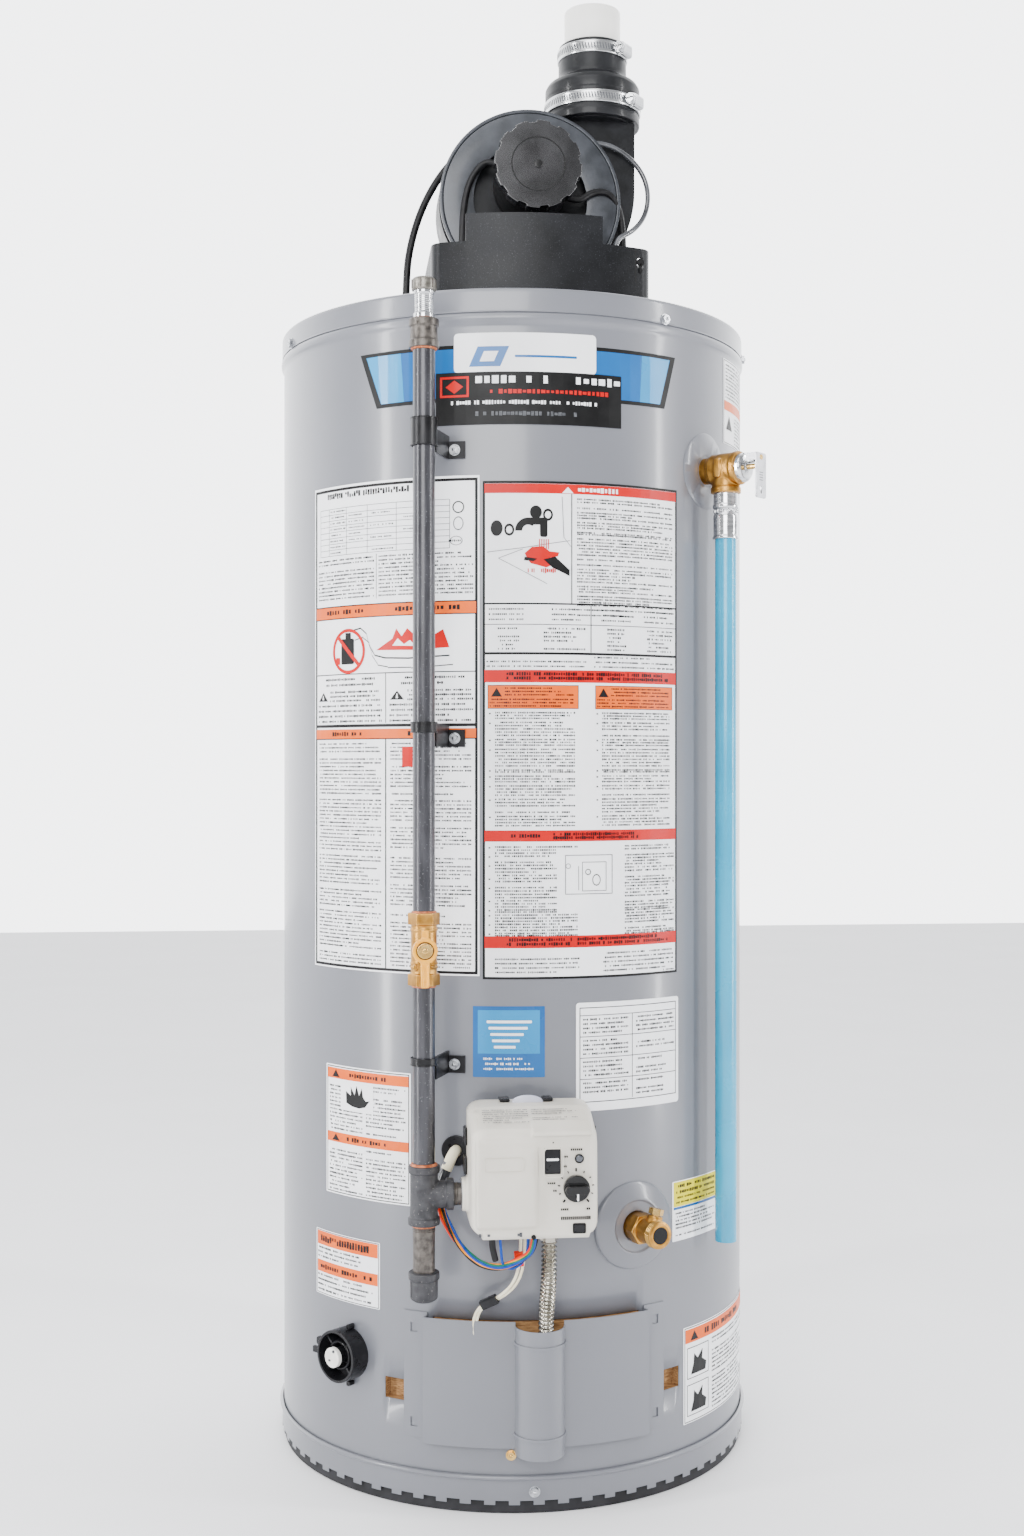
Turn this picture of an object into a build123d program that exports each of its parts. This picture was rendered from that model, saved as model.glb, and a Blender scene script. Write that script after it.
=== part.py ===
"""Tank water heater with a power-vent blower.

Millimetres. The origin is on the floor at the tank's centre line, +Z is up and the
front, with the burner door and the gas control, faces -Y. Angles round the jacket are
measured from the front, positive towards +X.
"""
import os
from math import acos, asin, cos, degrees, pi, radians, sin, sqrt, tan

from build123d import *

# ---- Jacket, lid and base ----
jacket_radius = 254.0
jacket_wall = 0.8
jacket_bottom = 14.0
lid_top = 1205.0
lid_skirt = 24.0
lid_gap = 1.2                # between the jacket and the lid skirt round it
lid_edge = 6.0
jacket_tuck = 15.0           # how far the jacket reaches up inside the lid
top_bead_height = 10.0
top_bead_depth = 3.0
pan_gap = 0.2                # between the base pan and the jacket round it
pan_wall = 1.2
pan_height = 16.0
pan_floor = 5.0
ring_gap = 1.2               # between the jacket and the base ring round it
ring_bottom = 9.0
ring_bead = 38.0             # height of the bead's centre
bead_radius = 2.4
scallops = 66
scallop_depth = 4.2
scallop_share = 0.55         # part of the pitch that is cut away
screw_radius = 2.0
screw_gap = 0.1
screw_head = 4.0             # across the flats, halved
screw_head_height = 2.6
lid_screw_angles = (-73, 31, 79, 130, 180, -130)
lid_screw_drop = 19.0
base_screw_angles = (-1, 119, -121)
base_screw_height = 22.0

# ---- Tank, flue and insulation ----
foam_thickness = 25.0
tank_wall = 2.5
seam = 0.2                   # between a pipe and the hole it is sealed into
head_drop = 75.0             # from the lid down to the top head's edge
dome_rise = 30.0
fire_room = 205.0            # floor to the bottom head
flue_radius = 51.0
flue_wall = 2.5
flue_stub = 17.0             # flue above the lid
baffle_pitch = 80.0
baffle_width = 56.0
baffle_swing = 18.0
baffle_sheet = 1.2
water_spacing = 203.2        # eight inches between cold and hot
water_back = 120.0
nipple_radius = 13.335       # 3/4 in pipe
nipple_wall = 2.9
nipple_height = 55.0
seat_step = 0.3              # a pipe is this much slimmer where it sits in its fitting
vent_seat_step = 0.7         # the same for the wide vent stub
seat_gap = 2.0               # from a fitting to where the pipe is full size
dip_radius = 9.0
anode_radius = 10.5
anode_back = 150.0

# ---- Burner compartment ----
window_angle = 24.0
window_low = 74.0
window_high = 190.0
pad_stand_out = 3.0          # access pad in front of the jacket
hand_window_inner = 29.4
hand_window_outer = 36.0
hand_window_low = 103.0
hand_window_high = 124.0
fire_door_angle = 17.0
fire_door_low = 86.0
fire_door_high = 164.0
fire_door_wall = 1.5
fire_lap = 2.5               # degrees that the inner door laps its opening
burner_radius = 98.0
burner_height = 92.0
manifold_radius = 6.35
manifold_height = 108.0

# ---- Outer burner door ----
door_gap = 0.5
door_sheet = 0.9
door_flange_angle = 30.9
door_panel_angle = 25.6
door_stand_out = 7.6
door_low = 67.0
door_high = 191.0
flange_low = 69.0
flange_high = 194.0
bulge_radius = 24.5
bulge_low = 62.0
bulge_high = 187.0
rib_heights = (82.0, 171.0)
rib_radius = 1.3
peg_angle = 28.4
peg_heights = (84.0, 178.0)
peg_size = 3.0
peg_room = 2.2               # round each jacket peg in the door's flange
peg_stand_out = 2.2

# ---- Gas train: half-inch pipe ----
pipe_radius = 10.67
pipe_wall = 2.77
train_x = -114.7
train_stand_off = 27.5       # pipe axis in front of the jacket's foremost line
tee_z = 322.8
tee_half = 28.5
tee_band = 15.6
tee_body = 13.6
band_height = 7.0
branch_reach = 28.5
engagement = 9.0             # thread length inside each fitting
valve_z = 559.0
valve_half = 35.0
valve_hex = 13.6
valve_body_radius = 12.8
ball_radius = 9.0
ball_gap = 0.3
stem_radius = 3.5
stem_fit = 0.05
drip_length = 45.0
cap_height = 29.0
inlet_drop = 14.0            # inlet fitting's top below the lid's top
inlet_height = 27.0
nut_height = 13.0
inlet_radius = 11.9
inlet_bore = 7.0
bright_radius = 10.3
coupling_radius = 14.5
coupling_height = 28.0
clamp_drops = (149.0, 433.0, 754.0)
clamp_heights = (26.0, 9.0, 6.0)
clamp_wall = 1.9
clamp_tab_width = 19.0
clamp_tab_height = 17.0
clamp_tab_wall = 1.8
clamp_tab_drop = 10.0
clamp_reach = 34.0           # tab centre to the right of the pipe

# ---- Gas control ----
control_x = -13.5
control_width = 119.0
control_low = 292.5
control_height = 118.3
control_front = 91.0         # cover face in front of the jacket
cover_wall = 2.4
cover_depth = 77.0
cover_slope = 19.0           # drop of the sloping shoulder
cover_shoulder = 45.0        # its depth, front to back
cover_lean = 2.0
cover_corner = 9.0
body_gap = 3.0
body_back_gap = 1.0
well_radius = 8.0
well_length = 130.0
rocker_x = 2.0
rocker_z = 366.0
rocker_width = 14.6
rocker_radius = 11.8
rocker_gap = 0.4
rocker_tilt = 6.0
rocker_proud = 1.6
knob_x = 24.0
knob_z = 341.0
knob_radius = 12.4
knob_height = 13.0
knob_gap = 0.6
knob_stem = 3.0
knob_stem_gap = 0.4
clip_width = 10.0

# ---- Flex tube and leads ----
flex_radius = 7.4
flex_x = 5.4
flex_points_z = (264.0, 236.0, 206.0, 170.0, 134.0)
harness_radius = 4.0
lead_radius = 1.6
supply_radius = 4.0
motor_lead_radius = 3.4
sense_radius = 2.5

# ---- Relief valve ----
relief_angle = 46.4
relief_z = 1040.0
relief_disc = 39.5
relief_disc_wall = 1.2
relief_hole = 20.0
relief_outlet = 24.0         # discharge axis in front of the jacket
relief_barrel = 16.5
discharge_radius = 11.1
discharge_wall = 1.3
discharge_low = 246.0
adapter_top_drop = 25.0
adapter_length = 47.0
lever_width = 20.0
lever_sheet = 1.5
lever_pin = 1.5
pin_fit = 0.05

# ---- Drain valve ----
drain_angle = 22.6
drain_z = 276.0
drain_disc = 44.0
drain_disc_inner = 26.0
drain_disc_rise = 7.0
drain_barrel = 14.5
drain_outlet_radius = 13.5
drain_bore = 8.0
drain_reach = 49.0
drain_lip = 7.5              # length of the outlet that a hose fitting holds
drain_stem_reach = 33.0
drain_stem_radius = 4.0
drain_stem_lean = 15.0

# ---- Vapour sensor ----
sensor_angle = -46.6
sensor_z = 139.0
sensor_cup = 26.0
sensor_depth = 20.0
sensor_cup_wall = 2.0
sensor_body = 10.0
grommet_angle = -18.4
grommet_z = 356.0
grommet_radius = 15.0
plug_radius = 5.5

# ---- Vent hood and blower ----
hood_left = -101.0
hood_right = 125.0
hood_front = 200.0
hood_back = 70.0
hood_bow = 23.5
hood_corner = 15.0
hood_wall = 3.0
hood_deck = 26.0             # deck's top above the lid
hood_side = 63.0
hood_screen = 91.0
screen_left = -67.0
screen_right = 73.0
hood_open_back = 40.0        # rim walls stop this far in front of the axis
duct_half = 56.0
duct_depth = 84.0
duct_top = 195.0
blower_x = 7.0
blower_rise = 143.0          # motor axis above the lid
scroll_front = 112.0
scroll_back = 57.0
scroll_wall = 2.5
scroll_radius = 95.5
scroll_drop = 18.0           # scroll centre below the motor axis
outer_wall = 113.0           # outlet's outer wall beyond the motor axis
outlet_width = 83.0
inlet_eye = 42.0
collar_radius = 44.45        # three-inch pipe
collar_wall = 4.0
collar_low = 217.0
collar_high = 257.0
motor_radius = 39.0
motor_wall = 3.0
motor_front = 187.0
cap_radius = 45.0
cap_front = 192.0
cap_depth = 16.0
cap_notches = 12
shaft_radius = 4.0
shaft_fit = 0.05
rotor_radius = 24.0
wheel_radius = 60.0
wheel_blades = 12
wheel_gap = 4.0
coupling_low = 218.0
coupling_high = 305.0
coupling_wall = 6.5
coupling_step = 259.0
coupling_neck = 270.0
stub_radius = 30.15          # two-inch pipe
stub_wall = 3.9
stub_bottom = 271.0
stub_top = 343.0
band_wall = 1.0
band_width = 13.0
switch_x = 92.0
switch_y = -150.0
switch_radius = 20.0
switch_height = 26.0
supply_x = -121.0
supply_y = -32.0

# ---- Worked out from the values above ----
jacket_inner = jacket_radius - jacket_wall
lid_low = lid_top - lid_skirt
lid_inner = jacket_radius + lid_gap
lid_outer = lid_inner + jacket_wall
ring_inner = jacket_radius + ring_gap
ring_outer = ring_inner + jacket_wall
pan_radius = jacket_inner - pan_gap
tank_radius = jacket_radius - foam_thickness - jacket_wall
tank_bottom = pan_floor + pan_wall
tank_top = lid_top - head_drop
dome_top = tank_top + dome_rise
train_y = -(jacket_radius + train_stand_off)
door_inner = jacket_radius + door_gap
panel_outer = jacket_radius + door_stand_out + door_sheet
cover_face = -(jacket_radius + control_front)
cover_back = cover_face + cover_depth
flex_y = cover_back - 24
control_top = control_low + control_height
blower_z = lid_top + blower_rise
deck_top = lid_top + hood_deck
outlet_right = blower_x + outer_wall
outlet_x = outlet_right - outlet_width / 2
outlet_y = -(scroll_front + scroll_back) / 2
inlet_top = lid_top - inlet_drop + nut_height
coupling_bottom = lid_top - inlet_drop - inlet_height - coupling_height
water_seats = ((-water_spacing / 2, water_back), (water_spacing / 2, water_back))

os.makedirs("parts", exist_ok=True)


def save(piece, name):
    """Label a finished piece and write its STEP file."""
    piece.part.label = name
    export_step(piece.part, f"parts/{name}.step")


def wall_plane(angle, height, radius=0.0):
    """Plane that faces outwards from the jacket: x to its right, y up."""
    s, c = sin(radians(angle)), cos(radians(angle))
    return Plane(origin=(radius * s, -radius * c, height), x_dir=(c, s, 0), z_dir=(s, -c, 0))


def wall_point(angle, radius):
    """Plan position at an angle and radius."""
    return radius * sin(radians(angle)), -radius * cos(radians(angle))


def sector(half_angle, inner, outer, centre=0.0):
    """Plan face of a curved sheet between two radii, inside a sketch."""
    with BuildLine() as outline:
        corners = [wall_point(centre + side * half_angle, r)
                   for side, r in ((-1, inner), (-1, outer), (1, outer), (1, inner))]
        mid_out = wall_point(centre, outer)
        mid_in = wall_point(centre, inner)
        Line(corners[0], corners[1])
        ThreePointArc(corners[1], mid_out, corners[2])
        Line(corners[2], corners[3])
        ThreePointArc(corners[3], mid_in, corners[0])
    make_face(outline.edges())


def bend_radii(points, share=0.45):
    """Largest tangent arcs that the straight runs of a lead leave room for."""
    spots = [Vector(*p) for p in points]
    radii = []
    for before, here, after in zip(spots, spots[1:], spots[2:]):
        run_in, run_out = here - before, after - here
        half_turn = radians(run_in.get_angle(run_out)) / 2
        radii.append(share * min(run_in.length, run_out.length) / tan(half_turn))
    return radii


def tube(name, points, radius):
    """Lead or tube along straight runs that tangent arcs join."""
    radii = bend_radii(points)
    print(name, "bend radii", [round(r, 1) for r in radii])
    with BuildPart() as lead:
        with BuildLine() as path:
            FilletPolyline(*points, radius=radii)
        with BuildSketch(Plane(origin=path.line @ 0, z_dir=path.line % 0)):
            Circle(radius)
        sweep(path=path.line)
    return lead.part


# ================= Base =================
with BuildPart() as base_pan:
    with BuildSketch() as pan_rim:
        Circle(pan_radius)
        Circle(pan_radius - pan_wall, mode=Mode.SUBTRACT)
    extrude(amount=pan_height)
    with BuildSketch(Plane.XY.offset(pan_floor)):
        Circle(pan_radius - pan_wall / 2)
    extrude(amount=pan_wall)
save(base_pan, "base_pan")

with BuildPart() as base_ring:
    with BuildSketch(Plane.XY.offset(ring_bottom)):
        Circle(ring_outer)
        Circle(ring_inner, mode=Mode.SUBTRACT)
    extrude(amount=ring_bead - ring_bottom)
    with BuildSketch(Plane.XZ):
        with Locations((ring_outer, ring_bead - bead_radius)):
            Circle(bead_radius)
        with Locations((ring_inner - bead_radius, ring_bead - bead_radius)):
            Rectangle(2 * bead_radius, 3 * bead_radius, mode=Mode.SUBTRACT)
    revolve(axis=Axis.Z)
    scallop_width = 2 * pi * ring_outer / scallops * scallop_share
    with PolarLocations(0, scallops):
        with Locations((ring_outer, 0, ring_bottom)):
            Box(6, scallop_width, 2 * scallop_depth, mode=Mode.SUBTRACT)
    for angle in base_screw_angles:
        with BuildSketch(wall_plane(angle, base_screw_height, ring_inner - 2)):
            Circle(screw_radius + screw_gap)
        extrude(amount=6, mode=Mode.SUBTRACT)
save(base_ring, "base_ring")

# ================= Jacket =================
bead_low = lid_low - top_bead_height
with BuildPart() as jacket:
    with BuildSketch(Plane.XZ):
        with BuildLine():
            Polyline(
                (jacket_inner, jacket_bottom),
                (jacket_radius, jacket_bottom),
                (jacket_radius, bead_low),
                (jacket_radius + top_bead_depth, bead_low + top_bead_depth),
                (jacket_radius + top_bead_depth, lid_low - top_bead_depth),
                (jacket_radius, lid_low),
                (jacket_radius, lid_low + jacket_tuck),
                (jacket_inner, lid_low + jacket_tuck),
                (jacket_inner, lid_low - jacket_wall),
                (jacket_inner + top_bead_depth, lid_low - top_bead_depth - jacket_wall),
                (jacket_inner + top_bead_depth, bead_low + top_bead_depth + jacket_wall),
                (jacket_inner, bead_low + jacket_wall),
                close=True,
            )
        make_face()
    revolve(axis=Axis.Z)
    with BuildSketch(Plane.XY.offset(window_low)):
        sector(window_angle, jacket_radius - 6, jacket_radius + 6)
    extrude(amount=window_high - window_low, mode=Mode.SUBTRACT)
    for side in (-1, 1):
        with BuildSketch(Plane.XY.offset(hand_window_low)):
            sector((hand_window_outer - hand_window_inner) / 2, jacket_radius - 6, jacket_radius + 6,
                   side * (hand_window_outer + hand_window_inner) / 2)
        extrude(amount=hand_window_high - hand_window_low, mode=Mode.SUBTRACT)
    wall_holes = [
        (relief_angle, relief_z, relief_hole),
        (drain_angle, drain_z, drain_barrel + 1),
        (grommet_angle, grommet_z, plug_radius + 1),
        (degrees(asin(control_x / jacket_radius)), control_low + control_height / 2, well_radius + 2),
    ]
    wall_holes += [(a, lid_top - lid_screw_drop, screw_radius + screw_gap) for a in lid_screw_angles]
    wall_holes += [(a, base_screw_height, screw_radius + screw_gap) for a in base_screw_angles]
    clamp_angle = degrees(asin((train_x + clamp_reach) / jacket_radius))
    clamp_tabs = [lid_top - drop - clamp_tab_drop for drop in clamp_drops]
    wall_holes += [(clamp_angle, z, screw_radius + screw_gap) for z in clamp_tabs]
    for angle, height, radius in wall_holes:
        with BuildSketch(wall_plane(angle, height, jacket_radius - 12)):
            Circle(radius)
        extrude(amount=20, mode=Mode.SUBTRACT)
    for side in (-1, 1):
        for height in peg_heights:
            with BuildSketch(wall_plane(side * peg_angle, height, jacket_radius - jacket_wall / 2)):
                Rectangle(peg_size, 1.6 * peg_size)
            extrude(amount=jacket_wall / 2 + peg_stand_out)
save(jacket, "jacket")

with BuildPart() as jacket_lid:
    with BuildSketch(Plane.XY.offset(lid_low)):
        Circle(lid_outer)
    extrude(amount=lid_skirt)
    fillet(jacket_lid.edges().group_by(Axis.Z)[-1], lid_edge)
    with BuildSketch(Plane.XY.offset(lid_low)):
        Circle(lid_inner)
    extrude(amount=lid_skirt - lid_edge, mode=Mode.SUBTRACT)
    with BuildSketch(Plane.XY.offset(lid_top - lid_edge)):
        Circle(lid_inner - lid_edge)
    extrude(amount=lid_edge - jacket_wall, mode=Mode.SUBTRACT)
    with BuildSketch(Plane.XY.offset(lid_low)):
        Circle(flue_radius + 3)
        with Locations(*water_seats):
            Circle(nipple_radius + 1)
        with Locations((0, anode_back)):
            Circle(anode_radius + 3)
        with Locations((supply_x, supply_y)):
            Circle(supply_radius + 3)
    extrude(amount=2 * lid_skirt, mode=Mode.SUBTRACT)
    for angle in lid_screw_angles:
        with BuildSketch(wall_plane(angle, lid_top - lid_screw_drop, lid_inner - 4)):
            Circle(screw_radius + screw_gap)
        extrude(amount=8, mode=Mode.SUBTRACT)
save(jacket_lid, "jacket_lid")


def sheet_screw(angle, height, seat):
    """Hex-head screw through a sheet whose outer face is at the radius seat."""
    with BuildSketch(wall_plane(angle, height, seat - 9)) as shank:
        Circle(screw_radius)
    extrude(shank.sketch, amount=9)
    with BuildSketch(wall_plane(angle, height, seat)) as washer:
        Circle(screw_head + 1.2)
    extrude(washer.sketch, amount=0.7)
    with BuildSketch(wall_plane(angle, height, seat)) as head:
        RegularPolygon(screw_head, 6, major_radius=False)
    extrude(head.sketch, amount=screw_head_height)


clamp_seat = jacket_radius + 0.4
with BuildPart() as jacket_screws:
    for angle in lid_screw_angles:
        sheet_screw(angle, lid_top - lid_screw_drop, lid_outer)
    for angle in base_screw_angles:
        sheet_screw(angle, base_screw_height, ring_outer)
    for height in clamp_tabs:
        sheet_screw(clamp_angle, height, clamp_seat + clamp_tab_wall)
save(jacket_screws, "jacket_screws")

# ================= Tank =================
fire_height = fire_door_high - fire_door_low
with BuildPart() as tank_shell:
    with BuildSketch(Plane.XZ):
        with BuildLine():
            Polyline(
                (tank_radius, tank_bottom),
                (tank_radius, tank_top),
                (tank_radius - dome_rise, tank_top + 0.6 * dome_rise),
                (flue_radius + seam, dome_top),
                (flue_radius + seam, dome_top - tank_wall),
                (tank_radius - dome_rise - tank_wall, tank_top + 0.6 * dome_rise - tank_wall),
                (tank_radius - tank_wall, tank_top - tank_wall),
                (tank_radius - tank_wall, fire_room + tank_wall),
                (flue_radius + seam, fire_room + 0.7 * dome_rise + tank_wall),
                (flue_radius + seam, fire_room + 0.7 * dome_rise),
                (tank_radius - tank_wall, fire_room),
                (tank_radius - tank_wall, tank_bottom),
                close=True,
            )
        make_face()
    revolve(axis=Axis.Z)
    with BuildSketch(Plane.XY.offset(fire_door_low)):
        sector(fire_door_angle, tank_radius - 8, tank_radius + 4)
    extrude(amount=fire_height, mode=Mode.SUBTRACT)
    with BuildSketch(Plane.XY.offset(tank_top)):
        with Locations(*water_seats):
            Circle(nipple_radius + seam)
        with Locations((0, anode_back)):
            Circle(anode_radius + seam)
    extrude(amount=2 * dome_rise, mode=Mode.SUBTRACT)
    wells = (
        (relief_angle, relief_z, nipple_radius),
        (drain_angle, drain_z, nipple_radius),
    )
    for angle, height, radius in wells:
        with BuildSketch(wall_plane(angle, height, tank_radius - 10)):
            Circle(radius + seam)
        extrude(amount=20, mode=Mode.SUBTRACT)
    with BuildSketch(Plane.XZ.offset(tank_radius - 10)):
        with Locations((control_x, control_low + control_height / 2)):
            Circle(well_radius + seam)
    extrude(amount=20, mode=Mode.SUBTRACT)
save(tank_shell, "tank_shell")

with BuildPart() as flue_tube:
    with BuildSketch(Plane.XY.offset(fire_room + 6)):
        Circle(flue_radius)
        Circle(flue_radius - flue_wall, mode=Mode.SUBTRACT)
    extrude(amount=lid_top + flue_stub - fire_room - 6)
save(flue_tube, "flue_tube")

baffle_top = lid_top + flue_stub
baffle_folds = int((baffle_top - fire_room - 40) / baffle_pitch)
with BuildPart() as flue_baffle:
    with BuildSketch(Plane.XZ.offset(-baffle_width / 2)):
        with BuildLine():
            zigzag = [(baffle_swing * (1 if n % 2 else -1), baffle_top - 8 - n * baffle_pitch)
                      for n in range(baffle_folds + 1)]
            Polyline(*zigzag, *[(x + 2 * baffle_sheet, z) for x, z in reversed(zigzag)], close=True)
        make_face()
    extrude(amount=baffle_width)
    with Locations((0, 0, baffle_top + 1.5)):
        Box(2 * flue_radius, 8, 3)
    with Locations((-baffle_swing + baffle_sheet, 0, baffle_top - 4)):
        Box(2 * baffle_sheet, 8, 11)
save(flue_baffle, "flue_baffle")

foam_inner = tank_radius + seam
foam_outer = jacket_inner - seam
foam_top = lid_top - lid_edge - 1
well_z = control_low + control_height / 2
with BuildPart() as insulation:
    with BuildSketch(Plane.XZ):
        with BuildLine():
            Polyline(
                (foam_inner, pan_height + 2),
                (foam_outer, pan_height + 2),
                (foam_outer, foam_top),
                (flue_radius + seam, foam_top),
                (flue_radius + seam, dome_top + seam),
                (tank_radius - dome_rise, tank_top + 0.6 * dome_rise + seam),
                (foam_inner, tank_top + seam),
                close=True,
            )
        make_face()
    revolve(axis=Axis.Z)
    with BuildSketch(Plane.XY.offset(window_low)):
        sector(window_angle, tank_radius - 4, jacket_radius + 6)
    extrude(amount=window_high - window_low, mode=Mode.SUBTRACT)
    for side in (-1, 1):
        with BuildSketch(Plane.XY.offset(hand_window_low)):
            sector((hand_window_outer - hand_window_inner) / 2, foam_outer - 9, jacket_radius + 6,
                   side * (hand_window_outer + hand_window_inner) / 2)
        extrude(amount=hand_window_high - hand_window_low, mode=Mode.SUBTRACT)
    foam_holes = [(relief_angle, relief_z, relief_barrel), (drain_angle, drain_z, drain_barrel),
                  (grommet_angle, grommet_z, plug_radius)]
    foam_holes += [(a, lid_top - lid_screw_drop, screw_radius) for a in lid_screw_angles]
    foam_holes += [(a, base_screw_height, screw_radius) for a in base_screw_angles]
    foam_holes += [(clamp_angle, z, screw_radius) for z in clamp_tabs]
    for angle, height, radius in foam_holes:
        with BuildSketch(wall_plane(angle, height, tank_radius - 6)):
            Circle(radius + 0.5)
        extrude(amount=foam_thickness + 12, mode=Mode.SUBTRACT)
    with BuildSketch(Plane.XZ.offset(tank_radius - 30)):
        with Locations((control_x, well_z)):
            Circle(well_radius + 0.5)
    extrude(amount=foam_thickness + 40, mode=Mode.SUBTRACT)
    with BuildSketch(Plane.XY.offset(tank_top)):
        with Locations(*water_seats):
            Circle(nipple_radius + 0.5)
        with Locations((0, anode_back)):
            Circle(anode_radius + 3)
        with Locations((supply_x, supply_y)):
            Circle(supply_radius + 3)
    extrude(amount=head_drop, mode=Mode.SUBTRACT)
    # The access pad fills the burner window and stands a little proud of the jacket.
    pad_back = tank_radius + fire_door_wall + 5
    with BuildSketch(Plane.XY.offset(window_low + 1)):
        sector(window_angle - 0.4, pad_back, jacket_radius + pad_stand_out)
    extrude(amount=window_high - window_low - 2)
    with BuildSketch(Plane.XY.offset(manifold_height - flex_radius - 4)):
        with Locations((flex_x, -(jacket_radius + pad_back) / 2)):
            Rectangle(2 * flex_radius + 8, jacket_radius - pad_back + 20)
    extrude(amount=2 * flex_radius + 8, mode=Mode.SUBTRACT)
save(insulation, "insulation")

with BuildPart() as water_nipples:
    with BuildSketch(Plane.XY.offset(tank_top - 6)):
        with Locations(*water_seats):
            Circle(nipple_radius - seat_step)
            Circle(nipple_radius - nipple_wall, mode=Mode.SUBTRACT)
    extrude(amount=lid_top + seat_gap - tank_top + 6)
    with BuildSketch(Plane.XY.offset(lid_top + seat_gap)):
        with Locations(*water_seats):
            Circle(nipple_radius)
            Circle(nipple_radius - nipple_wall, mode=Mode.SUBTRACT)
    extrude(amount=nipple_height - seat_gap)
save(water_nipples, "water_nipples")

dip_length = tank_top - fire_room - 220
with BuildPart() as dip_tube:
    with BuildSketch(Plane.XY.offset(tank_top + 6 - dip_length)):
        with Locations(water_seats[1]):
            Circle(dip_radius)
            Circle(dip_radius - 1.2, mode=Mode.SUBTRACT)
    extrude(amount=dip_length)
    with BuildSketch(Plane.XY.offset(tank_top + 6)):
        with Locations(water_seats[1]):
            Circle(nipple_radius - nipple_wall)
            Circle(dip_radius - 1.2, mode=Mode.SUBTRACT)
    extrude(amount=3)
save(dip_tube, "dip_tube")

anode_length = tank_top - fire_room - 160
with BuildPart() as anode_rod:
    with BuildSketch(Plane.XY.offset(tank_top - anode_length)):
        with Locations((0, anode_back)):
            Circle(anode_radius - 1)
    extrude(amount=anode_length)
    with BuildSketch(Plane.XY.offset(tank_top)):
        with Locations((0, anode_back)):
            Circle(anode_radius)
    extrude(amount=head_drop - 6)
    with BuildSketch(Plane.XY.offset(lid_top - 6)):
        with Locations((0, anode_back)):
            RegularPolygon(anode_radius + 1, 6, major_radius=False)
    extrude(amount=12)
save(anode_rod, "anode_rod")

# ================= Burner =================
fire_inner = tank_radius + 0.3
with BuildPart() as inner_door:
    with BuildSketch(Plane.XY.offset(fire_door_low - 6)):
        sector(fire_door_angle + fire_lap, fire_inner, fire_inner + fire_door_wall)
    extrude(amount=fire_height + 12)
    with BuildSketch(Plane.XZ.offset(tank_radius - 20)):
        with Locations((flex_x, manifold_height)):
            Circle(manifold_radius + seam)
        with Locations((flex_x - 30, manifold_height + 22)):
            Circle(3 + seam)
    extrude(amount=30, mode=Mode.SUBTRACT)
save(inner_door, "inner_door")

manifold_front = jacket_radius - 4
with BuildPart() as burner_manifold:
    with BuildSketch(Plane.XZ.offset(0)):
        with Locations((flex_x, manifold_height)):
            Circle(manifold_radius)
            Circle(manifold_radius - 1.2, mode=Mode.SUBTRACT)
    extrude(amount=manifold_front)
    with BuildSketch(Plane.XZ.offset(manifold_front - 14)):
        with Locations((flex_x, manifold_height)):
            RegularPolygon(flex_radius + 2, 6, major_radius=False)
            Circle(manifold_radius - 1.2, mode=Mode.SUBTRACT)
    extrude(amount=14)
    with Locations((flex_x, 0, manifold_height)):
        Sphere(manifold_radius + 2)
save(burner_manifold, "burner_manifold")

port_count = 24
with BuildPart() as burner:
    with BuildSketch(Plane.XY.offset(manifold_height + manifold_radius + 3)):
        Circle(burner_radius)
    extrude(amount=16)
    with BuildSketch(Plane.XY.offset(manifold_height + manifold_radius + 3)):
        Circle(burner_radius - 2)
    extrude(amount=13, mode=Mode.SUBTRACT)
    with BuildSketch(Plane.XY.offset(manifold_height)):
        with PolarLocations(burner_radius - 16, port_count):
            SlotOverall(18, 3)
    extrude(amount=40, mode=Mode.SUBTRACT)
    with BuildSketch(Plane.XY.offset(tank_bottom)):
        with PolarLocations(burner_radius - 4, 3):
            Circle(3)
    extrude(amount=manifold_height + manifold_radius + 8 - tank_bottom)
save(burner, "burner")

with BuildPart() as igniter:
    with BuildSketch(Plane.XZ.offset(burner_radius + 2)):
        with Locations((flex_x - 30, manifold_height + 22)):
            Circle(3)
    extrude(amount=tank_radius + fire_door_wall + 1 - burner_radius)
    with BuildSketch(Plane.XZ.offset(tank_radius + fire_door_wall + 0.6)):
        with Locations((flex_x - 30, manifold_height + 22)):
            Circle(5)
    extrude(amount=2.4)
save(igniter, "igniter")

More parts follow.
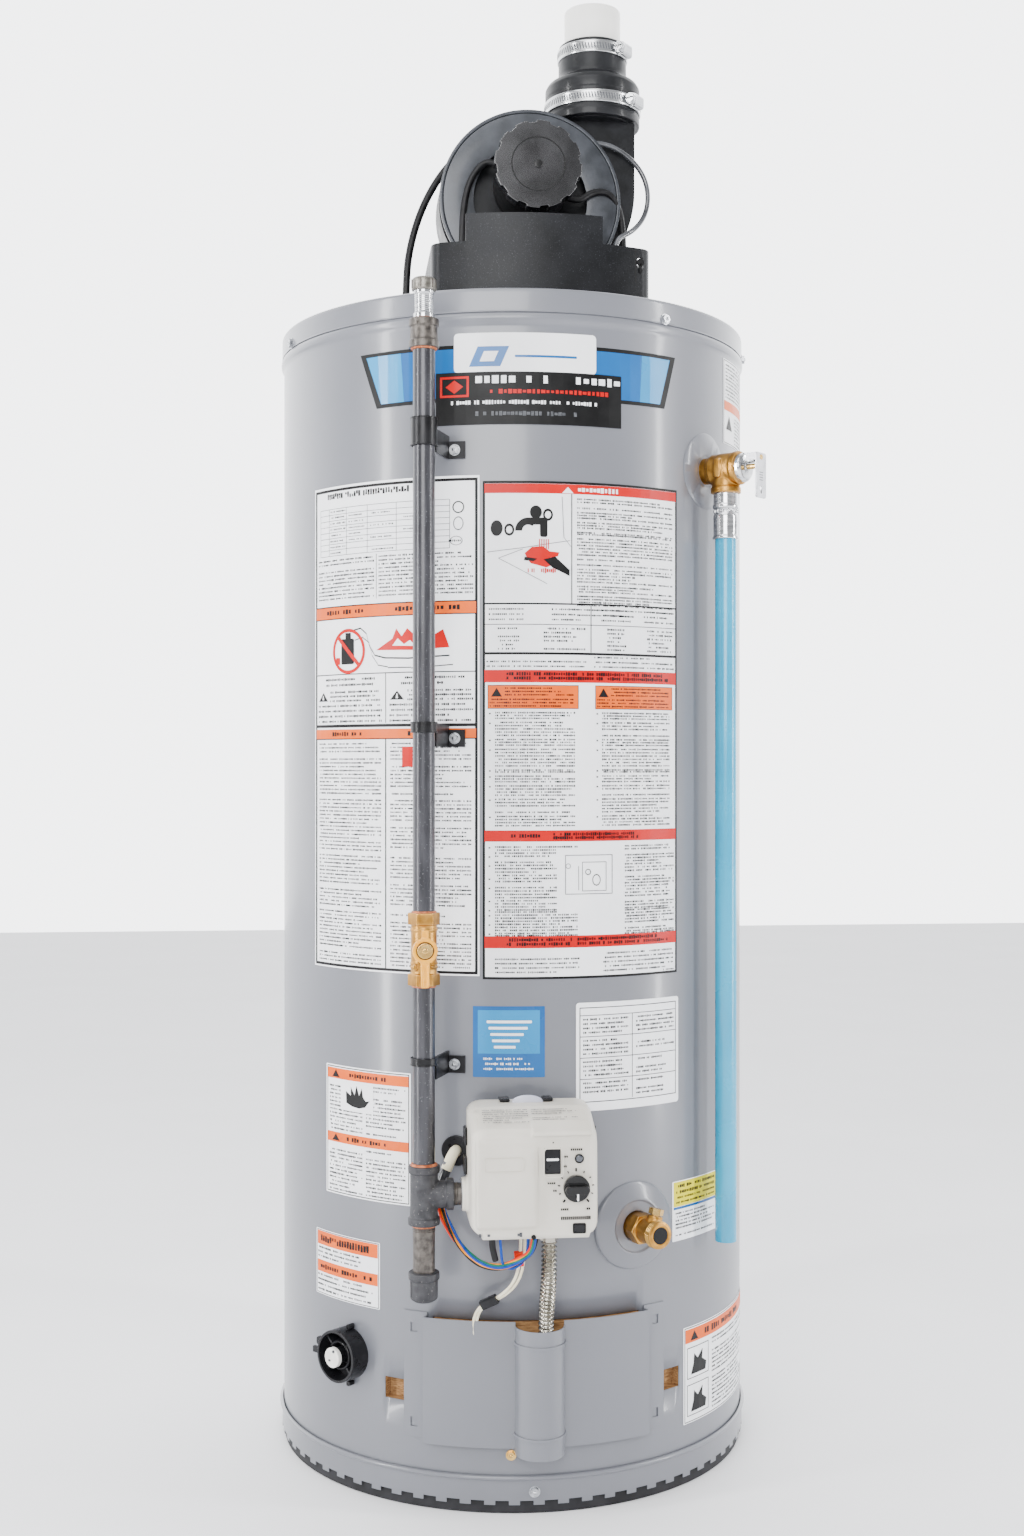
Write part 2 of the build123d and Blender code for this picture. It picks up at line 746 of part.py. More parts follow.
# ================= Outer burner door =================
bulge_y = -(sqrt(panel_outer ** 2 - bulge_radius ** 2) - 0.8 * door_sheet)
flange_half = (door_flange_angle - door_panel_angle + 0.4) / 2
with BuildPart() as outer_door:
    with BuildSketch(Plane.XY.offset(door_low)):
        sector(door_panel_angle, panel_outer - door_sheet, panel_outer)
        with Locations((0, bulge_y)):
            Rectangle(2 * bulge_radius - door_sheet, 12, mode=Mode.SUBTRACT)
    extrude(amount=door_high - door_low)
    for side in (-1, 1):
        with BuildSketch(Plane.XY.offset(door_low)):
            sector(0.2, door_inner, panel_outer, side * (door_panel_angle - 0.2))
        extrude(amount=door_high - door_low)
        with BuildSketch(Plane.XY.offset(flange_low)):
            sector(flange_half, door_inner, door_inner + door_sheet,
                   side * (door_panel_angle - 0.4 + flange_half))
        extrude(amount=flange_high - flange_low)
        for height in peg_heights:
            with BuildSketch(wall_plane(side * peg_angle, height, jacket_radius - 4)):
                Rectangle(peg_size + 2 * peg_room, 1.6 * peg_size + 2 * peg_room)
            extrude(amount=10, mode=Mode.SUBTRACT)
    with BuildSketch(Plane.XY.offset(bulge_low)):
        with Locations((0, bulge_y)):
            Circle(bulge_radius)
            Circle(bulge_radius - door_sheet, mode=Mode.SUBTRACT)
        with Locations((0, bulge_y + bulge_radius)):
            Rectangle(3 * bulge_radius, 2 * bulge_radius, mode=Mode.SUBTRACT)
    extrude(amount=bulge_high - bulge_low)
    for height in rib_heights:
        with BuildSketch(Plane.XY.offset(height - rib_radius)):
            with Locations((0, bulge_y)):
                Circle(bulge_radius + rib_radius)
                Circle(bulge_radius - door_sheet / 2, mode=Mode.SUBTRACT)
            with Locations((0, bulge_y + bulge_radius - 1)):
                Rectangle(3 * bulge_radius, 2 * bulge_radius, mode=Mode.SUBTRACT)
        extrude(amount=2 * rib_radius)
save(outer_door, "outer_door")

# ================= Gas train =================
train_spot = (train_x, train_y)


def pipe(low, high, outer=pipe_radius, inner=pipe_radius - pipe_wall):
    """Upright pipe on the gas train's axis, added to the piece being built."""
    with BuildSketch(Plane.XY.offset(low)) as section:
        with Locations(train_spot):
            Circle(outer)
            if inner:
                Circle(inner, mode=Mode.SUBTRACT)
    extrude(section.sketch, amount=high - low)


with BuildPart() as gas_inlet_fitting:
    pipe(inlet_top - nut_height, inlet_top, inlet_radius, inlet_bore)
    pipe(coupling_bottom + coupling_height - engagement, inlet_top - nut_height, bright_radius, inlet_bore)
save(gas_inlet_fitting, "gas_inlet_fitting")

with BuildPart() as riser_coupling:
    coupling_top = coupling_bottom + coupling_height
    coupling_mid = coupling_bottom + coupling_height / 2
    pipe(coupling_bottom, coupling_mid, coupling_radius, pipe_radius)
    pipe(coupling_mid, coupling_top, coupling_radius, bright_radius)
save(riser_coupling, "riser_coupling")

valve_top = valve_z + valve_half
valve_low = valve_z - valve_half
with BuildPart() as riser_pipe:
    pipe(valve_top - engagement, coupling_mid - 1)
save(riser_pipe, "riser_pipe")

with BuildPart() as gas_valve_body:
    pipe(valve_low, valve_top, valve_body_radius, 0)
    for low in (valve_low, valve_top - 11):
        with BuildSketch(Plane.XY.offset(low)):
            with Locations(train_spot):
                RegularPolygon(valve_hex, 6, major_radius=False)
        extrude(amount=11)
    with BuildSketch(Plane.XZ.offset(-train_y)):
        with Locations((train_x, valve_z)):
            Circle(8)
    extrude(amount=valve_body_radius + 3)
    with Locations((train_x, train_y, valve_z)):
        Sphere(ball_radius + ball_gap, mode=Mode.SUBTRACT)
    with BuildSketch(Plane.XY.offset(valve_low)):
        with Locations(train_spot):
            Circle(6)
    extrude(amount=2 * valve_half, mode=Mode.SUBTRACT)
    for low in (valve_low, valve_top - engagement):
        with BuildSketch(Plane.XY.offset(low)):
            with Locations(train_spot):
                Circle(pipe_radius)
        extrude(amount=engagement, mode=Mode.SUBTRACT)
    with BuildSketch(Plane.XZ.offset(-train_y)):
        with Locations((train_x, valve_z)):
            Circle(stem_radius + stem_fit)
    extrude(amount=40, mode=Mode.SUBTRACT)
save(gas_valve_body, "gas_valve_body")

with BuildPart() as gas_valve_ball:
    with Locations((train_x, train_y, valve_z)):
        Sphere(ball_radius)
    with BuildSketch(Plane.XY.offset(valve_z - 20)):
        with Locations(train_spot):
            Circle(5.8)
    extrude(amount=40, mode=Mode.SUBTRACT)
    with BuildSketch(Plane.XZ.offset(-train_y + 7.2)):
        with Locations((train_x, valve_z)):
            Circle(stem_radius)
    extrude(amount=valve_body_radius + 6 - 7.2)
save(gas_valve_ball, "gas_valve_ball")

handle_back = -train_y + valve_body_radius + 3.6
with BuildPart() as gas_valve_handle:
    with BuildSketch(Plane.XZ.offset(handle_back)):
        with Locations((train_x, valve_z)):
            Circle(12)
        with Locations((train_x, valve_z - 22)):
            Rectangle(8.5, 26)
        with Locations((train_x, valve_z + 14)):
            Rectangle(7, 11)
    extrude(amount=4.5)
    with BuildSketch(Plane.XZ.offset(handle_back + 1.5)):
        with Locations((train_x, valve_z)):
            Circle(9.2)
    extrude(amount=4, mode=Mode.SUBTRACT)
    with BuildSketch(Plane.XZ.offset(handle_back - 1)):
        with Locations((train_x, valve_z)):
            Circle(stem_radius)
    extrude(amount=valve_body_radius + 6 - valve_body_radius - 2.6, mode=Mode.SUBTRACT)
save(gas_valve_handle, "gas_valve_handle")

tee_top = tee_z + tee_half
tee_low = tee_z - tee_half
with BuildPart() as lower_pipe:
    pipe(tee_top - engagement, valve_low + engagement)
save(lower_pipe, "lower_pipe")

with BuildPart() as gas_tee:
    pipe(tee_low, tee_top, tee_body, 0)
    with BuildSketch(Plane.YZ.offset(train_x)):
        with Locations((train_y, tee_z)):
            Circle(tee_body)
    extrude(amount=branch_reach)
    for low in (tee_low, tee_top - band_height):
        pipe(low, low + band_height, tee_band, 0)
    with BuildSketch(Plane.YZ.offset(train_x + branch_reach - band_height)):
        with Locations((train_y, tee_z)):
            Circle(tee_band)
    extrude(amount=band_height)
    with BuildSketch(Plane.XY.offset(tee_low)):
        with Locations(train_spot):
            Circle(7.9)
    extrude(amount=2 * tee_half, mode=Mode.SUBTRACT)
    with BuildSketch(Plane.YZ.offset(train_x)):
        with Locations((train_y, tee_z)):
            Circle(7.9)
    extrude(amount=branch_reach, mode=Mode.SUBTRACT)
    for low in (tee_low, tee_top - engagement):
        with BuildSketch(Plane.XY.offset(low)):
            with Locations(train_spot):
                Circle(pipe_radius)
        extrude(amount=engagement, mode=Mode.SUBTRACT)
    with BuildSketch(Plane.YZ.offset(train_x + branch_reach - engagement)):
        with Locations((train_y, tee_z)):
            Circle(pipe_radius)
    extrude(amount=engagement, mode=Mode.SUBTRACT)
save(gas_tee, "gas_tee")

control_left = control_x - control_width / 2
boss_left = control_left - 6
nipple_end = boss_left + engagement
drip_low = tee_low - drip_length
with BuildPart() as gas_nipples:
    with BuildSketch(Plane.YZ.offset(train_x + branch_reach - engagement)):
        with Locations((train_y, tee_z)):
            Circle(pipe_radius)
            Circle(pipe_radius - pipe_wall, mode=Mode.SUBTRACT)
    extrude(amount=nipple_end - train_x - branch_reach + engagement)
    pipe(drip_low - engagement, tee_low + engagement)
save(gas_nipples, "gas_nipples")

with BuildPart() as drip_cap:
    pipe(drip_low - cap_height, drip_low, tee_body, 0)
    pipe(drip_low - band_height, drip_low, tee_band - 0.6, 0)
    with BuildSketch(Plane.XY.offset(drip_low - engagement)):
        with Locations(train_spot):
            Circle(pipe_radius)
    extrude(amount=engagement, mode=Mode.SUBTRACT)
    fillet(drip_cap.edges().group_by(Axis.Z)[0], 2)
save(drip_cap, "drip_cap")

tab_x, tab_y = wall_point(clamp_angle, clamp_seat)
clamp_outer = pipe_radius + 0.2 + clamp_wall
with BuildPart() as pipe_clamps:
    for drop, height, tab_z in zip(clamp_drops, clamp_heights, clamp_tabs):
        ring_z = lid_top - drop
        leg_low = min(ring_z - height / 2, tab_z - clamp_tab_height / 2)
        with BuildSketch(Plane.XY.offset(ring_z - height / 2)):
            with Locations(train_spot):
                Circle(clamp_outer)
                Circle(pipe_radius + 0.2, mode=Mode.SUBTRACT)
        extrude(amount=height)
        with BuildSketch(wall_plane(clamp_angle, tab_z, clamp_seat)):
            Rectangle(clamp_tab_width, clamp_tab_height)
            Circle(screw_radius + screw_gap, mode=Mode.SUBTRACT)
        extrude(amount=clamp_tab_wall)
        leg_high = ring_z + min(height / 2, 4)
        edge_x, edge_y = wall_point(clamp_angle, clamp_seat + clamp_tab_wall)
        left_x = edge_x - (clamp_tab_width / 2) * cos(radians(clamp_angle))
        left_y = edge_y - (clamp_tab_width / 2) * sin(radians(clamp_angle))
        with BuildSketch(Plane.XY.offset(leg_low)):
            with BuildLine():
                Polyline(
                    (train_x + pipe_radius - 1, train_y + 5.2),
                    (train_x + pipe_radius + 1.6, train_y + 3.6),
                    (left_x + 3, left_y + 0.4),
                    (left_x + 0.4, left_y + 1.0),
                    close=True,
                )
            make_face()
        extrude(amount=leg_high - leg_low)
save(pipe_clamps, "pipe_clamps")

# ================= Gas control =================
cover_z = control_low + control_height / 2


def cover_shape(inset, back):
    """Block of the cover's shape, set in by a wall, reaching back to a plane."""
    low, high = control_low + inset, control_top - inset
    face = cover_face + inset
    with BuildPart() as block:
        with BuildSketch(Plane.YZ.offset(control_x - control_width / 2 + inset)):
            with BuildLine():
                Polyline(
                    (back, high),
                    (cover_face + cover_shoulder, high),
                    (face + cover_lean + 3, control_top - cover_slope),
                    (face + cover_lean, control_top - cover_slope - 6),
                    (face, low + 6),
                    (face + 1, low),
                    (back, low),
                    close=True,
                )
            make_face()
        extrude(amount=control_width - 2 * inset)
        with BuildSketch(Plane.XZ.offset(-back)):
            with Locations((control_x, cover_z)):
                RectangleRounded(control_width - 2 * inset, high - low, cover_corner - inset)
        extrude(amount=2 * cover_depth, mode=Mode.INTERSECT)
        with BuildSketch(Plane.XY.offset(control_low - 1)):
            with Locations((control_x, face + cover_depth)):
                RectangleRounded(control_width - 2 * inset, 2 * cover_depth, cover_corner - inset)
        extrude(amount=control_height + 2, mode=Mode.INTERSECT)
    return block.part


cover_solid = cover_shape(0, cover_back)
cover_hollow = cover_shape(cover_wall, cover_back + 1)
with BuildPart() as gas_control_cover:
    add(cover_solid)
    add(cover_hollow, mode=Mode.SUBTRACT)
    with BuildSketch(Plane.XZ.offset(-cover_face - 3 * cover_wall)):
        with Locations((rocker_x, rocker_z)):
            Rectangle(rocker_width + 2 * rocker_gap, 2 * (rocker_radius + rocker_gap))
        with Locations((knob_x, knob_z)):
            Circle(knob_stem + knob_stem_gap)
    extrude(amount=4 * cover_wall, mode=Mode.SUBTRACT)
    with BuildSketch(Plane.YZ.offset(control_x - control_width / 2 - 2)):
        with Locations((train_y, tee_z)):
            Rectangle(2 * (pipe_radius + 5), 2 * (pipe_radius + 5))
    extrude(amount=8, mode=Mode.SUBTRACT)
    with BuildSketch(Plane.XY.offset(control_low - 2)):
        with Locations((flex_x, flex_y)):
            Rectangle(2 * flex_radius + 4, 2 * flex_radius + 4)
    extrude(amount=8, mode=Mode.SUBTRACT)
save(gas_control_cover, "gas_control_cover")

body_half_x = control_width / 2 - cover_wall - body_gap
body_front = cover_back - cover_depth * 0.45
with BuildPart() as gas_control_body:
    body_rear = -(jacket_radius + body_back_gap)
    with BuildSketch(Plane.XZ.offset(-cover_back)):
        with Locations((control_x, cover_z)):
            RectangleRounded(2 * body_half_x - 8, control_height - 2 * cover_wall - 2 * body_gap - 8, 6)
    extrude(amount=body_rear - cover_back, both=False, dir=(0, 1, 0))
    with BuildSketch(Plane.XZ.offset(-cover_back)):
        with Locations((control_x, cover_z)):
            RectangleRounded(2 * body_half_x, control_height - 2 * cover_wall - 2 * body_gap, 4)
    extrude(amount=cover_back - body_front)
    with BuildSketch(Plane.YZ.offset(boss_left)):
        with Locations((train_y, tee_z)):
            Circle(pipe_radius + 3.6)
    extrude(amount=control_x - boss_left)
    with BuildSketch(Plane.YZ.offset(boss_left)):
        with Locations((train_y, tee_z)):
            Circle(pipe_radius)
    extrude(amount=engagement, mode=Mode.SUBTRACT)
    with BuildSketch(Plane.XY.offset(control_low - 4)):
        with Locations((flex_x, flex_y)):
            Circle(flex_radius + 1.6)
    extrude(amount=20)
save(gas_control_body, "gas_control_body")

with BuildPart() as thermowell_probe:
    with BuildSketch(Plane.XZ.offset(-body_rear)):
        with Locations((control_x, well_z)):
            Circle(well_radius)
    extrude(amount=-well_length)
save(thermowell_probe, "thermowell_probe")

with BuildPart() as control_clips:
    for x in (control_x - 23.5, control_x + 18.5):
        with Locations((x, cover_back - 10, control_top + 1.5)):
            Box(clip_width, 16, 3)
    for x, z in ((control_left - 1.5, cover_z + 26), (control_left - 1.5, cover_z - 2),
                 (control_left + control_width + 3, cover_z + 26)):
        with Locations((x, cover_back - 8, z)):
            Box(3 if x < control_x else 6, 16, 17)
save(control_clips, "control_clips")

rocker_y = cover_face + 1.2
with BuildPart() as rocker_switch:
    with BuildSketch(Plane.YZ.offset(rocker_x - rocker_width / 2)):
        with Locations((rocker_y, rocker_z)):
            Circle(rocker_radius)
            with Locations(Location((-rocker_radius, 0, 0))):
                Rectangle(2 * rocker_radius, 2 * rocker_radius + 1, mode=Mode.SUBTRACT)
        tip = rocker_radius * cos(radians(rocker_tilt))
        lean = rocker_radius * sin(radians(rocker_tilt))
        with BuildLine():
            Polyline(
                (rocker_y + lean, rocker_z + tip),
                (rocker_y - rocker_proud, rocker_z),
                (rocker_y - lean, rocker_z - tip),
                (rocker_y + lean, rocker_z - tip),
                close=True,
            )
        make_face()
    extrude(amount=rocker_width)
save(rocker_switch, "rocker_switch")

knob_back = -cover_face + knob_gap
with BuildPart() as temperature_knob:
    with BuildSketch(Plane.XZ.offset(knob_back)):
        with Locations((knob_x, knob_z)):
            Circle(knob_radius)
    extrude(amount=knob_height * 0.45)
    with BuildSketch(Plane.XZ.offset(knob_back)):
        with Locations((knob_x, knob_z)):
            SlotOverall(2 * knob_radius - 2, 8)
    extrude(amount=knob_height)
    with BuildSketch(Plane.XZ.offset(-cover_face - cover_wall - 5)):
        with Locations((knob_x, knob_z)):
            Circle(knob_stem)
    extrude(amount=knob_gap + cover_wall + 6)
save(temperature_knob, "temperature_knob")

# ================= Flex tube, leads and sensor =================
tube_end = -manifold_front
flex_points = [
    (flex_x, flex_y, control_low - 4),
    (flex_x, flex_y, flex_points_z[0]),
    (flex_x, flex_y + 4.0, flex_points_z[1]),
    (flex_x - 0.6, -(jacket_radius + 20.0), flex_points_z[2]),
    (flex_x - 0.3, -(jacket_radius + 15.5), flex_points_z[3]),
    (flex_x, -(jacket_radius + 15.0), flex_points_z[4]),
    (flex_x, -(jacket_radius + 16.5), manifold_height),
    (flex_x, tube_end, manifold_height),
]
flex_run = tube("flex_gas_tube", flex_points, flex_radius)
with BuildPart() as flex_gas_tube:
    add(flex_run)
save(flex_gas_tube, "flex_gas_tube")

with BuildPart() as wiring_grommets:
    with BuildSketch(wall_plane(grommet_angle, grommet_z, jacket_radius - 3)):
        Circle(grommet_radius)
        Circle(plug_radius, mode=Mode.SUBTRACT)
    extrude(amount=6)
    with BuildSketch(Plane.XY):
        Circle(jacket_radius + 0.2)
    extrude(amount=2 * grommet_z, mode=Mode.SUBTRACT)
    with BuildSketch(Plane.XY.offset(lid_top)):
        with Locations((supply_x, supply_y)):
            Circle(supply_radius + 6)
            Circle(supply_radius, mode=Mode.SUBTRACT)
    extrude(amount=4)
save(wiring_grommets, "wiring_grommets")

plug_x, plug_y = wall_point(grommet_angle, jacket_radius - 6)
plug_tip = wall_point(grommet_angle, jacket_radius + 14)
plug_points = [
    (plug_x, plug_y, grommet_z),
    (*plug_tip, grommet_z),
    (plug_tip[0] - 7, plug_tip[1] - 1, grommet_z - 16),
]
plug_run = tube("harness_plug", plug_points, plug_radius)
with BuildPart() as harness_plug:
    add(plug_run)
save(harness_plug, "harness_plug")

plug_end = Vector(*plug_points[-1])
plug_way = (plug_end - Vector(*plug_points[-2])) * 0.9
loop_points = [
    tuple(plug_end),
    tuple(plug_end + plug_way),
    (-95.0, -262.0, 300.0),
    (-84.0, -266.0, 273.0),
    (-66.0, -282.0, 256.0),
    (-44.0, -296.0, 252.0),
    (-23.0, -302.0, 262.0),
    (-8.0, -303.0, 272.0),
    (-8.0, -303.0, control_low),
]
lead_r = (jacket_radius + pad_stand_out + panel_outer - door_sheet) / 2
igniter_points = [
    (-22.0, -292.0, control_low),
    (-22.0, -292.0, 264.0),
    (-26.0, -280.0, 236.0),
    (-40.0, -268.0, 218.0),
    (-58.0, -258.0, 208.0),
    (*wall_point(-14.6, lead_r), 192.0),
    (*wall_point(-14.2, lead_r), 170.0),
]
loop_run = tube("control_wiring", loop_points, harness_radius)
igniter_run = tube("igniter_leads", igniter_points, lead_radius)
with BuildPart() as control_wiring:
    add(loop_run)
    add(igniter_run)
save(control_wiring, "control_wiring")

with BuildPart() as vapor_sensor_holder:
    with BuildSketch(wall_plane(sensor_angle, sensor_z, jacket_radius - 2)):
        Circle(sensor_cup)
    extrude(amount=2 + sensor_depth)
    with BuildSketch(wall_plane(sensor_angle, sensor_z, jacket_radius + 3)):
        Circle(sensor_cup - sensor_cup_wall)
        Circle(sensor_body - 2, mode=Mode.SUBTRACT)
    extrude(amount=sensor_depth, mode=Mode.SUBTRACT)
    with BuildSketch(wall_plane(sensor_angle, sensor_z, jacket_radius + sensor_depth - 6)):
        with Locations((-sensor_cup - 4, 0)):
            Rectangle(12, 6)
    extrude(amount=3)
    with BuildSketch(Plane.XY):
        Circle(jacket_radius + 0.2)
    extrude(amount=2 * sensor_z, mode=Mode.SUBTRACT)
save(vapor_sensor_holder, "vapor_sensor_holder")

with BuildPart() as vapor_sensor:
    with BuildSketch(wall_plane(sensor_angle, sensor_z, jacket_radius + sensor_depth)):
        Circle(sensor_body)
    extrude(amount=5)
save(vapor_sensor, "vapor_sensor")

# ================= Relief valve and discharge =================
outlet_r = jacket_radius + relief_outlet
pipe_axis = wall_point(relief_angle, outlet_r)
bonnet_r = outlet_r + 18
branch_low = relief_z - adapter_top_drop


def radial_cylinder(angle, height, low, high, radius, hole=0.0, how=Mode.ADD):
    """Cylinder that points outwards from the tank between two radii."""
    with BuildSketch(wall_plane(angle, height, low)) as section:
        Circle(radius)
        if hole:
            Circle(hole, mode=Mode.SUBTRACT)
    extrude(section.sketch, amount=high - low, mode=how)


with BuildPart() as relief_valve_body:
    radial_cylinder(relief_angle, relief_z, tank_radius - 8, jacket_radius + 6, nipple_radius)
    radial_cylinder(relief_angle, relief_z, jacket_radius + 4, bonnet_r, relief_barrel)
    with BuildSketch(Plane.XY.offset(branch_low)):
        with Locations(pipe_axis):
            Circle(discharge_radius + 4)
    extrude(amount=adapter_top_drop)
    with BuildSketch(Plane.XY.offset(branch_low)):
        with Locations(pipe_axis):
            Circle(discharge_radius)
    extrude(amount=14, mode=Mode.SUBTRACT)
    radial_cylinder(relief_angle, relief_z, tank_radius - 120, tank_radius - 8, 4)
save(relief_valve_body, "relief_valve_body")

pin_r = bonnet_r + 14
pin_z = relief_z + 9
lug_half = 6.0
pin_plane = Plane(origin=(*wall_point(relief_angle, pin_r), pin_z),
                  x_dir=(0, 0, 1), z_dir=wall_plane(relief_angle, 0).x_dir)
with BuildPart() as relief_bonnet:
    radial_cylinder(relief_angle, relief_z, bonnet_r, bonnet_r + 7, relief_barrel - 1.5)
    radial_cylinder(relief_angle, relief_z, bonnet_r + 7, bonnet_r + 20, 3)
    with BuildSketch(wall_plane(relief_angle, pin_z, bonnet_r + 6)):
        Rectangle(2 * lug_half, 8)
    extrude(amount=12)
    with BuildSketch(pin_plane):
        Circle(lever_pin + pin_fit)
    extrude(amount=lug_half + 2, both=True, mode=Mode.SUBTRACT)
save(relief_bonnet, "relief_bonnet")

plate_r = bonnet_r + 22
with BuildPart() as relief_lever:
    with BuildSketch(wall_plane(relief_angle, relief_z - 10, plate_r)):
        RectangleRounded(lever_width, 46, 3)
        with Locations((0, -13)):
            Circle(2.4, mode=Mode.SUBTRACT)
    extrude(amount=lever_sheet)
    for side in (-1, 1):
        with BuildSketch(wall_plane(relief_angle, pin_z, pin_r - 3)):
            with Locations((side * (lever_width / 2 - lever_sheet / 2), 0)):
                Rectangle(lever_sheet, 8)
        extrude(amount=plate_r - pin_r + 3 + lever_sheet / 2)
    with BuildSketch(pin_plane):
        Circle(lever_pin)
    extrude(amount=lever_width / 2 - lever_sheet / 2, both=True)
save(relief_lever, "relief_lever")

adapter_low = branch_low - adapter_length
with BuildPart() as discharge_adapter:
    with BuildSketch(Plane.XY.offset(branch_low)):
        with Locations(pipe_axis):
            Circle(discharge_radius)
            Circle(discharge_radius - 2.4, mode=Mode.SUBTRACT)
    extrude(amount=10)
    for low, high, outer in ((adapter_low, adapter_low + 27, discharge_radius + 1.6),
                             (adapter_low + 27, branch_low - 15, discharge_radius + 0.6),
                             (branch_low - 15, branch_low, discharge_radius + 2.4)):
        with BuildSketch(Plane.XY.offset(low)):
            with Locations(pipe_axis):
                Circle(outer)
                Circle(discharge_radius - 2.4, mode=Mode.SUBTRACT)
        extrude(amount=high - low)
    with BuildSketch(Plane.XY.offset(adapter_low)):
        with Locations(pipe_axis):
            Circle(discharge_radius - seat_step)
    extrude(amount=12, mode=Mode.SUBTRACT)
save(discharge_adapter, "discharge_adapter")

with BuildPart() as discharge_pipe:
    with BuildSketch(Plane.XY.offset(discharge_low)):
        with Locations(pipe_axis):
            Circle(discharge_radius)
            Circle(discharge_radius - discharge_wall, mode=Mode.SUBTRACT)
    extrude(amount=adapter_low - seat_gap - discharge_low)
    with BuildSketch(Plane.XY.offset(adapter_low - seat_gap)):
        with Locations(pipe_axis):
            Circle(discharge_radius - seat_step)
            Circle(discharge_radius - discharge_wall, mode=Mode.SUBTRACT)
    extrude(amount=12 + seat_gap)
save(discharge_pipe, "discharge_pipe")

# ================= Drain valve and escutcheons =================
stem_r = jacket_radius + drain_stem_reach
mouth_r = jacket_radius + drain_reach
stem_base = wall_plane(drain_angle, drain_z, stem_r)
lean_s, lean_c = sin(radians(drain_stem_lean)), cos(radians(drain_stem_lean))
stem_axis = stem_base.x_dir * lean_s + Vector(0, 0, 1) * lean_c
stem_plane = Plane(origin=stem_base.origin, x_dir=stem_base.z_dir, z_dir=stem_axis)
with BuildPart() as drain_valve_body:
    radial_cylinder(drain_angle, drain_z, tank_radius - 8, jacket_radius + 3, nipple_radius)
    radial_cylinder(drain_angle, drain_z, jacket_radius + 2, jacket_radius + 24, drain_barrel)
    radial_cylinder(drain_angle, drain_z, jacket_radius + 24, mouth_r - drain_lip, drain_barrel - 2)
    radial_cylinder(drain_angle, drain_z, mouth_r - drain_lip, mouth_r, drain_outlet_radius)
    with BuildSketch(stem_plane):
        Circle(drain_stem_radius + 4)
    extrude(amount=17)
    radial_cylinder(drain_angle, drain_z, tank_radius - 9, mouth_r + 1, drain_bore, how=Mode.SUBTRACT)
    with BuildSketch(stem_plane):
        Circle(drain_stem_radius + stem_fit)
    extrude(amount=20, mode=Mode.SUBTRACT)
save(drain_valve_body, "drain_valve_body")

with BuildPart() as drain_valve_stem:
    with BuildSketch(stem_plane):
        Circle(drain_stem_radius)
    extrude(amount=19)
    with BuildSketch(stem_plane.offset(17.6)):
        RegularPolygon(drain_stem_radius + 2.4, 6, major_radius=False)
    extrude(amount=6)
    with BuildSketch(stem_plane.offset(21.6)):
        Rectangle(1.6, 20)
    extrude(amount=3, mode=Mode.SUBTRACT)
    with BuildSketch(stem_plane.offset(-0.68 * drain_bore)):
        Circle(0.65 * drain_bore)
    extrude(amount=2 * 0.68 * drain_bore)
    radial_cylinder(drain_angle, drain_z, stem_r - 20, stem_r + 20, 0.4 * drain_bore, how=Mode.SUBTRACT)
save(drain_valve_stem, "drain_valve_stem")

with BuildPart() as valve_escutcheons:
    radial_cylinder(relief_angle, relief_z, jacket_radius - 8, jacket_radius + 8, relief_disc, relief_barrel)
    with BuildSketch(Plane.XY.offset(relief_z - relief_disc - 1)):
        Circle(jacket_radius + 30)
        Circle(jacket_radius + 0.2 + relief_disc_wall, mode=Mode.SUBTRACT)
    extrude(amount=2 * relief_disc + 2, mode=Mode.SUBTRACT)
    radial_cylinder(drain_angle, drain_z, jacket_radius - 8, jacket_radius + 1, drain_disc)
    with BuildSketch(wall_plane(drain_angle, drain_z, jacket_radius + 1)):
        Circle(drain_disc - 1)
    with BuildSketch(wall_plane(drain_angle, drain_z, jacket_radius + drain_disc_rise)):
        Circle(drain_disc_inner)
    loft()
    radial_cylinder(drain_angle, drain_z, jacket_radius - 10, jacket_radius + 20, drain_barrel + 0.2,
                    how=Mode.SUBTRACT)
    with BuildSketch(Plane.XY.offset(drain_z - drain_disc - 1)):
        Circle(jacket_radius + 0.2)
    extrude(amount=relief_z + relief_disc - drain_z + drain_disc + 2, mode=Mode.SUBTRACT)
save(valve_escutcheons, "valve_escutcheons")

# ================= Vent hood =================
hood_centre = (hood_left + hood_right) / 2
hood_top = lid_top + hood_side
screen_top = lid_top + hood_screen


def hood_plan(inset=0.0):
    """Plan outline of the hood, bowed at the front, set in by a wall."""
    left, right = hood_left + inset, hood_right - inset
    side_y = -(hood_front - hood_bow) + inset
    with BuildLine() as outline:
        ThreePointArc((left, side_y), (hood_centre, -hood_front + inset), (right, side_y))
        Polyline((right, side_y), (right, hood_back - inset), (left, hood_back - inset), (left, side_y))
    make_face(outline.edges())


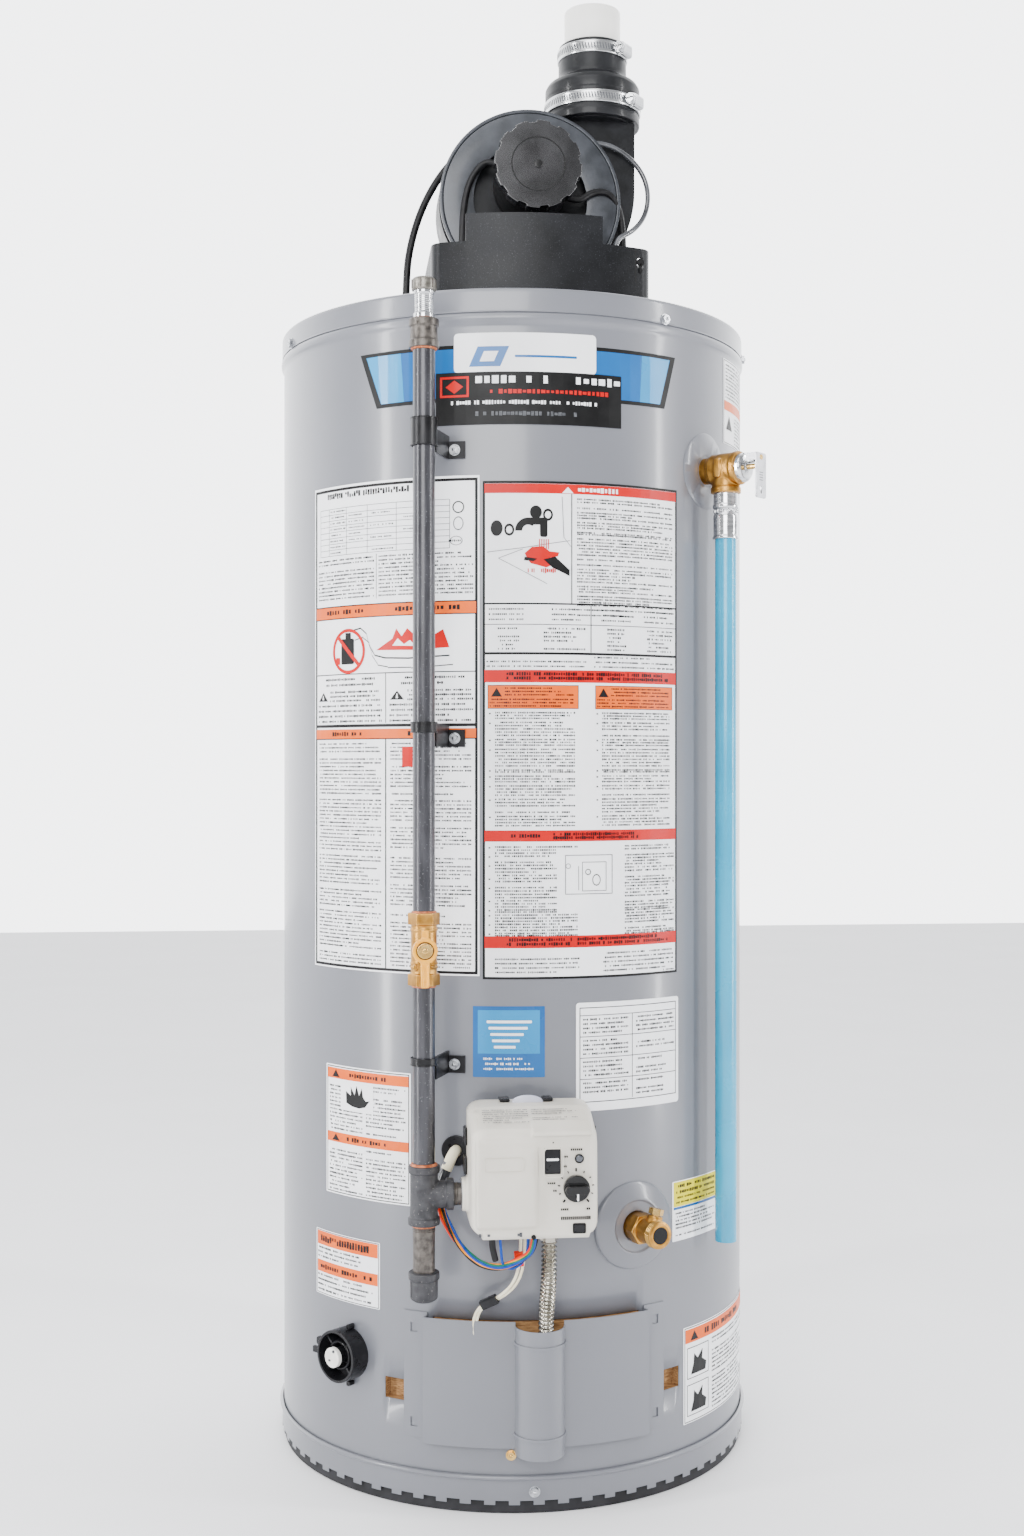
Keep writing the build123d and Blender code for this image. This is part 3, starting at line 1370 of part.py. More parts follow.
with BuildPart() as vent_hood:
    with BuildSketch(Plane.XY.offset(lid_top)):
        hood_plan()
    extrude(amount=hood_screen)
    fillet(vent_hood.edges().filter_by(Axis.Z), hood_corner)
    with BuildSketch(Plane.XY.offset(deck_top)) as well:
        hood_plan(hood_wall)
        fillet(well.vertices(), hood_corner - hood_wall)
    extrude(amount=hood_screen, mode=Mode.SUBTRACT)
    with BuildSketch(Plane.XY.offset(lid_top)) as cellar:
        hood_plan(hood_wall)
        fillet(cellar.vertices(), hood_corner - hood_wall)
    extrude(amount=hood_deck - hood_wall, mode=Mode.SUBTRACT)
    # Low side walls beside the raised front screen, and none at the back.
    for low, high in ((hood_left - 1, screen_left), (screen_right, hood_right + 1)):
        with Locations(((low + high) / 2, 0, hood_top + hood_screen / 2)):
            Box(high - low, 2 * hood_front + 40, hood_screen, mode=Mode.SUBTRACT)
    with Locations((hood_centre, hood_back - hood_open_back + 60, deck_top + hood_screen / 2)):
        Box(2 * hood_front, 2 * (60 + hood_open_back), hood_screen, mode=Mode.SUBTRACT)
    with BuildSketch(Plane.XY.offset(deck_top)):
        with Locations((blower_x, -scroll_back + duct_depth / 2 + 0.3)):
            Rectangle(2 * duct_half, duct_depth)
            Rectangle(2 * duct_half - 2 * hood_wall, duct_depth - 2 * hood_wall, mode=Mode.SUBTRACT)
    extrude(amount=duct_top - hood_deck)
    with BuildSketch(Plane.XY.offset(lid_top + duct_top - hood_wall)):
        with Locations((blower_x, -scroll_back + duct_depth / 2 + 0.3)):
            Rectangle(2 * duct_half, duct_depth)
    extrude(amount=hood_wall)
    with BuildSketch(Plane.XY.offset(lid_top)):
        with Locations((blower_x, -scroll_back + duct_depth / 2 + 0.3)):
            Rectangle(2 * duct_half - 2 * hood_wall, duct_depth - 2 * hood_wall)
    extrude(amount=hood_deck + 10, mode=Mode.SUBTRACT)
    with BuildSketch(Plane.XZ.offset(scroll_back - 20)):
        with Locations((blower_x, blower_z)):
            Circle(inlet_eye)
    extrude(amount=30, mode=Mode.SUBTRACT)
    with BuildSketch(Plane.XZ.offset(hood_front - 60)):
        with Locations((hood_right - 11, lid_top + 48)):
            SlotOverall(12, 7, rotation=90)
    extrude(amount=80, mode=Mode.SUBTRACT)
save(vent_hood, "vent_hood")

# ================= Blower =================
scroll_z = blower_z - scroll_drop
tongue_x = outlet_right - outlet_width
scroll_x = blower_x - 1
duct_rim = lid_top + collar_low


def scroll_outline(inset=0.0, top=0.0):
    """Front view of the scroll and its outlet, set in by a wall."""
    r = scroll_radius - inset
    right = outlet_right - inset
    left = tongue_x + inset
    wide = right - scroll_x
    knee = scroll_z - r + wide
    tongue_z = scroll_z + sqrt(r * r - (left - scroll_x) ** 2)
    high = max(duct_rim + top, tongue_z + 1)
    with BuildLine() as outline:
        Line((right, high), (right, knee))
        ThreePointArc((right, knee), (scroll_x + wide * cos(pi / 4), knee - wide * sin(pi / 4)),
                      (scroll_x, scroll_z - r))
        turn = acos((left - scroll_x) / r)
        middle = (turn + 3 * pi / 2) / 2
        ThreePointArc((scroll_x, scroll_z - r), (scroll_x + r * cos(middle), scroll_z + r * sin(middle)),
                      (left, tongue_z))
        Polyline((left, tongue_z), (left, high), (right, high))
    make_face(outline.edges())


scroll_depth = scroll_front - scroll_back
with BuildPart() as blower_housing:
    with BuildSketch(Plane.XZ.offset(scroll_back)):
        scroll_outline()
    extrude(amount=scroll_depth)
    with BuildSketch(Plane.XZ.offset(scroll_back + scroll_wall)):
        scroll_outline(scroll_wall, 2)
    extrude(amount=scroll_depth - 2 * scroll_wall, mode=Mode.SUBTRACT)
    with BuildSketch(Plane.XZ.offset(scroll_back - 1)):
        with Locations((blower_x, blower_z)):
            Circle(inlet_eye)
    extrude(amount=scroll_wall + 2, mode=Mode.SUBTRACT)
    with BuildSketch(Plane.XZ.offset(scroll_front - scroll_wall - 1)):
        with Locations((blower_x, blower_z)):
            Circle(shaft_radius + 3)
    extrude(amount=scroll_wall + 2, mode=Mode.SUBTRACT)
    with BuildSketch(Plane.XY.offset(duct_rim)):
        with Locations((outlet_x, outlet_y)):
            Circle(collar_radius)
            Rectangle(outlet_width - 2 * scroll_wall, scroll_depth - 2 * scroll_wall, mode=Mode.SUBTRACT)
    extrude(amount=collar_wall)
    with BuildSketch(Plane.XY.offset(duct_rim + collar_wall)):
        with Locations((outlet_x, outlet_y)):
            Circle(collar_radius)
            Circle(collar_radius - collar_wall, mode=Mode.SUBTRACT)
    extrude(amount=collar_high - collar_low - collar_wall)
save(blower_housing, "blower_housing")

motor_back = scroll_front + 0.2
can_face = motor_front - motor_wall


def blower_ring(low, high, outer, inner=0.0, how=Mode.ADD):
    """Round piece on the motor's axis between two distances in front of the tank's axis."""
    with BuildSketch(Plane.XZ.offset(low)) as section:
        with Locations((blower_x, blower_z)):
            Circle(outer)
            if inner:
                Circle(inner, mode=Mode.SUBTRACT)
    extrude(section.sketch, amount=high - low, mode=how)


with BuildPart() as motor_can:
    blower_ring(motor_back, motor_front, motor_radius, motor_radius - motor_wall)
    blower_ring(motor_back, motor_back + motor_wall, motor_radius - 1, shaft_radius + shaft_fit)
    blower_ring(motor_front - motor_wall, motor_front, motor_radius - 1, shaft_radius + shaft_fit)
save(motor_can, "motor_can")

with BuildPart() as motor_cap:
    blower_ring(cap_front - cap_depth, cap_front, cap_radius, motor_radius + 0.1)
    blower_ring(cap_front - 3, cap_front, cap_radius - 1)
    notch_width = 9.0
    for n in range(cap_notches):
        turn = radians(360 / cap_notches * n + 8)
        spot = (blower_x + cap_radius * cos(turn), -cap_front + cap_depth / 2,
                blower_z + cap_radius * sin(turn))
        with BuildSketch(Plane(origin=spot, x_dir=(0, 1, 0), z_dir=(cos(turn), 0, sin(turn)))):
            Rectangle(cap_depth + 2, notch_width)
        extrude(amount=2.2, both=True, mode=Mode.SUBTRACT)
save(motor_cap, "motor_cap")

wheel_back = scroll_back + scroll_wall + wheel_gap
wheel_front = scroll_front - scroll_wall - wheel_gap
shaft_tip = motor_front + 0.2
with BuildPart() as motor_rotor:
    blower_ring(wheel_back + 6, shaft_tip, shaft_radius)
    blower_ring(motor_back + motor_wall + 10, motor_front - motor_wall - 12, rotor_radius)
save(motor_rotor, "motor_rotor")

with BuildPart() as impeller:
    blower_ring(wheel_front - 2.5, wheel_front, wheel_radius, shaft_radius)
    blower_ring(wheel_back + 6, wheel_front, shaft_radius + 6, shaft_radius)
    blower_ring(wheel_back, wheel_back + 2.5, wheel_radius, 0.7 * wheel_radius)
    blade_long = 0.36 * wheel_radius
    with BuildSketch(Plane.XZ.offset(wheel_back + 1)):
        with Locations((blower_x, blower_z)):
            with PolarLocations(wheel_radius - blade_long / 2 - 1, wheel_blades):
                Rectangle(blade_long, 1.8, rotation=35)
    extrude(amount=wheel_front - wheel_back - 2)
save(impeller, "impeller")

# ================= Vent connection =================
outlet_spot = (outlet_x, outlet_y)


def vent_ring(low, high, outer, inner):
    """Ring on the vent's axis between two heights above the lid."""
    with BuildSketch(Plane.XY.offset(lid_top + low)) as section:
        with Locations(outlet_spot):
            Circle(outer)
            Circle(inner, mode=Mode.SUBTRACT)
    extrude(section.sketch, amount=high - low)


coupling_outer = collar_radius + coupling_wall
neck_outer = stub_radius + coupling_wall
with BuildPart() as vent_coupling:
    vent_ring(coupling_low, coupling_step, coupling_outer, collar_radius)
    with BuildSketch(Plane.XY.offset(lid_top + coupling_step)):
        with Locations(outlet_spot):
            Circle(coupling_outer)
    with BuildSketch(Plane.XY.offset(lid_top + coupling_neck)):
        with Locations(outlet_spot):
            Circle(neck_outer)
    loft()
    vent_ring(coupling_neck, coupling_high, neck_outer, stub_radius - vent_seat_step)
    with BuildSketch(Plane.XY.offset(lid_top + coupling_step - 0.5)):
        with Locations(outlet_spot):
            Circle(stub_radius - stub_wall)
    extrude(amount=coupling_neck - coupling_step + 2, mode=Mode.SUBTRACT)
save(vent_coupling, "vent_coupling")

clamp_rows = (
    (coupling_low + 19, coupling_outer),
    (coupling_high - 10, neck_outer),
)
with BuildPart() as coupling_clamps:
    for height, inner in clamp_rows:
        vent_ring(height - band_width / 2, height + band_width / 2, inner + band_wall, inner)
        worm_turn = -40.0
        worm_x = outlet_x + (inner + 4) * cos(radians(worm_turn))
        worm_y = outlet_y + (inner + 4) * sin(radians(worm_turn))
        worm_plane = Plane(origin=(worm_x, worm_y, lid_top + height),
                           x_dir=(0, 0, 1), z_dir=(-sin(radians(worm_turn)), cos(radians(worm_turn)), 0))
        with BuildSketch(worm_plane):
            Rectangle(band_width + 1, 8)
        extrude(amount=8, both=True)
        with BuildSketch(worm_plane.offset(8)):
            RegularPolygon(4, 6)
        extrude(amount=5)
save(coupling_clamps, "coupling_clamps")

with BuildPart() as vent_stub:
    vent_ring(stub_bottom, coupling_high + seat_gap, stub_radius - vent_seat_step, stub_radius - stub_wall)
    vent_ring(coupling_high + seat_gap, stub_top, stub_radius, stub_radius - stub_wall)
save(vent_stub, "vent_stub")

with BuildPart() as pressure_switch:
    with BuildSketch(Plane.XY.offset(deck_top)):
        with Locations((switch_x, switch_y)):
            Circle(switch_radius)
    extrude(amount=switch_height)
    with BuildSketch(Plane.XY.offset(deck_top)):
        with Locations((switch_x, switch_y)):
            Circle(sense_radius)
    extrude(amount=switch_height + 7)
save(pressure_switch, "pressure_switch")

port_top = deck_top + switch_height + 7
sense_points = [
    (60.0, -scroll_front - 0.2, blower_z + 42),
    (60.0, -scroll_front - 10, blower_z + 42),
    (76.0, -scroll_front - 10, blower_z + 49),
    (97.0, -scroll_front - 8, blower_z + 45),
    (117.0, -scroll_front - 6, blower_z + 32),
    (130.0, -scroll_front - 6, blower_z + 14),
    (134.0, -scroll_front - 8, blower_z - 8),
    (128.0, -scroll_front - 16, blower_z - 32),
    (112.0, -scroll_front - 30, blower_z - 52),
    (switch_x, switch_y, blower_z - 62),
    (switch_x, switch_y, port_top),
]
sense_run = tube("sensing_tube", sense_points, sense_radius)
with BuildPart() as sensing_tube:
    add(sense_run)
save(sensing_tube, "sensing_tube")

supply_points = [
    (-4.0, -scroll_back + 0.2, blower_z + 64),
    (-4.0, -scroll_back + 18, blower_z + 64),
    (-14.0, -scroll_back + 26, blower_z + 79),
    (-34.0, -scroll_back + 28, blower_z + 82),
    (-58.0, -scroll_back + 30, blower_z + 66),
    (-82.0, -scroll_back + 29, blower_z + 40),
    (-102.0, -scroll_back + 27, blower_z + 4),
    (-115.0, -scroll_back + 26, blower_z - 36),
    (supply_x, supply_y, lid_top + 66),
    (supply_x, supply_y, lid_top - 2),
]


def can_exit(turn, reach):
    """Point beside the motor can, on a line square to it, at a height angle."""
    r = motor_radius + reach
    return blower_x + r * cos(radians(turn)), -134.0, blower_z + r * sin(radians(turn))


left_lead = [
    can_exit(155, 0.2),
    can_exit(155, 14),
    (-57.0, -133.0, blower_z + 4),
    (-64.0, -132.0, blower_z - 20),
    (-67.0, -134.0, blower_z - 56),
    (-67.0, -134.0, deck_top),
]
right_lead = [
    can_exit(-22, 0.2),
    can_exit(-22, 14),
    (70.0, -133.0, blower_z - 8),
    (88.0, -130.0, blower_z - 6),
    (101.0, -126.0, blower_z - 20),
    (106.0, -121.0, blower_z - 48),
    (107.0, -118.0, blower_z - 82),
    (107.0, -118.0, deck_top),
]
supply_run = tube("supply_cable", supply_points, supply_radius)
left_run = tube("left_motor_lead", left_lead, motor_lead_radius)
right_run = tube("right_motor_lead", right_lead, motor_lead_radius)
with BuildPart() as blower_wiring:
    add(supply_run)
    add(left_run)
    add(right_run)
save(blower_wiring, "blower_wiring")
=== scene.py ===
"""Tank water heater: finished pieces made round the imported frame. Metres, Z up, the front faces -Y."""
import math

import bmesh
import bpy
from mathutils import Matrix, Vector


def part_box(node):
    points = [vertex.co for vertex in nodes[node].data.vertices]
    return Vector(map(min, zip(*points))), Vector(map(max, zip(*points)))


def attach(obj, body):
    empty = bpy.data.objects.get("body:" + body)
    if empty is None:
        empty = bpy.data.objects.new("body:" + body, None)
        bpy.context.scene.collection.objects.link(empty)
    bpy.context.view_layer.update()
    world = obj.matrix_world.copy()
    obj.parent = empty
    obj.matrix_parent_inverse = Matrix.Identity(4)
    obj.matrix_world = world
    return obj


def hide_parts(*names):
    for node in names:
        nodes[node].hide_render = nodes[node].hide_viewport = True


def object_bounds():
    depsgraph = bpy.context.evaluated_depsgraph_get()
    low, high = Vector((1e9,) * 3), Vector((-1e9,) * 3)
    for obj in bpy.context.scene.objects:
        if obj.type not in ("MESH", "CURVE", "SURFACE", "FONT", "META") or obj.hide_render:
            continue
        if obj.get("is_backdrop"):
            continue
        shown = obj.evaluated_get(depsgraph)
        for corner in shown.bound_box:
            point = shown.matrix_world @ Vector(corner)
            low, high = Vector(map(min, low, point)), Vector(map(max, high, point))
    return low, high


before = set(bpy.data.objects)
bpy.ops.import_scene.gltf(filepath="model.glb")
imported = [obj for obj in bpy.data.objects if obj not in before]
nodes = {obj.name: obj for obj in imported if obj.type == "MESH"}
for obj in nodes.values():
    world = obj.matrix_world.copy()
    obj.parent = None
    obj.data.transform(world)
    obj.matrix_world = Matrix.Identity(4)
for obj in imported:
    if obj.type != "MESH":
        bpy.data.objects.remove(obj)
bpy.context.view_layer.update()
MM = 0.001


def span(node):
    """Lowest and highest corner of a node, in millimetres."""
    low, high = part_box(node)
    return low / MM, high / MM


def middle(node):
    low, high = span(node)
    return (low + high) / 2


# ---------------- camera and light -----------------------
camera = bpy.data.objects.new("camera", bpy.data.cameras.new("camera"))
bpy.context.scene.collection.objects.link(camera)
camera.location = (-0.2103, -2.001, 0.737)
camera.rotation_euler = (math.radians(90), 0, math.radians(-6))
camera.data.lens = 41.93
camera.data.sensor_width = 36
camera.data.shift_y = -0.0028
camera.data.clip_end = 50
bpy.context.scene.camera = camera


def lamp(name, azimuth, distance, height, width, tall, watts, tint=(1, 1, 1)):
    """Soft panel that faces the object; azimuth runs from the front towards +X."""
    light = bpy.data.lights.new(name, "AREA")
    light.shape = "RECTANGLE"
    light.size, light.size_y = width, tall
    light.energy = watts
    light.color = tint
    holder = bpy.data.objects.new(name, light)
    bpy.context.scene.collection.objects.link(holder)
    turn = math.radians(azimuth)
    holder.location = (distance * math.sin(turn), -distance * math.cos(turn), height)
    aim = Vector((0, 0, 0.75)) - holder.location
    holder.rotation_euler = aim.to_track_quat("-Z", "Y").to_euler()


lamp("strip_left", -66, 2.3, 1.05, 0.18, 2.4, 62)
lamp("strip_right", 66, 2.3, 1.05, 0.15, 2.4, 52)
lamp("panel_front", -14, 3.4, 1.9, 1.8, 1.6, 105)
lamp("panel_top", -20, 1.6, 3.0, 1.8, 1.4, 34)

world = bpy.data.worlds.new("studio")
bpy.context.scene.world = world
world.use_nodes = True
sky = world.node_tree
looking = sky.nodes.new("ShaderNodeTexCoord")
parted = sky.nodes.new("ShaderNodeSeparateXYZ")
backdrop = sky.nodes.new("ShaderNodeMapRange")
backdrop.interpolation_type = "SMOOTHSTEP"
backdrop.inputs["From Min"].default_value, backdrop.inputs["From Max"].default_value = -0.2, 0.75
backdrop.inputs["To Min"].default_value, backdrop.inputs["To Max"].default_value = 0.7, 5.0
sky.links.new(looking.outputs["Generated"], parted.inputs[0])
sky.links.new(parted.outputs["Y"], backdrop.inputs["Value"])
sky.links.new(backdrop.outputs["Result"], sky.nodes["Background"].inputs["Strength"])
sky.nodes["Background"].inputs["Color"].default_value = (0.97, 0.98, 1.0, 1)


# ---------------- materials ----------------
def tone(red, green, blue):
    """A colour given in the usual 0 to 255 steps, as linear values."""
    made = []
    for step in (red, green, blue):
        share = step / 255
        made.append(share / 12.92 if share <= 0.04045 else ((share + 0.055) / 1.055) ** 2.4)
    return (*made, 1.0)


def surface(name, dark, light, rough=(0.35, 0.45), metal=0.0, grain=60.0, stretch=(1, 1, 1),
        spread=(0.35, 0.65), relief=0.1, relief_grain=900.0, depth=0.0002, coat=0.0, speck=None, worn=None):
    """Colour that drifts between two tones, roughness that drifts with it, and a fine relief.

    speck is (colour, grain, low, high) for small dots; worn is (colour, low, high) for rubbed edges.
    """
    made = bpy.data.materials.new(name)
    made.use_nodes = True
    tree = made.node_tree
    join = tree.links.new
    shader = tree.nodes["Principled BSDF"]
    shader.inputs["Metallic"].default_value = metal
    shader.inputs["Coat Weight"].default_value = coat
    shader.inputs["Coat Roughness"].default_value = 0.12
    shader.inputs["Specular IOR Level"].default_value = 0.5 if metal > 0.3 or coat > 0.3 else 0.22
    place = tree.nodes.new("ShaderNodeTexCoord")

    def noise(scale, stretched, detail):
        fit = tree.nodes.new("ShaderNodeMapping")
        fit.inputs["Scale"].default_value = stretched
        join(place.outputs["Object"], fit.inputs["Vector"])
        cloud = tree.nodes.new("ShaderNodeTexNoise")
        cloud.inputs["Scale"].default_value = scale
        cloud.inputs["Detail"].default_value = detail
        join(fit.outputs["Vector"], cloud.inputs["Vector"])
        return cloud.outputs["Fac"]

    def ramp(source, low, high):
        """A ramp from low to high over the source, dark to light unless it is coloured afterwards."""
        shade = tree.nodes.new("ShaderNodeValToRGB")
        shade.color_ramp.elements[0].position, shade.color_ramp.elements[1].position = low, high
        join(source, shade.inputs["Fac"])
        return shade

    def mixed(under, mask, over):
        blend = tree.nodes.new("ShaderNodeMix")
        blend.data_type = "RGBA"
        blend.inputs["B"].default_value = tone(*over)
        join(mask.outputs["Color"], blend.inputs["Factor"])
        join(under, blend.inputs["A"])
        return blend.outputs["Result"]

    drift = noise(grain, stretch, 5)
    body = ramp(drift, *spread)
    for element, shade in zip(body.color_ramp.elements, (dark, light)):
        element.color = tone(*shade)
    colour = body.outputs["Color"]
    if speck:
        dots, scale, low, high = speck
        colour = mixed(colour, ramp(noise(scale, (1, 1, 1), 2), low, high), dots)
    if worn:
        rubbed, low, high = worn
        edge = tree.nodes.new("ShaderNodeNewGeometry")
        colour = mixed(colour, ramp(edge.outputs["Pointiness"], low, high), rubbed)
    join(colour, shader.inputs["Base Color"])
    dull = tree.nodes.new("ShaderNodeMapRange")
    dull.inputs["From Min"].default_value, dull.inputs["From Max"].default_value = 0.3, 0.7
    dull.inputs["To Min"].default_value, dull.inputs["To Max"].default_value = rough
    join(drift, dull.inputs["Value"])
    join(dull.outputs["Result"], shader.inputs["Roughness"])
    bump = tree.nodes.new("ShaderNodeBump")
    bump.inputs["Strength"].default_value = relief
    bump.inputs["Distance"].default_value = depth
    join(noise(relief_grain, (1, 1, 1), 3), bump.inputs["Height"])
    join(bump.outputs["Normal"], shader.inputs["Normal"])
    return made


jacket_paint = surface("jacket_paint", (101, 103, 109), (108, 110, 117), (0.28, 0.36), grain=3, relief=0.08,
    relief_grain=260, depth=0.0003, coat=0.35)
pan_black = surface("pan_black", (28, 28, 30), (44, 44, 47), (0.5, 0.7), grain=40)
zinc = surface("zinc", (150, 152, 156), (196, 198, 202), (0.22, 0.4), 1, grain=240)
stainless = surface("stainless", (176, 178, 180), (214, 215, 216), (0.16, 0.3), 1, grain=120,
    stretch=(1, 1, 30), relief=0.08)
steel_plain = surface("steel_plain", (110, 112, 116), (150, 152, 155), (0.35, 0.5), 1, grain=60)
enamel = surface("enamel", (38, 48, 66), (48, 58, 76), (0.3, 0.45), grain=20)
galvanised = surface("galvanised", (150, 153, 158), (196, 199, 204), (0.3, 0.5), 0.9, grain=130,
    spread=(0.42, 0.58), relief=0.15, relief_grain=300)
pad_fibre = surface("pad_fibre", (112, 80, 48), (164, 124, 82), (0.85, 0.95), grain=300, stretch=(0.3, 1, 3),
    relief=0.8, relief_grain=700, depth=0.0008)
dip_white = surface("dip_white", (206, 208, 204), (222, 224, 220), (0.35, 0.45), grain=30)
anode_grey = surface("anode_grey", (150, 150, 154), (176, 176, 180), (0.4, 0.55), 0.9, grain=70)
ceramic = surface("ceramic", (226, 222, 212), (240, 238, 230), (0.3, 0.4), grain=50)
pipe_steel = surface("pipe_steel", (46, 46, 50), (62, 62, 67), (0.28, 0.42), 0.55, grain=170,
    stretch=(1, 1, 0.12), relief=0.2, relief_grain=420, coat=0.25, speck=((104, 105, 110), 520, 0.66, 0.74))
iron_fitting = surface("iron_fitting", (46, 46, 49), (66, 66, 69), (0.42, 0.62), 0.5, grain=120, relief=0.5,
    relief_grain=340, depth=0.0006, speck=((112, 110, 108), 460, 0.66, 0.74))
iron_worn = surface("iron_worn", (66, 62, 59), (98, 93, 88), (0.3, 0.5), 0.8, grain=180, relief=0.4,
    relief_grain=360, depth=0.0004)
nut_steel = surface("nut_steel", (92, 88, 82), (130, 127, 120), (0.3, 0.45), 0.85, grain=160, relief=0.25)
bright_steel = surface("bright_steel", (186, 188, 190), (226, 227, 228), (0.08, 0.2), 1, grain=70,
    stretch=(1, 1, 6), relief=0.06)
dope = surface("dope", (136, 70, 42), (196, 118, 78), (0.35, 0.6), 0.2, grain=240, relief=0.7,
    relief_grain=600, depth=0.0005)
brass = surface("brass", (150, 104, 40), (188, 140, 68), (0.28, 0.42), 0.95, grain=90, relief=0.3,
    relief_grain=380, depth=0.0003, worn=((232, 200, 140), 0.53, 0.6))
brass_bright = surface("brass_bright", (188, 146, 74), (222, 186, 118), (0.16, 0.3), 1, grain=60,
    stretch=(1, 1, 1), relief=0.08)
ball_chrome = surface("ball_chrome", (196, 197, 200), (214, 215, 218), (0.06, 0.12), 1, grain=30)
lever_yellow = surface("lever_yellow", (226, 148, 0), (238, 166, 0), (0.22, 0.34), grain=90, coat=0.4,
    relief=0.15, relief_grain=300)
plastic_blue = surface("plastic_blue", (0, 140, 178), (0, 152, 190), (0.22, 0.32), grain=14, coat=0.4,
    relief=0.04)
cover_white = surface("cover_white", (196, 191, 180), (204, 199, 189), (0.36, 0.46), grain=20, relief=0.22,
    relief_grain=1500, depth=0.0001, coat=0.1)
cover_back = surface("cover_back", (136, 138, 142), (160, 162, 166), (0.35, 0.5), 0.8, grain=120, relief=0.3)
plastic_black = surface("plastic_black", (18, 18, 20), (28, 28, 31), (0.24, 0.36), grain=70, relief=0.12)
plastic_gloss = surface("plastic_gloss", (6, 6, 7), (12, 12, 13), (0.2, 0.3), grain=30, coat=0.2,
    relief=0.03)
flex_steel = surface("flex_steel", (140, 136, 126), (178, 174, 164), (0.14, 0.24), 1, grain=60, relief=0.05)
cable_black = surface("cable_black", (16, 16, 17), (26, 26, 28), (0.35, 0.5), grain=160, relief=0.15)
wire_red = surface("wire_red", (214, 34, 6), (228, 52, 14), (0.3, 0.42), grain=120)
wire_amber = surface("wire_amber", (226, 130, 4), (236, 150, 16), (0.3, 0.42), grain=120)
wire_green = surface("wire_green", (8, 92, 66), (18, 112, 80), (0.3, 0.42), grain=120)
wire_blue = surface("wire_blue", (6, 52, 140), (14, 70, 160), (0.3, 0.42), grain=120)
wire_cream = surface("wire_cream", (226, 216, 186), (236, 230, 206), (0.35, 0.5), grain=120)
plug_ivory = surface("plug_ivory", (222, 212, 180), (234, 226, 198), (0.32, 0.44), grain=50)
tube_clear = surface("tube_clear", (52, 53, 56), (84, 86, 90), (0.08, 0.2), grain=40, coat=0.5)
hood_charcoal = surface("hood_charcoal", (18, 19, 21), (26, 27, 30), (0.34, 0.46), 0.2, grain=30, relief=0.5,
    relief_grain=760, depth=0.0003, speck=((50, 51, 56), 900, 0.62, 0.72))
blower_face = surface("blower_face", (40, 43, 48), (54, 57, 63), (0.3, 0.42), 0.4, grain=60, relief=0.25,
    relief_grain=600, coat=0.2)
blower_dark = surface("blower_dark", (16, 17, 19), (26, 27, 30), (0.32, 0.45), 0.2, grain=60, relief=0.3,
    relief_grain=500)
motor_dark = surface("motor_dark", (14, 14, 16), (24, 24, 27), (0.28, 0.4), 0.5, grain=90, relief=0.2)
motor_gloss = surface("motor_gloss", (14, 14, 16), (24, 24, 27), (0.14, 0.24), 0.1, grain=40, coat=0.6,
    relief=0.06, relief_grain=500)
rubber_black = surface("rubber_black", (15, 16, 18), (24, 25, 28), (0.36, 0.5), grain=50, relief=0.15,
    relief_grain=500, coat=0.1)
pipe_white = surface("pipe_white", (226, 225, 220), (236, 235, 231), (0.3, 0.4), grain=16, coat=0.2,
    relief=0.06)
paper = surface("paper", (236, 237, 240), (243, 244, 246), (0.42, 0.52), grain=20, relief=0.05)
ink_and_shade = surface("ink_and_shade", (4, 4, 5), (10, 10, 11), (0.4, 0.5), grain=60)
ink_grey = surface("ink_grey", (60, 62, 66), (86, 88, 92), (0.35, 0.5), grain=300)
ink_orange = surface("ink_orange", (214, 84, 0), (222, 94, 0), (0.32, 0.45), grain=40)
ink_red = surface("ink_red", (178, 0, 0), (188, 0, 2), (0.32, 0.45), grain=40)
ink_blue = surface("ink_blue", (0, 78, 140), (0, 88, 152), (0.25, 0.35), grain=10, coat=0.3)
ink_sky = surface("ink_sky", (0, 122, 178), (0, 134, 190), (0.25, 0.35), grain=8, coat=0.3)
ink_yellow = surface("ink_yellow", (206, 194, 0), (216, 204, 0), (0.35, 0.45), grain=40)
sensor_white = surface("sensor_white", (214, 212, 206), (232, 231, 226), (0.4, 0.55), grain=90, relief=0.3)
lens_dark = surface("lens_dark", (40, 44, 52), (70, 74, 84), (0.05, 0.12), grain=80, coat=0.8)
floor_white = surface("floor_white", (232, 232, 234), (238, 238, 240), (0.6, 0.75), grain=2, relief=0.02)
lever_tin = surface("lever_tin", (196, 197, 202), (222, 223, 228), (0.3, 0.42), 0.4, grain=120, relief=0.2)
tab_frost = surface("tab_frost", (170, 172, 190), (196, 198, 212), (0.2, 0.3), grain=20, coat=0.3)


# ---------------- making pieces ----------------
def keep(mesh, name, finishes=(), body="root", replaces=()):
    """The mesh becomes a piece of the object that rides on a body."""
    piece = bpy.data.objects.new(name, mesh)
    bpy.context.scene.collection.objects.link(piece)
    for finish in finishes:
        mesh.materials.append(finish)
    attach(piece, body)
    if replaces:
        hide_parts(*replaces)
    return piece


def as_mesh(bm, name, sharp=38):
    bmesh.ops.recalc_face_normals(bm, faces=bm.faces[:])
    mesh = bpy.data.meshes.new(name)
    bm.to_mesh(mesh)
    bm.free()
    mesh.polygons.foreach_set("use_smooth", [True] * len(mesh.polygons))
    mesh.set_sharp_from_angle(angle=math.radians(sharp))
    return mesh


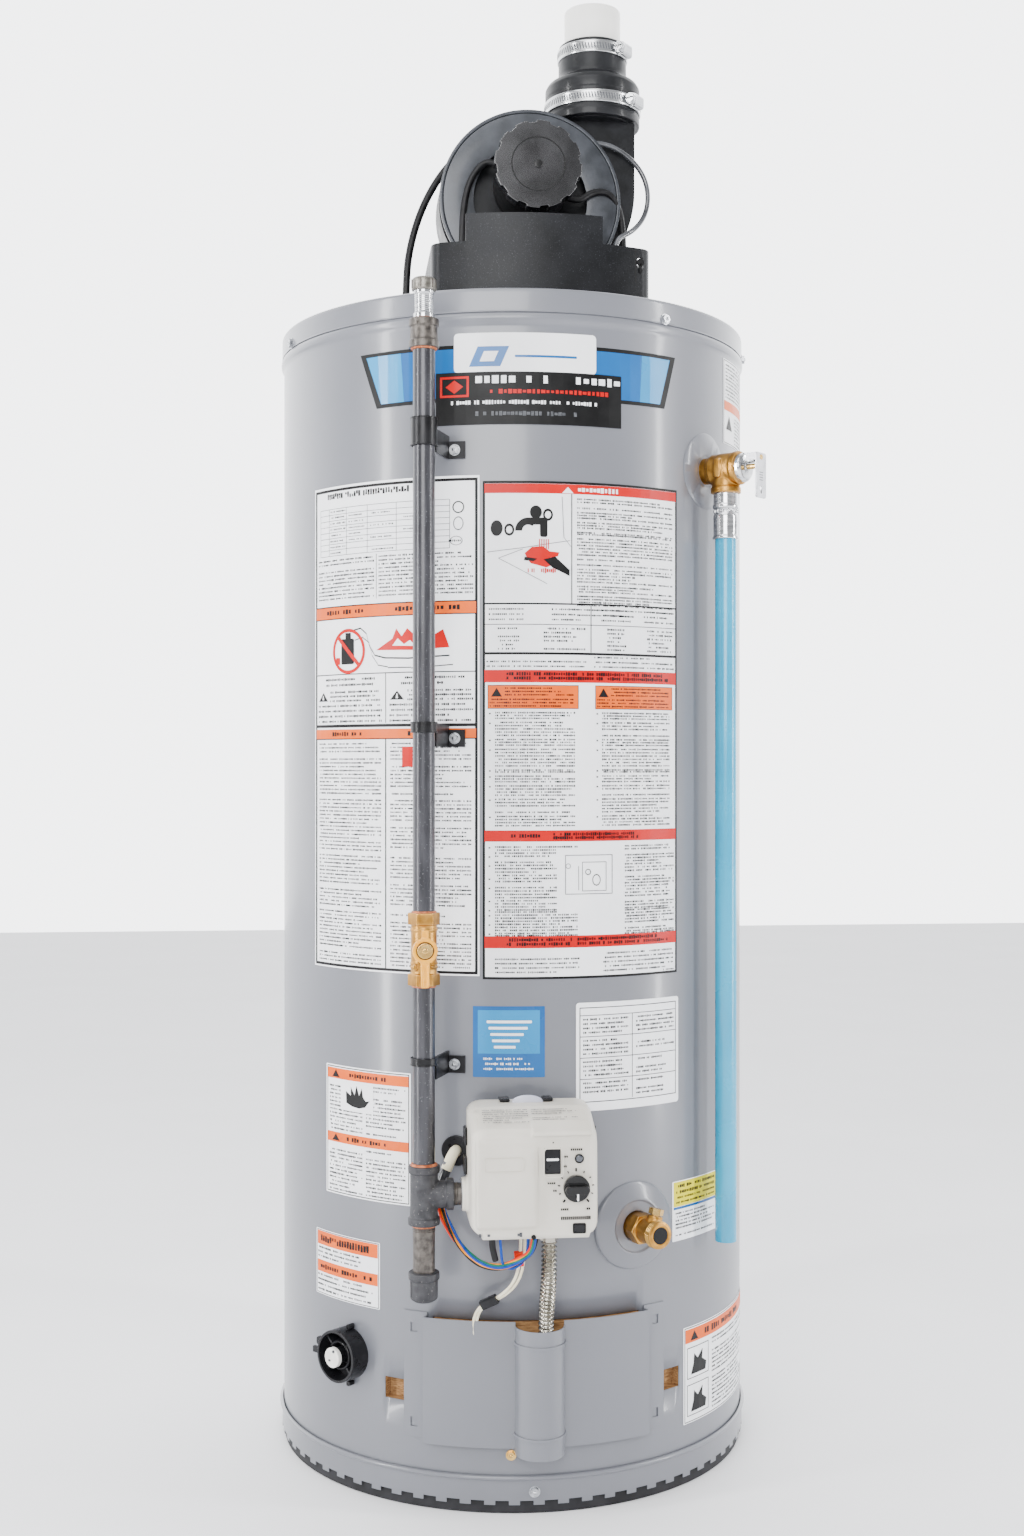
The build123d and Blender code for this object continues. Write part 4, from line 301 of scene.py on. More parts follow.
def settled(mesh, name, *modifiers):
    """The mesh with these modifiers applied, each given as its type and its settings."""
    holder = bpy.data.objects.new(name, mesh)
    bpy.context.scene.collection.objects.link(holder)
    for kind, values in modifiers:
        modifier = holder.modifiers.new(kind.lower(), kind)
        for key, value in values.items():
            setattr(modifier, key, value)
    graph = bpy.context.evaluated_depsgraph_get()
    made = bpy.data.meshes.new_from_object(holder.evaluated_get(graph))
    made.name = name
    bpy.data.objects.remove(holder)
    return made


def eased(mesh, name, width):
    """Small rounds on every sharp edge, with flat faces kept flat in the light."""
    made = settled(mesh, name, ("BEVEL", dict(width=width * MM, segments=2, limit_method="ANGLE",
        angle_limit=math.radians(30), miter_outer="MITER_ARC")))
    made.polygons.foreach_set("use_smooth", [True] * len(made.polygons))
    made.set_sharp_from_angle(angle=math.radians(42))
    return settled(made, name, ("WEIGHTED_NORMAL", dict(keep_sharp=True, weight=70)))


def softened(node, width, finish, name=None, body="root"):
    """A CAD node with its loose triangles joined and its edges rounded."""
    bm = bmesh.new()
    bm.from_mesh(nodes[node].data)
    bmesh.ops.remove_doubles(bm, verts=bm.verts[:], dist=2e-6)
    bmesh.ops.dissolve_limit(bm, angle_limit=math.radians(1), verts=bm.verts[:], edges=bm.edges[:])
    mesh = eased(as_mesh(bm, node), name or node + "_finished", width)
    mesh.materials.clear()
    return keep(mesh, name or node + "_finished", [finish], body, [node])


def ring_of(bm, place, radius, height, sides, start=0.0):
    return [bm.verts.new(place @ Vector((radius * math.cos(start + 2 * math.pi * i / sides) * MM,
        radius * math.sin(start + 2 * math.pi * i / sides) * MM, height * MM))) for i in range(sides)]


def turned(bm, place, profile, sides=72, index=0, start=0.0):
    """A shape turned about the local Z: a closed skin through its (radius, height) points."""
    rings = []
    for radius, height in profile:
        if radius <= 1e-6:
            rings.append([bm.verts.new(place @ Vector((0, 0, height * MM)))])
        else:
            rings.append(ring_of(bm, place, radius, height, sides, start))
    for one, two in zip(rings, rings[1:]):
        for i in range(sides):
            j = (i + 1) % sides
            if len(one) == 1 and len(two) == 1:
                continue
            if len(one) == 1:
                corners = (one[0], two[i], two[j])
            elif len(two) == 1:
                corners = (one[i], one[j], two[0])
            else:
                corners = (one[i], one[j], two[j], two[i])
            bm.faces.new(corners).material_index = index


def rod(bm, place, radius, low, high, sides=64, index=0):
    """A round bar along the local Z."""
    turned(bm, place, [(0, low), (radius, low), (radius, high), (0, high)], sides, index)


def rounded(profile, amount=0.6, steps=3):
    """The profile with each inner corner replaced by a small round."""
    points = [Vector(p) for p in profile]
    made = [tuple(points[0])]
    for before, here, after in zip(points, points[1:], points[2:]):
        back, ahead = before - here, after - here
        cut = min(amount, 0.45 * back.length, 0.45 * ahead.length)
        if cut < 1e-4 or back.angle(ahead, 0) > math.radians(172):
            made.append(tuple(here))
            continue
        first, last = here + back.normalized() * cut, here + ahead.normalized() * cut
        for k in range(steps + 1):
            t = k / steps
            made.append(tuple(first * (1 - t) ** 2 + here * 2 * t * (1 - t) + last * t ** 2))
    made.append(tuple(points[-1]))
    return made


def upright(x, y, z=0.0):
    return Matrix.Translation(Vector((x, y, z)) * MM)


def aimed(point, direction, up=(0, 0, 1)):
    """A frame at a point in millimetres whose local Z looks along the direction, with local Y towards up."""
    far = Vector(direction).normalized()
    side = Vector(up).cross(far).normalized()
    if side.length < 0.5:
        side = Vector((1, 0, 0))
    top = far.cross(side)
    turn = Matrix((side, top, far)).transposed().to_4x4()
    return Matrix.Translation(Vector(point) * MM) @ turn


def round_jacket(angle, height, radius):
    """A frame on the jacket: local Z points outwards, Y up, X to the right seen from outside."""
    turn = math.radians(angle)
    out = Vector((math.sin(turn), -math.cos(turn), 0))
    return aimed(out * radius + Vector((0, 0, height)), out)


def prism(bm, place, outline, low, high, index=0):
    """An outline in the local XY, in millimetres, drawn out along the local Z."""
    floor_ring = [bm.verts.new(place @ (Vector((x, y, low)) * MM)) for x, y in outline]
    roof_ring = [bm.verts.new(place @ (Vector((x, y, high)) * MM)) for x, y in outline]
    count = len(outline)
    made = [bm.faces.new(floor_ring[::-1]), bm.faces.new(roof_ring)]
    made += [bm.faces.new((floor_ring[i], floor_ring[(i + 1) % count], roof_ring[(i + 1) % count],
        roof_ring[i])) for i in range(count)]
    for face in made:
        face.material_index = index


def slab(width, height, corner=0.0, x=0.0, y=0.0, steps=4):
    """A rectangle's outline with rounded corners, about (x, y)."""
    if corner <= 0:
        return [(x - width / 2, y - height / 2), (x + width / 2, y - height / 2),
            (x + width / 2, y + height / 2), (x - width / 2, y + height / 2)]
    made = []
    for side_x, side_y, start in ((1, -1, -90), (1, 1, 0), (-1, 1, 90), (-1, -1, 180)):
        for k in range(steps + 1):
            turn = math.radians(start + 90 * k / steps)
            made.append((x + side_x * (width / 2 - corner) + corner * math.cos(turn), y
                + side_y * (height / 2 - corner) + corner * math.sin(turn)))
    return made


def disc(radius, sides=32, x=0.0, y=0.0, start=0.0):
    return [(x + radius * math.cos(start + 2 * math.pi * i / sides), y
        + radius * math.sin(start + 2 * math.pi * i / sides)) for i in range(sides)]


def hexagon(half_flats, turn=30.0):
    return disc(half_flats / math.cos(math.radians(30)), 6, start=math.radians(turn))


def cast(name, bm, grain=0.8, calm=8):
    """Solids run together as one casting with soft inner corners."""
    mesh = as_mesh(bm, name)
    made = settled(mesh, name, ("REMESH", dict(mode="VOXEL", voxel_size=grain * MM, use_smooth_shade=True)),
        ("SMOOTH", dict(factor=0.5, iterations=calm)))
    made.polygons.foreach_set("use_smooth", [True] * len(made.polygons))
    return made


def cut_from(mesh, tool):
    """The mesh with the tool's shape taken out of it."""
    holder = bpy.data.objects.new("tool", tool)
    bpy.context.scene.collection.objects.link(holder)
    made = settled(mesh, mesh.name, ("BOOLEAN", dict(operation="DIFFERENCE", solver="EXACT", object=holder)))
    bpy.data.objects.remove(holder)
    return smooth_all(made)


def together(name, *meshes):
    """Several meshes as one, with one shared list of materials."""
    bm, finishes = bmesh.new(), []
    for mesh in meshes:
        wanted = list(mesh.materials) or [None]
        for finish in wanted:
            if finish not in finishes:
                finishes.append(finish)
        begun = len(bm.faces)
        bm.from_mesh(mesh)
        bm.faces.ensure_lookup_table()
        for i in range(begun, len(bm.faces)):
            face = bm.faces[i]
            face.material_index = finishes.index(wanted[min(face.material_index, len(wanted) - 1)])
    mesh = bpy.data.meshes.new(name)
    bm.to_mesh(mesh)
    bm.free()
    for finish in finishes:
        mesh.materials.append(finish)
    return mesh


def painted(mesh, *finishes):
    """The mesh with these materials; each face keeps the number of its material."""
    numbers = [0] * len(mesh.polygons)
    mesh.polygons.foreach_get("material_index", numbers)
    mesh.materials.clear()
    for finish in finishes:
        mesh.materials.append(finish)
    mesh.polygons.foreach_set("material_index", numbers)
    return mesh


def joined(name, meshes, replaces=(), body="root"):
    """One piece of the object from several meshes that have their materials."""
    return keep(together(name, *meshes), name, (), body, replaces)


# ---------------- node trees for what repeats or follows a line ----------------
def new_tree(name, *inputs):
    """An empty geometry tree with named inputs, given as (name, kind, value)."""
    tree = bpy.data.node_groups.new(name, "GeometryNodeTree")
    tree.interface.new_socket("Geometry", in_out="INPUT", socket_type="NodeSocketGeometry")
    for label, kind, value in inputs:
        socket = tree.interface.new_socket(label, in_out="INPUT", socket_type="NodeSocket" + kind)
        if value is not None:
            socket.default_value = value
    tree.interface.new_socket("Geometry", in_out="OUTPUT", socket_type="NodeSocketGeometry")
    return tree, tree.nodes.new("NodeGroupInput").outputs, tree.nodes.new("NodeGroupOutput").inputs


def step(tree, kind, inputs=(), **settings):
    """A node with its settings; each input, by name or number, is a value or another node's output."""
    made = tree.nodes.new(kind)
    for key, value in settings.items():
        setattr(made, key, value)
    for key, value in dict(inputs).items():
        socket = made.inputs[key]
        if isinstance(value, bpy.types.NodeSocket):
            tree.links.new(value, socket)
        else:
            socket.default_value = value
    return made


def sums(tree, operation, *values):
    return step(tree, "ShaderNodeMath", dict(enumerate(values)), operation=operation).outputs[0]


def finished(tree, geometry, finish, outputs):
    """Every tree ends the same way: real geometry, then its material."""
    real = step(tree, "GeometryNodeRealizeInstances", {"Geometry": geometry})
    coated = step(tree, "GeometryNodeSetMaterial", {"Geometry": real.outputs[0], "Material": finish})
    tree.links.new(coated.outputs[0], outputs[0])


def ribbed_tree():
    """A tube along a line whose radius rises and falls with its length: a corrugated tube or a thread."""
    tree, given, out = new_tree("ribbed_tube", ("Radius", "Float", 0.007), ("Pitch", "Float", 0.003),
        ("Depth", "Float", 0.001), ("Sides", "Int", 32), ("Finish", "Material", None))
    part = sums(tree, "DIVIDE", given["Pitch"], 9.0)
    line = step(tree, "GeometryNodeResampleCurve", {"Curve": given["Geometry"], "Length": part},
        mode="LENGTH")
    along = step(tree, "GeometryNodeSplineParameter").outputs["Length"]
    turn = sums(tree, "MULTIPLY", sums(tree, "DIVIDE", along, given["Pitch"]), 2 * math.pi)
    swell = sums(tree, "MULTIPLY", sums(tree, "SINE", turn), sums(tree, "DIVIDE", given["Depth"], 2.0))
    width = sums(tree, "ADD", given["Radius"], swell)
    ring = step(tree, "GeometryNodeCurvePrimitiveCircle", {"Resolution": given["Sides"], "Radius": 1.0})
    skin = step(tree, "GeometryNodeCurveToMesh", {"Curve": line.outputs[0], "Profile Curve": ring.outputs[0],
        "Scale": width, "Fill Caps": True})
    finished(tree, skin.outputs[0], given["Finish"], out)
    return tree


def strand_tree():
    """A wire that winds about a line at a distance from it."""
    tree, given, out = new_tree("wound_wire", ("Radius", "Float", 0.001), ("Away", "Float", 0.002),
        ("Turn", "Float", 0.08), ("Begin", "Float", 0.0), ("Wander", "Float", 0.002), ("Seed", "Int", 1),
        ("Finish", "Material", None))
    line = step(tree, "GeometryNodeResampleCurve", {"Curve": given["Geometry"], "Length": 0.003},
        mode="LENGTH")
    along = step(tree, "GeometryNodeSplineParameter")
    angle = sums(tree, "ADD", sums(tree, "MULTIPLY", sums(tree, "DIVIDE", along.outputs["Length"],
        given["Turn"]), 2 * math.pi), given["Begin"])
    ahead = step(tree, "GeometryNodeInputTangent").outputs[0]
    side = step(tree, "ShaderNodeVectorMath", {0: ahead, 1: (0.13, 0.2, 0.97)}, operation="CROSS_PRODUCT")
    side = step(tree, "ShaderNodeVectorMath", {0: side.outputs[0]}, operation="NORMALIZE").outputs[0]
    top = step(tree, "ShaderNodeVectorMath", {0: ahead, 1: side}, operation="CROSS_PRODUCT").outputs[0]
    seed = step(tree, "ShaderNodeVectorMath", {0: step(tree, "GeometryNodeInputPosition").outputs[0],
        1: given["Begin"]}, operation="ADD").outputs[0]
    cloud = step(tree, "ShaderNodeTexNoise", {"Vector": seed, "Scale": 30.0, "Detail": 1.0}).outputs["Fac"]
    away = sums(tree, "ADD", given["Away"], sums(tree, "MULTIPLY", sums(tree, "SUBTRACT", cloud, 0.5),
        given["Wander"]))
    shift_a = step(tree, "ShaderNodeVectorMath", {0: side, "Scale": sums(tree, "MULTIPLY", away,
        sums(tree, "COSINE", angle))}, operation="SCALE").outputs[0]
    shift_b = step(tree, "ShaderNodeVectorMath", {0: top, "Scale": sums(tree, "MULTIPLY", away,
        sums(tree, "SINE", angle))}, operation="SCALE").outputs[0]
    shift = step(tree, "ShaderNodeVectorMath", {0: shift_a, 1: shift_b}, operation="ADD").outputs[0]
    moved = step(tree, "GeometryNodeSetPosition", {"Geometry": line.outputs[0], "Offset": shift})
    ring = step(tree, "GeometryNodeCurvePrimitiveCircle", {"Resolution": 10, "Radius": 1.0})
    skin = step(tree, "GeometryNodeCurveToMesh", {"Curve": moved.outputs[0],
        "Profile Curve": ring.outputs[0], "Scale": given["Radius"], "Fill Caps": True})
    finished(tree, skin.outputs[0], given["Finish"], out)
    return tree


def screw_tree():
    """A hex washer head on every point, standing along the point's normal and turned by chance."""
    tree, given, out = new_tree("hex_screws", ("Flats", "Float", 0.0065), ("Height", "Float", 0.0032),
        ("Washer", "Float", 0.0048), ("Seed", "Int", 3), ("Finish", "Material", None))
    away = step(tree, "GeometryNodeInputNamedAttribute", {"Name": "outwards"},
        data_type="FLOAT_VECTOR").outputs[0]
    lined = step(tree, "FunctionNodeAlignRotationToVector", {"Vector": away}, axis="Z").outputs[0]
    chance = step(tree, "FunctionNodeRandomValue", {"Seed": given["Seed"]}, data_type="FLOAT")
    chance.inputs[3].default_value = 6.28
    spin = step(tree, "ShaderNodeCombineXYZ", {"Z": chance.outputs[1]}).outputs[0]
    turn = step(tree, "FunctionNodeRotateRotation", {0: lined, 1: step(tree, "FunctionNodeEulerToRotation",
        {0: spin}).outputs[0]}, rotation_space="LOCAL").outputs[0]
    head = step(tree, "GeometryNodeMeshCylinder", {"Vertices": 6, "Radius": sums(tree, "DIVIDE",
        given["Flats"], 1.732), "Depth": given["Height"]})
    lift = step(tree, "ShaderNodeCombineXYZ", {"Z": sums(tree, "DIVIDE", given["Height"], 2.0)}).outputs[0]
    head = step(tree, "GeometryNodeTransform", {"Geometry": head.outputs[0], "Translation": lift})
    plate = step(tree, "GeometryNodeMeshCylinder", {"Vertices": 32, "Radius": given["Washer"],
        "Depth": 0.0011})
    nub = step(tree, "GeometryNodeMeshUVSphere", {"Segments": 16, "Rings": 8,
        "Radius": sums(tree, "DIVIDE", given["Flats"], 3.6)})
    top = step(tree, "ShaderNodeCombineXYZ", {"Z": sums(tree, "MULTIPLY", given["Height"], 0.72)}).outputs[0]
    nub = step(tree, "GeometryNodeTransform", {"Geometry": nub.outputs[0], "Translation": top})
    whole = step(tree, "GeometryNodeJoinGeometry")
    for piece in (head, plate, nub):
        tree.links.new(piece.outputs[0], whole.inputs[0])
    rows = step(tree, "GeometryNodeInstanceOnPoints", {"Points": given["Geometry"],
        "Instance": whole.outputs[0], "Rotation": turn})
    finished(tree, rows.outputs[0], given["Finish"], out)
    return tree


def print_tree():
    """Lines of small marks, broken into words, with ragged ends: what print looks like from a distance."""
    tree, given, out = new_tree("print_lines", ("Width", "Float", 0.1), ("Height", "Float", 0.1),
        ("Marks", "Int", 40), ("Lines", "Int", 20), ("Tall", "Float", 0.0016), ("Ragged", "Float", 0.3),
        ("Centre", "Vector", (0, 0, 0)), ("Seed", "Int", 1), ("Finish", "Material", None))
    grid = step(tree, "GeometryNodeMeshGrid", {"Size X": given["Width"], "Size Y": given["Height"],
        "Vertices X": given["Marks"], "Vertices Y": given["Lines"]})
    number = step(tree, "GeometryNodeInputIndex").outputs[0]
    row = sums(tree, "MODULO", number, given["Lines"])

    def chance(seed_shift, low, high, by=None):
        inputs = {"Seed": sums(tree, "ADD", given["Seed"], seed_shift)}
        made = step(tree, "FunctionNodeRandomValue", inputs, data_type="FLOAT")
        made.inputs[2].default_value, made.inputs[3].default_value = low, high
        if by is not None:
            tree.links.new(by, made.inputs["ID"])
        return made.outputs[1]

    across = step(tree, "ShaderNodeSeparateXYZ",
        {0: step(tree, "GeometryNodeInputPosition").outputs[0]}).outputs[0]
    place = sums(tree, "ADD", sums(tree, "DIVIDE", across, given["Width"]), 0.5)
    short = sums(tree, "MULTIPLY", sums(tree, "GREATER_THAN", chance(11, 0, 1, row), 0.6),
        sums(tree, "MULTIPLY", chance(12, 0, 1, row), given["Ragged"]))
    past = sums(tree, "GREATER_THAN", place, sums(tree, "SUBTRACT", 1.01, short))
    blank_row = sums(tree, "GREATER_THAN", chance(13, 0, 1, row), 0.93)
    gap = sums(tree, "GREATER_THAN", chance(14, 0, 1), 0.84)
    gone = sums(tree, "ADD", sums(tree, "ADD", past, gap), blank_row)
    left = step(tree, "GeometryNodeDeleteGeometry", {"Geometry": grid.outputs[0],
        "Selection": sums(tree, "GREATER_THAN", gone, 0.5)}, domain="POINT")
    pitch = sums(tree, "DIVIDE", given["Width"], given["Marks"])
    size = step(tree, "ShaderNodeCombineXYZ", {"X": sums(tree, "MULTIPLY", pitch, chance(15, 0.5, 0.95)),
        "Y": sums(tree, "MULTIPLY", given["Tall"], chance(16, 0.6, 1.15)), "Z": 1.0}).outputs[0]
    mark = step(tree, "GeometryNodeMeshGrid", {"Size X": 1.0, "Size Y": 1.0, "Vertices X": 2,
        "Vertices Y": 2})
    rows = step(tree, "GeometryNodeInstanceOnPoints", {"Points": left.outputs[0],
        "Instance": mark.outputs[0], "Scale": size})
    moved = step(tree, "GeometryNodeTransform", {"Geometry": rows.outputs[0],
        "Translation": given["Centre"]})
    finished(tree, moved.outputs[0], given["Finish"], out)
    return tree


def drum_tree():
    """A flat drawing rolled onto an upright drum: X runs round it, Y up it and Z stands off it."""
    tree, given, out = new_tree("rolled_on_drum", ("Radius", "Float", 0.254))
    at = step(tree, "ShaderNodeSeparateXYZ", {0: step(tree, "GeometryNodeInputPosition").outputs[0]}).outputs
    turn = sums(tree, "DIVIDE", at[0], given["Radius"])
    reach = sums(tree, "ADD", given["Radius"], at[2])
    spot = step(tree, "ShaderNodeCombineXYZ", {"X": sums(tree, "MULTIPLY", sums(tree, "SINE", turn), reach),
        "Y": sums(tree, "MULTIPLY", sums(tree, "COSINE", turn), sums(tree, "MULTIPLY", reach, -1.0)),
        "Z": at[1]}).outputs[0]
    rolled = step(tree, "GeometryNodeSetPosition", {"Geometry": given["Geometry"], "Position": spot})
    tree.links.new(rolled.outputs[0], out[0])
    return tree


def slot_tree():
    """Slots pressed in rows round a band: a small sunk mark on every point of an arc."""
    tree, given, out = new_tree("band_slots", ("Radius", "Float", 0.05), ("Count", "Int", 40),
        ("Long", "Float", 0.006), ("Wide", "Float", 0.0016), ("Lean", "Float", 0.2),
        ("Centre", "Vector", (0, 0, 0)), ("Finish", "Material", None))
    ring = step(tree, "GeometryNodeMeshCircle", {"Vertices": given["Count"], "Radius": given["Radius"]})
    spot = step(tree, "GeometryNodeInputPosition").outputs[0]
    lined = step(tree, "FunctionNodeAlignRotationToVector", {"Vector": spot}, axis="X").outputs[0]
    tilt = step(tree, "ShaderNodeCombineXYZ", {"X": given["Lean"]}).outputs[0]
    turn = step(tree, "FunctionNodeRotateRotation", {0: lined, 1: step(tree, "FunctionNodeEulerToRotation",
        {0: tilt}).outputs[0]}, rotation_space="LOCAL").outputs[0]
    size = step(tree, "ShaderNodeCombineXYZ", {"X": 0.0003, "Y": given["Wide"],
        "Z": given["Long"]}).outputs[0]
    mark = step(tree, "GeometryNodeMeshCube", {"Size": size})
    rows = step(tree, "GeometryNodeInstanceOnPoints", {"Points": ring.outputs[0],
        "Instance": mark.outputs[0], "Rotation": turn})
    moved = step(tree, "GeometryNodeTransform", {"Geometry": rows.outputs[0],
        "Translation": given["Centre"]})
    finished(tree, moved.outputs[0], given["Finish"], out)
    return tree


def grown(tree, source, **values):
    """The mesh that a tree makes from a mesh or curve, with its inputs given by name."""
    holder = bpy.data.objects.new("source", source)
    modifier = holder.modifiers.new("grow", "NODES")
    modifier.node_group = tree
    for item in tree.interface.items_tree:
        if item.item_type == "SOCKET" and item.in_out == "INPUT" and item.name in values:
            modifier[item.identifier] = values[item.name]
    bpy.context.scene.collection.objects.link(holder)
    graph = bpy.context.evaluated_depsgraph_get()
    mesh = bpy.data.meshes.new_from_object(holder.evaluated_get(graph))
    bpy.data.objects.remove(holder)
    return mesh


def line_through(points, straight=False):
    """A smooth curve through the run of a lead or tube, from points in millimetres."""
    curve = bpy.data.curves.new("line", "CURVE")
    curve.dimensions = "3D"
    curve.resolution_u = 16
    spline = curve.splines.new("POLY" if straight else "NURBS")
    spline.points.add(len(points) - 1)
    for spot, point in zip(spline.points, points):
        spot.co = (*(Vector(point) * MM), 1)
    if not straight:
        spline.order_u = 3
        spline.use_endpoint_u = True
    return curve


def smooth_all(mesh):
    mesh.polygons.foreach_set("use_smooth", [True] * len(mesh.polygons))
    mesh.set_sharp_from_angle(angle=math.radians(50))
    return mesh


def no_mesh():
    """An empty mesh, for a tree that needs nothing to start from."""
    return bpy.data.meshes.new("blank")


ribbed, wound, screws, print_lines, rolled, slots = (ribbed_tree(), strand_tree(), screw_tree(),
    print_tree(), drum_tree(), slot_tree())


def tube(points, radius, finish, sides=20, straight=False, pitch=6.0, depth=0.0):
    return smooth_all(grown(ribbed, line_through(points, straight), Radius=radius * MM, Pitch=pitch * MM,
        Depth=depth * MM, Sides=sides, Finish=finish))


# ---------------- jacket, lid, base ----------------
jacket_radius = span("jacket")[1].x - 3.0
lid_outer = span("jacket_lid")[1].x


def jacket_shell():
    """The rolled jacket as a grid with its windows left open, then given its sheet thickness."""
    windows = ((-24, 24, 74, 190), (29.4, 36, 103, 124), (-36, -29.4, 103, 124))
    angles = sorted({-180 + 1.5 * i for i in range(240)} | {a for w in windows for a in w[:2]})
    rows = [(h, 0.0) for h in (14, 40, 61, 74, 103, 124, 150, 190)] + [(190 + 40 * i, 0.0)
        for i in range(1, 25)]
    rows += [(1167, 0.0), (1169.5, 0.3), (1171.5, 1.5), (1173.5, 2.7), (1176, 3.0), (1178.5, 2.7),
        (1180, 1.9), (1181.2, 0.6), (1184, 0.0), (1196, 0.0)]
    bm = bmesh.new()
    grid = [[bm.verts.new(((jacket_radius + swell) * MM * math.sin(math.radians(a)),
        -(jacket_radius + swell) * MM * math.cos(math.radians(a)), height * MM)) for a in angles] for height,
        swell in rows]
    for (low, _), (high, _), lower, upper in zip(rows, rows[1:], grid, grid[1:]):
        for i, angle in enumerate(angles):
            j = (i + 1) % len(angles)
            mid_angle, mid_height = (angle + (angles[j] if j else 180)) / 2, (low + high) / 2
            if not any(a < mid_angle < b and c < mid_height < d for a, b, c, d in windows):
                bm.faces.new((lower[i], lower[j], upper[j], upper[i]))
    return settled(as_mesh(bm, "jacket"), "jacket_finished", ("SOLIDIFY",
        dict(thickness=0.8 * MM, offset=-1)))


STRIP = 0.012


def on_drum(bm, name, *finishes):
    """A flat drawing in millimetres (round, up, off) cut into narrow strips and rolled onto the jacket."""
    bmesh.ops.scale(bm, vec=(MM, MM, MM), verts=bm.verts[:])
    low, high = min(v.co.x for v in bm.verts), max(v.co.x for v in bm.verts)
    for i in range(int(low / STRIP) - 1, int(high / STRIP) + 2):
        bmesh.ops.bisect_plane(bm, geom=bm.verts[:] + bm.edges[:] + bm.faces[:], plane_co=(i * STRIP, 0, 0),
            plane_no=(1, 0, 0), dist=1e-7)
    mesh = bpy.data.meshes.new(name)
    bm.to_mesh(mesh)
    bm.free()
    painted(mesh, *finishes)
    return grown(rolled, mesh, Radius=jacket_radius * MM)


shell = jacket_shell()
seam = bmesh.new()
seam_middle = math.pi * jacket_radius
prism(seam, Matrix.Identity(4), [(seam_middle - 7, 40), (seam_middle + 7, 40), (seam_middle + 7, 1166),
    (seam_middle - 7, 1166)], 0, 900)
bmesh.ops.scale(seam, vec=(1 / MM, 1 / MM, 1), verts=seam.verts[:])
joined("jacket_finished", [painted(shell, jacket_paint), smooth_all(on_drum(seam, "seam", jacket_paint))],
    ["jacket"])

bm = bmesh.new()
turned(bm, upright(0, 0), rounded([(0, 1204.2), (236, 1204.2), (240, 1205), (lid_outer, 1205),
    (lid_outer, 1182.4), (lid_outer + 0.5, 1181), (lid_outer - 1.0, 1181), (lid_outer - 1.0, 1203),
    (0, 1203)], 4.0, 5), 240)
keep(as_mesh(bm, "lid"), "jacket_lid_finished", [jacket_paint], "root", ["jacket_lid"])

softened("base_ring", 0.5, jacket_paint)
softened("base_pan", 0.6, pan_black)
softened("outer_door", 0.4, jacket_paint, body="burner_door")


def loose_parts(node):
    """The middle of every separate solid in a CAD node, in millimetres."""
    bm = bmesh.new()
    bm.from_mesh(nodes[node].data)
    bmesh.ops.remove_doubles(bm, verts=bm.verts[:], dist=2e-6)
    seen, made = set(), []
    for begin in bm.verts:
        if begin in seen:
            continue
        seen.add(begin)
        group, waiting = [], [begin]
        while waiting:
            here = waiting.pop()
            group.append(here.co.copy())
            for edge in here.link_edges:
                other = edge.other_vert(here)
                if other not in seen:
                    seen.add(other)
                    waiting.append(other)
        low = Vector([min(p[k] for p in group) for k in range(3)])
        high = Vector([max(p[k] for p in group) for k in range(3)])
        made.append(((low + high) / 2 / MM, low / MM, high / MM))
    bm.free()
    return made


def screw_mesh(spots, flats=8.0, height=3.4, washer=5.6, finish=zinc, seed=3):
    """Hex screws at (place, outwards) pairs."""
    mesh = bpy.data.meshes.new("screws")
    mesh.from_pydata([Vector(p) * MM for p, _ in spots], [], [])
    away = mesh.attributes.new("outwards", "FLOAT_VECTOR", "POINT")
    away.data.foreach_set("vector", [c for _, d in spots for c in d])
    return smooth_all(grown(screws, mesh, Flats=flats * MM, Height=height * MM, Washer=washer * MM,
        Seed=seed, Finish=finish))


spots = []
for place, low, high in loose_parts("jacket_screws"):
    out = Vector((place.x, place.y, 0)).normalized()
    reach = max(abs(Vector((x, y, 0)).dot(out)) for x in (low.x, high.x) for y in (low.y, high.y))
    surface_at = jacket_radius + (2.2 if place.z < 1175 and place.z > 60 else 2.0)
    spots.append((out * surface_at + Vector((0, 0, place.z)), out))
keep(screw_mesh(spots), "jacket_screws_finished", (), "root", ["jacket_screws"])
door_turn = math.radians(-6.2)
keep(screw_mesh([(Vector((math.sin(door_turn), -math.cos(door_turn), 0)) * (jacket_radius + 0.4)
    + Vector((0, 0, 57.7)), (math.sin(door_turn), -math.cos(door_turn), 0))], 7, 3.2, 5.2, brass_bright, 5),
    "door_screw", (), "root")

for node, finish in (("tank_shell", enamel), ("flue_tube", enamel), ("flue_baffle", steel_plain),
        ("insulation", pad_fibre), ("dip_tube", dip_white), ("anode_rod", anode_grey),
        ("inner_door", steel_plain), ("burner_manifold", steel_plain), ("burner", steel_plain),
        ("igniter", ceramic), ("impeller", steel_plain), ("motor_rotor", steel_plain),
        ("gas_valve_ball", ball_chrome), ("thermowell_probe", ball_chrome)):
    nodes[node].data.materials.clear()
    nodes[node].data.materials.append(finish)


# ---------------- stickers ----------------
FIRST_OFF, LAYER_OFF = 0.35, 0.09


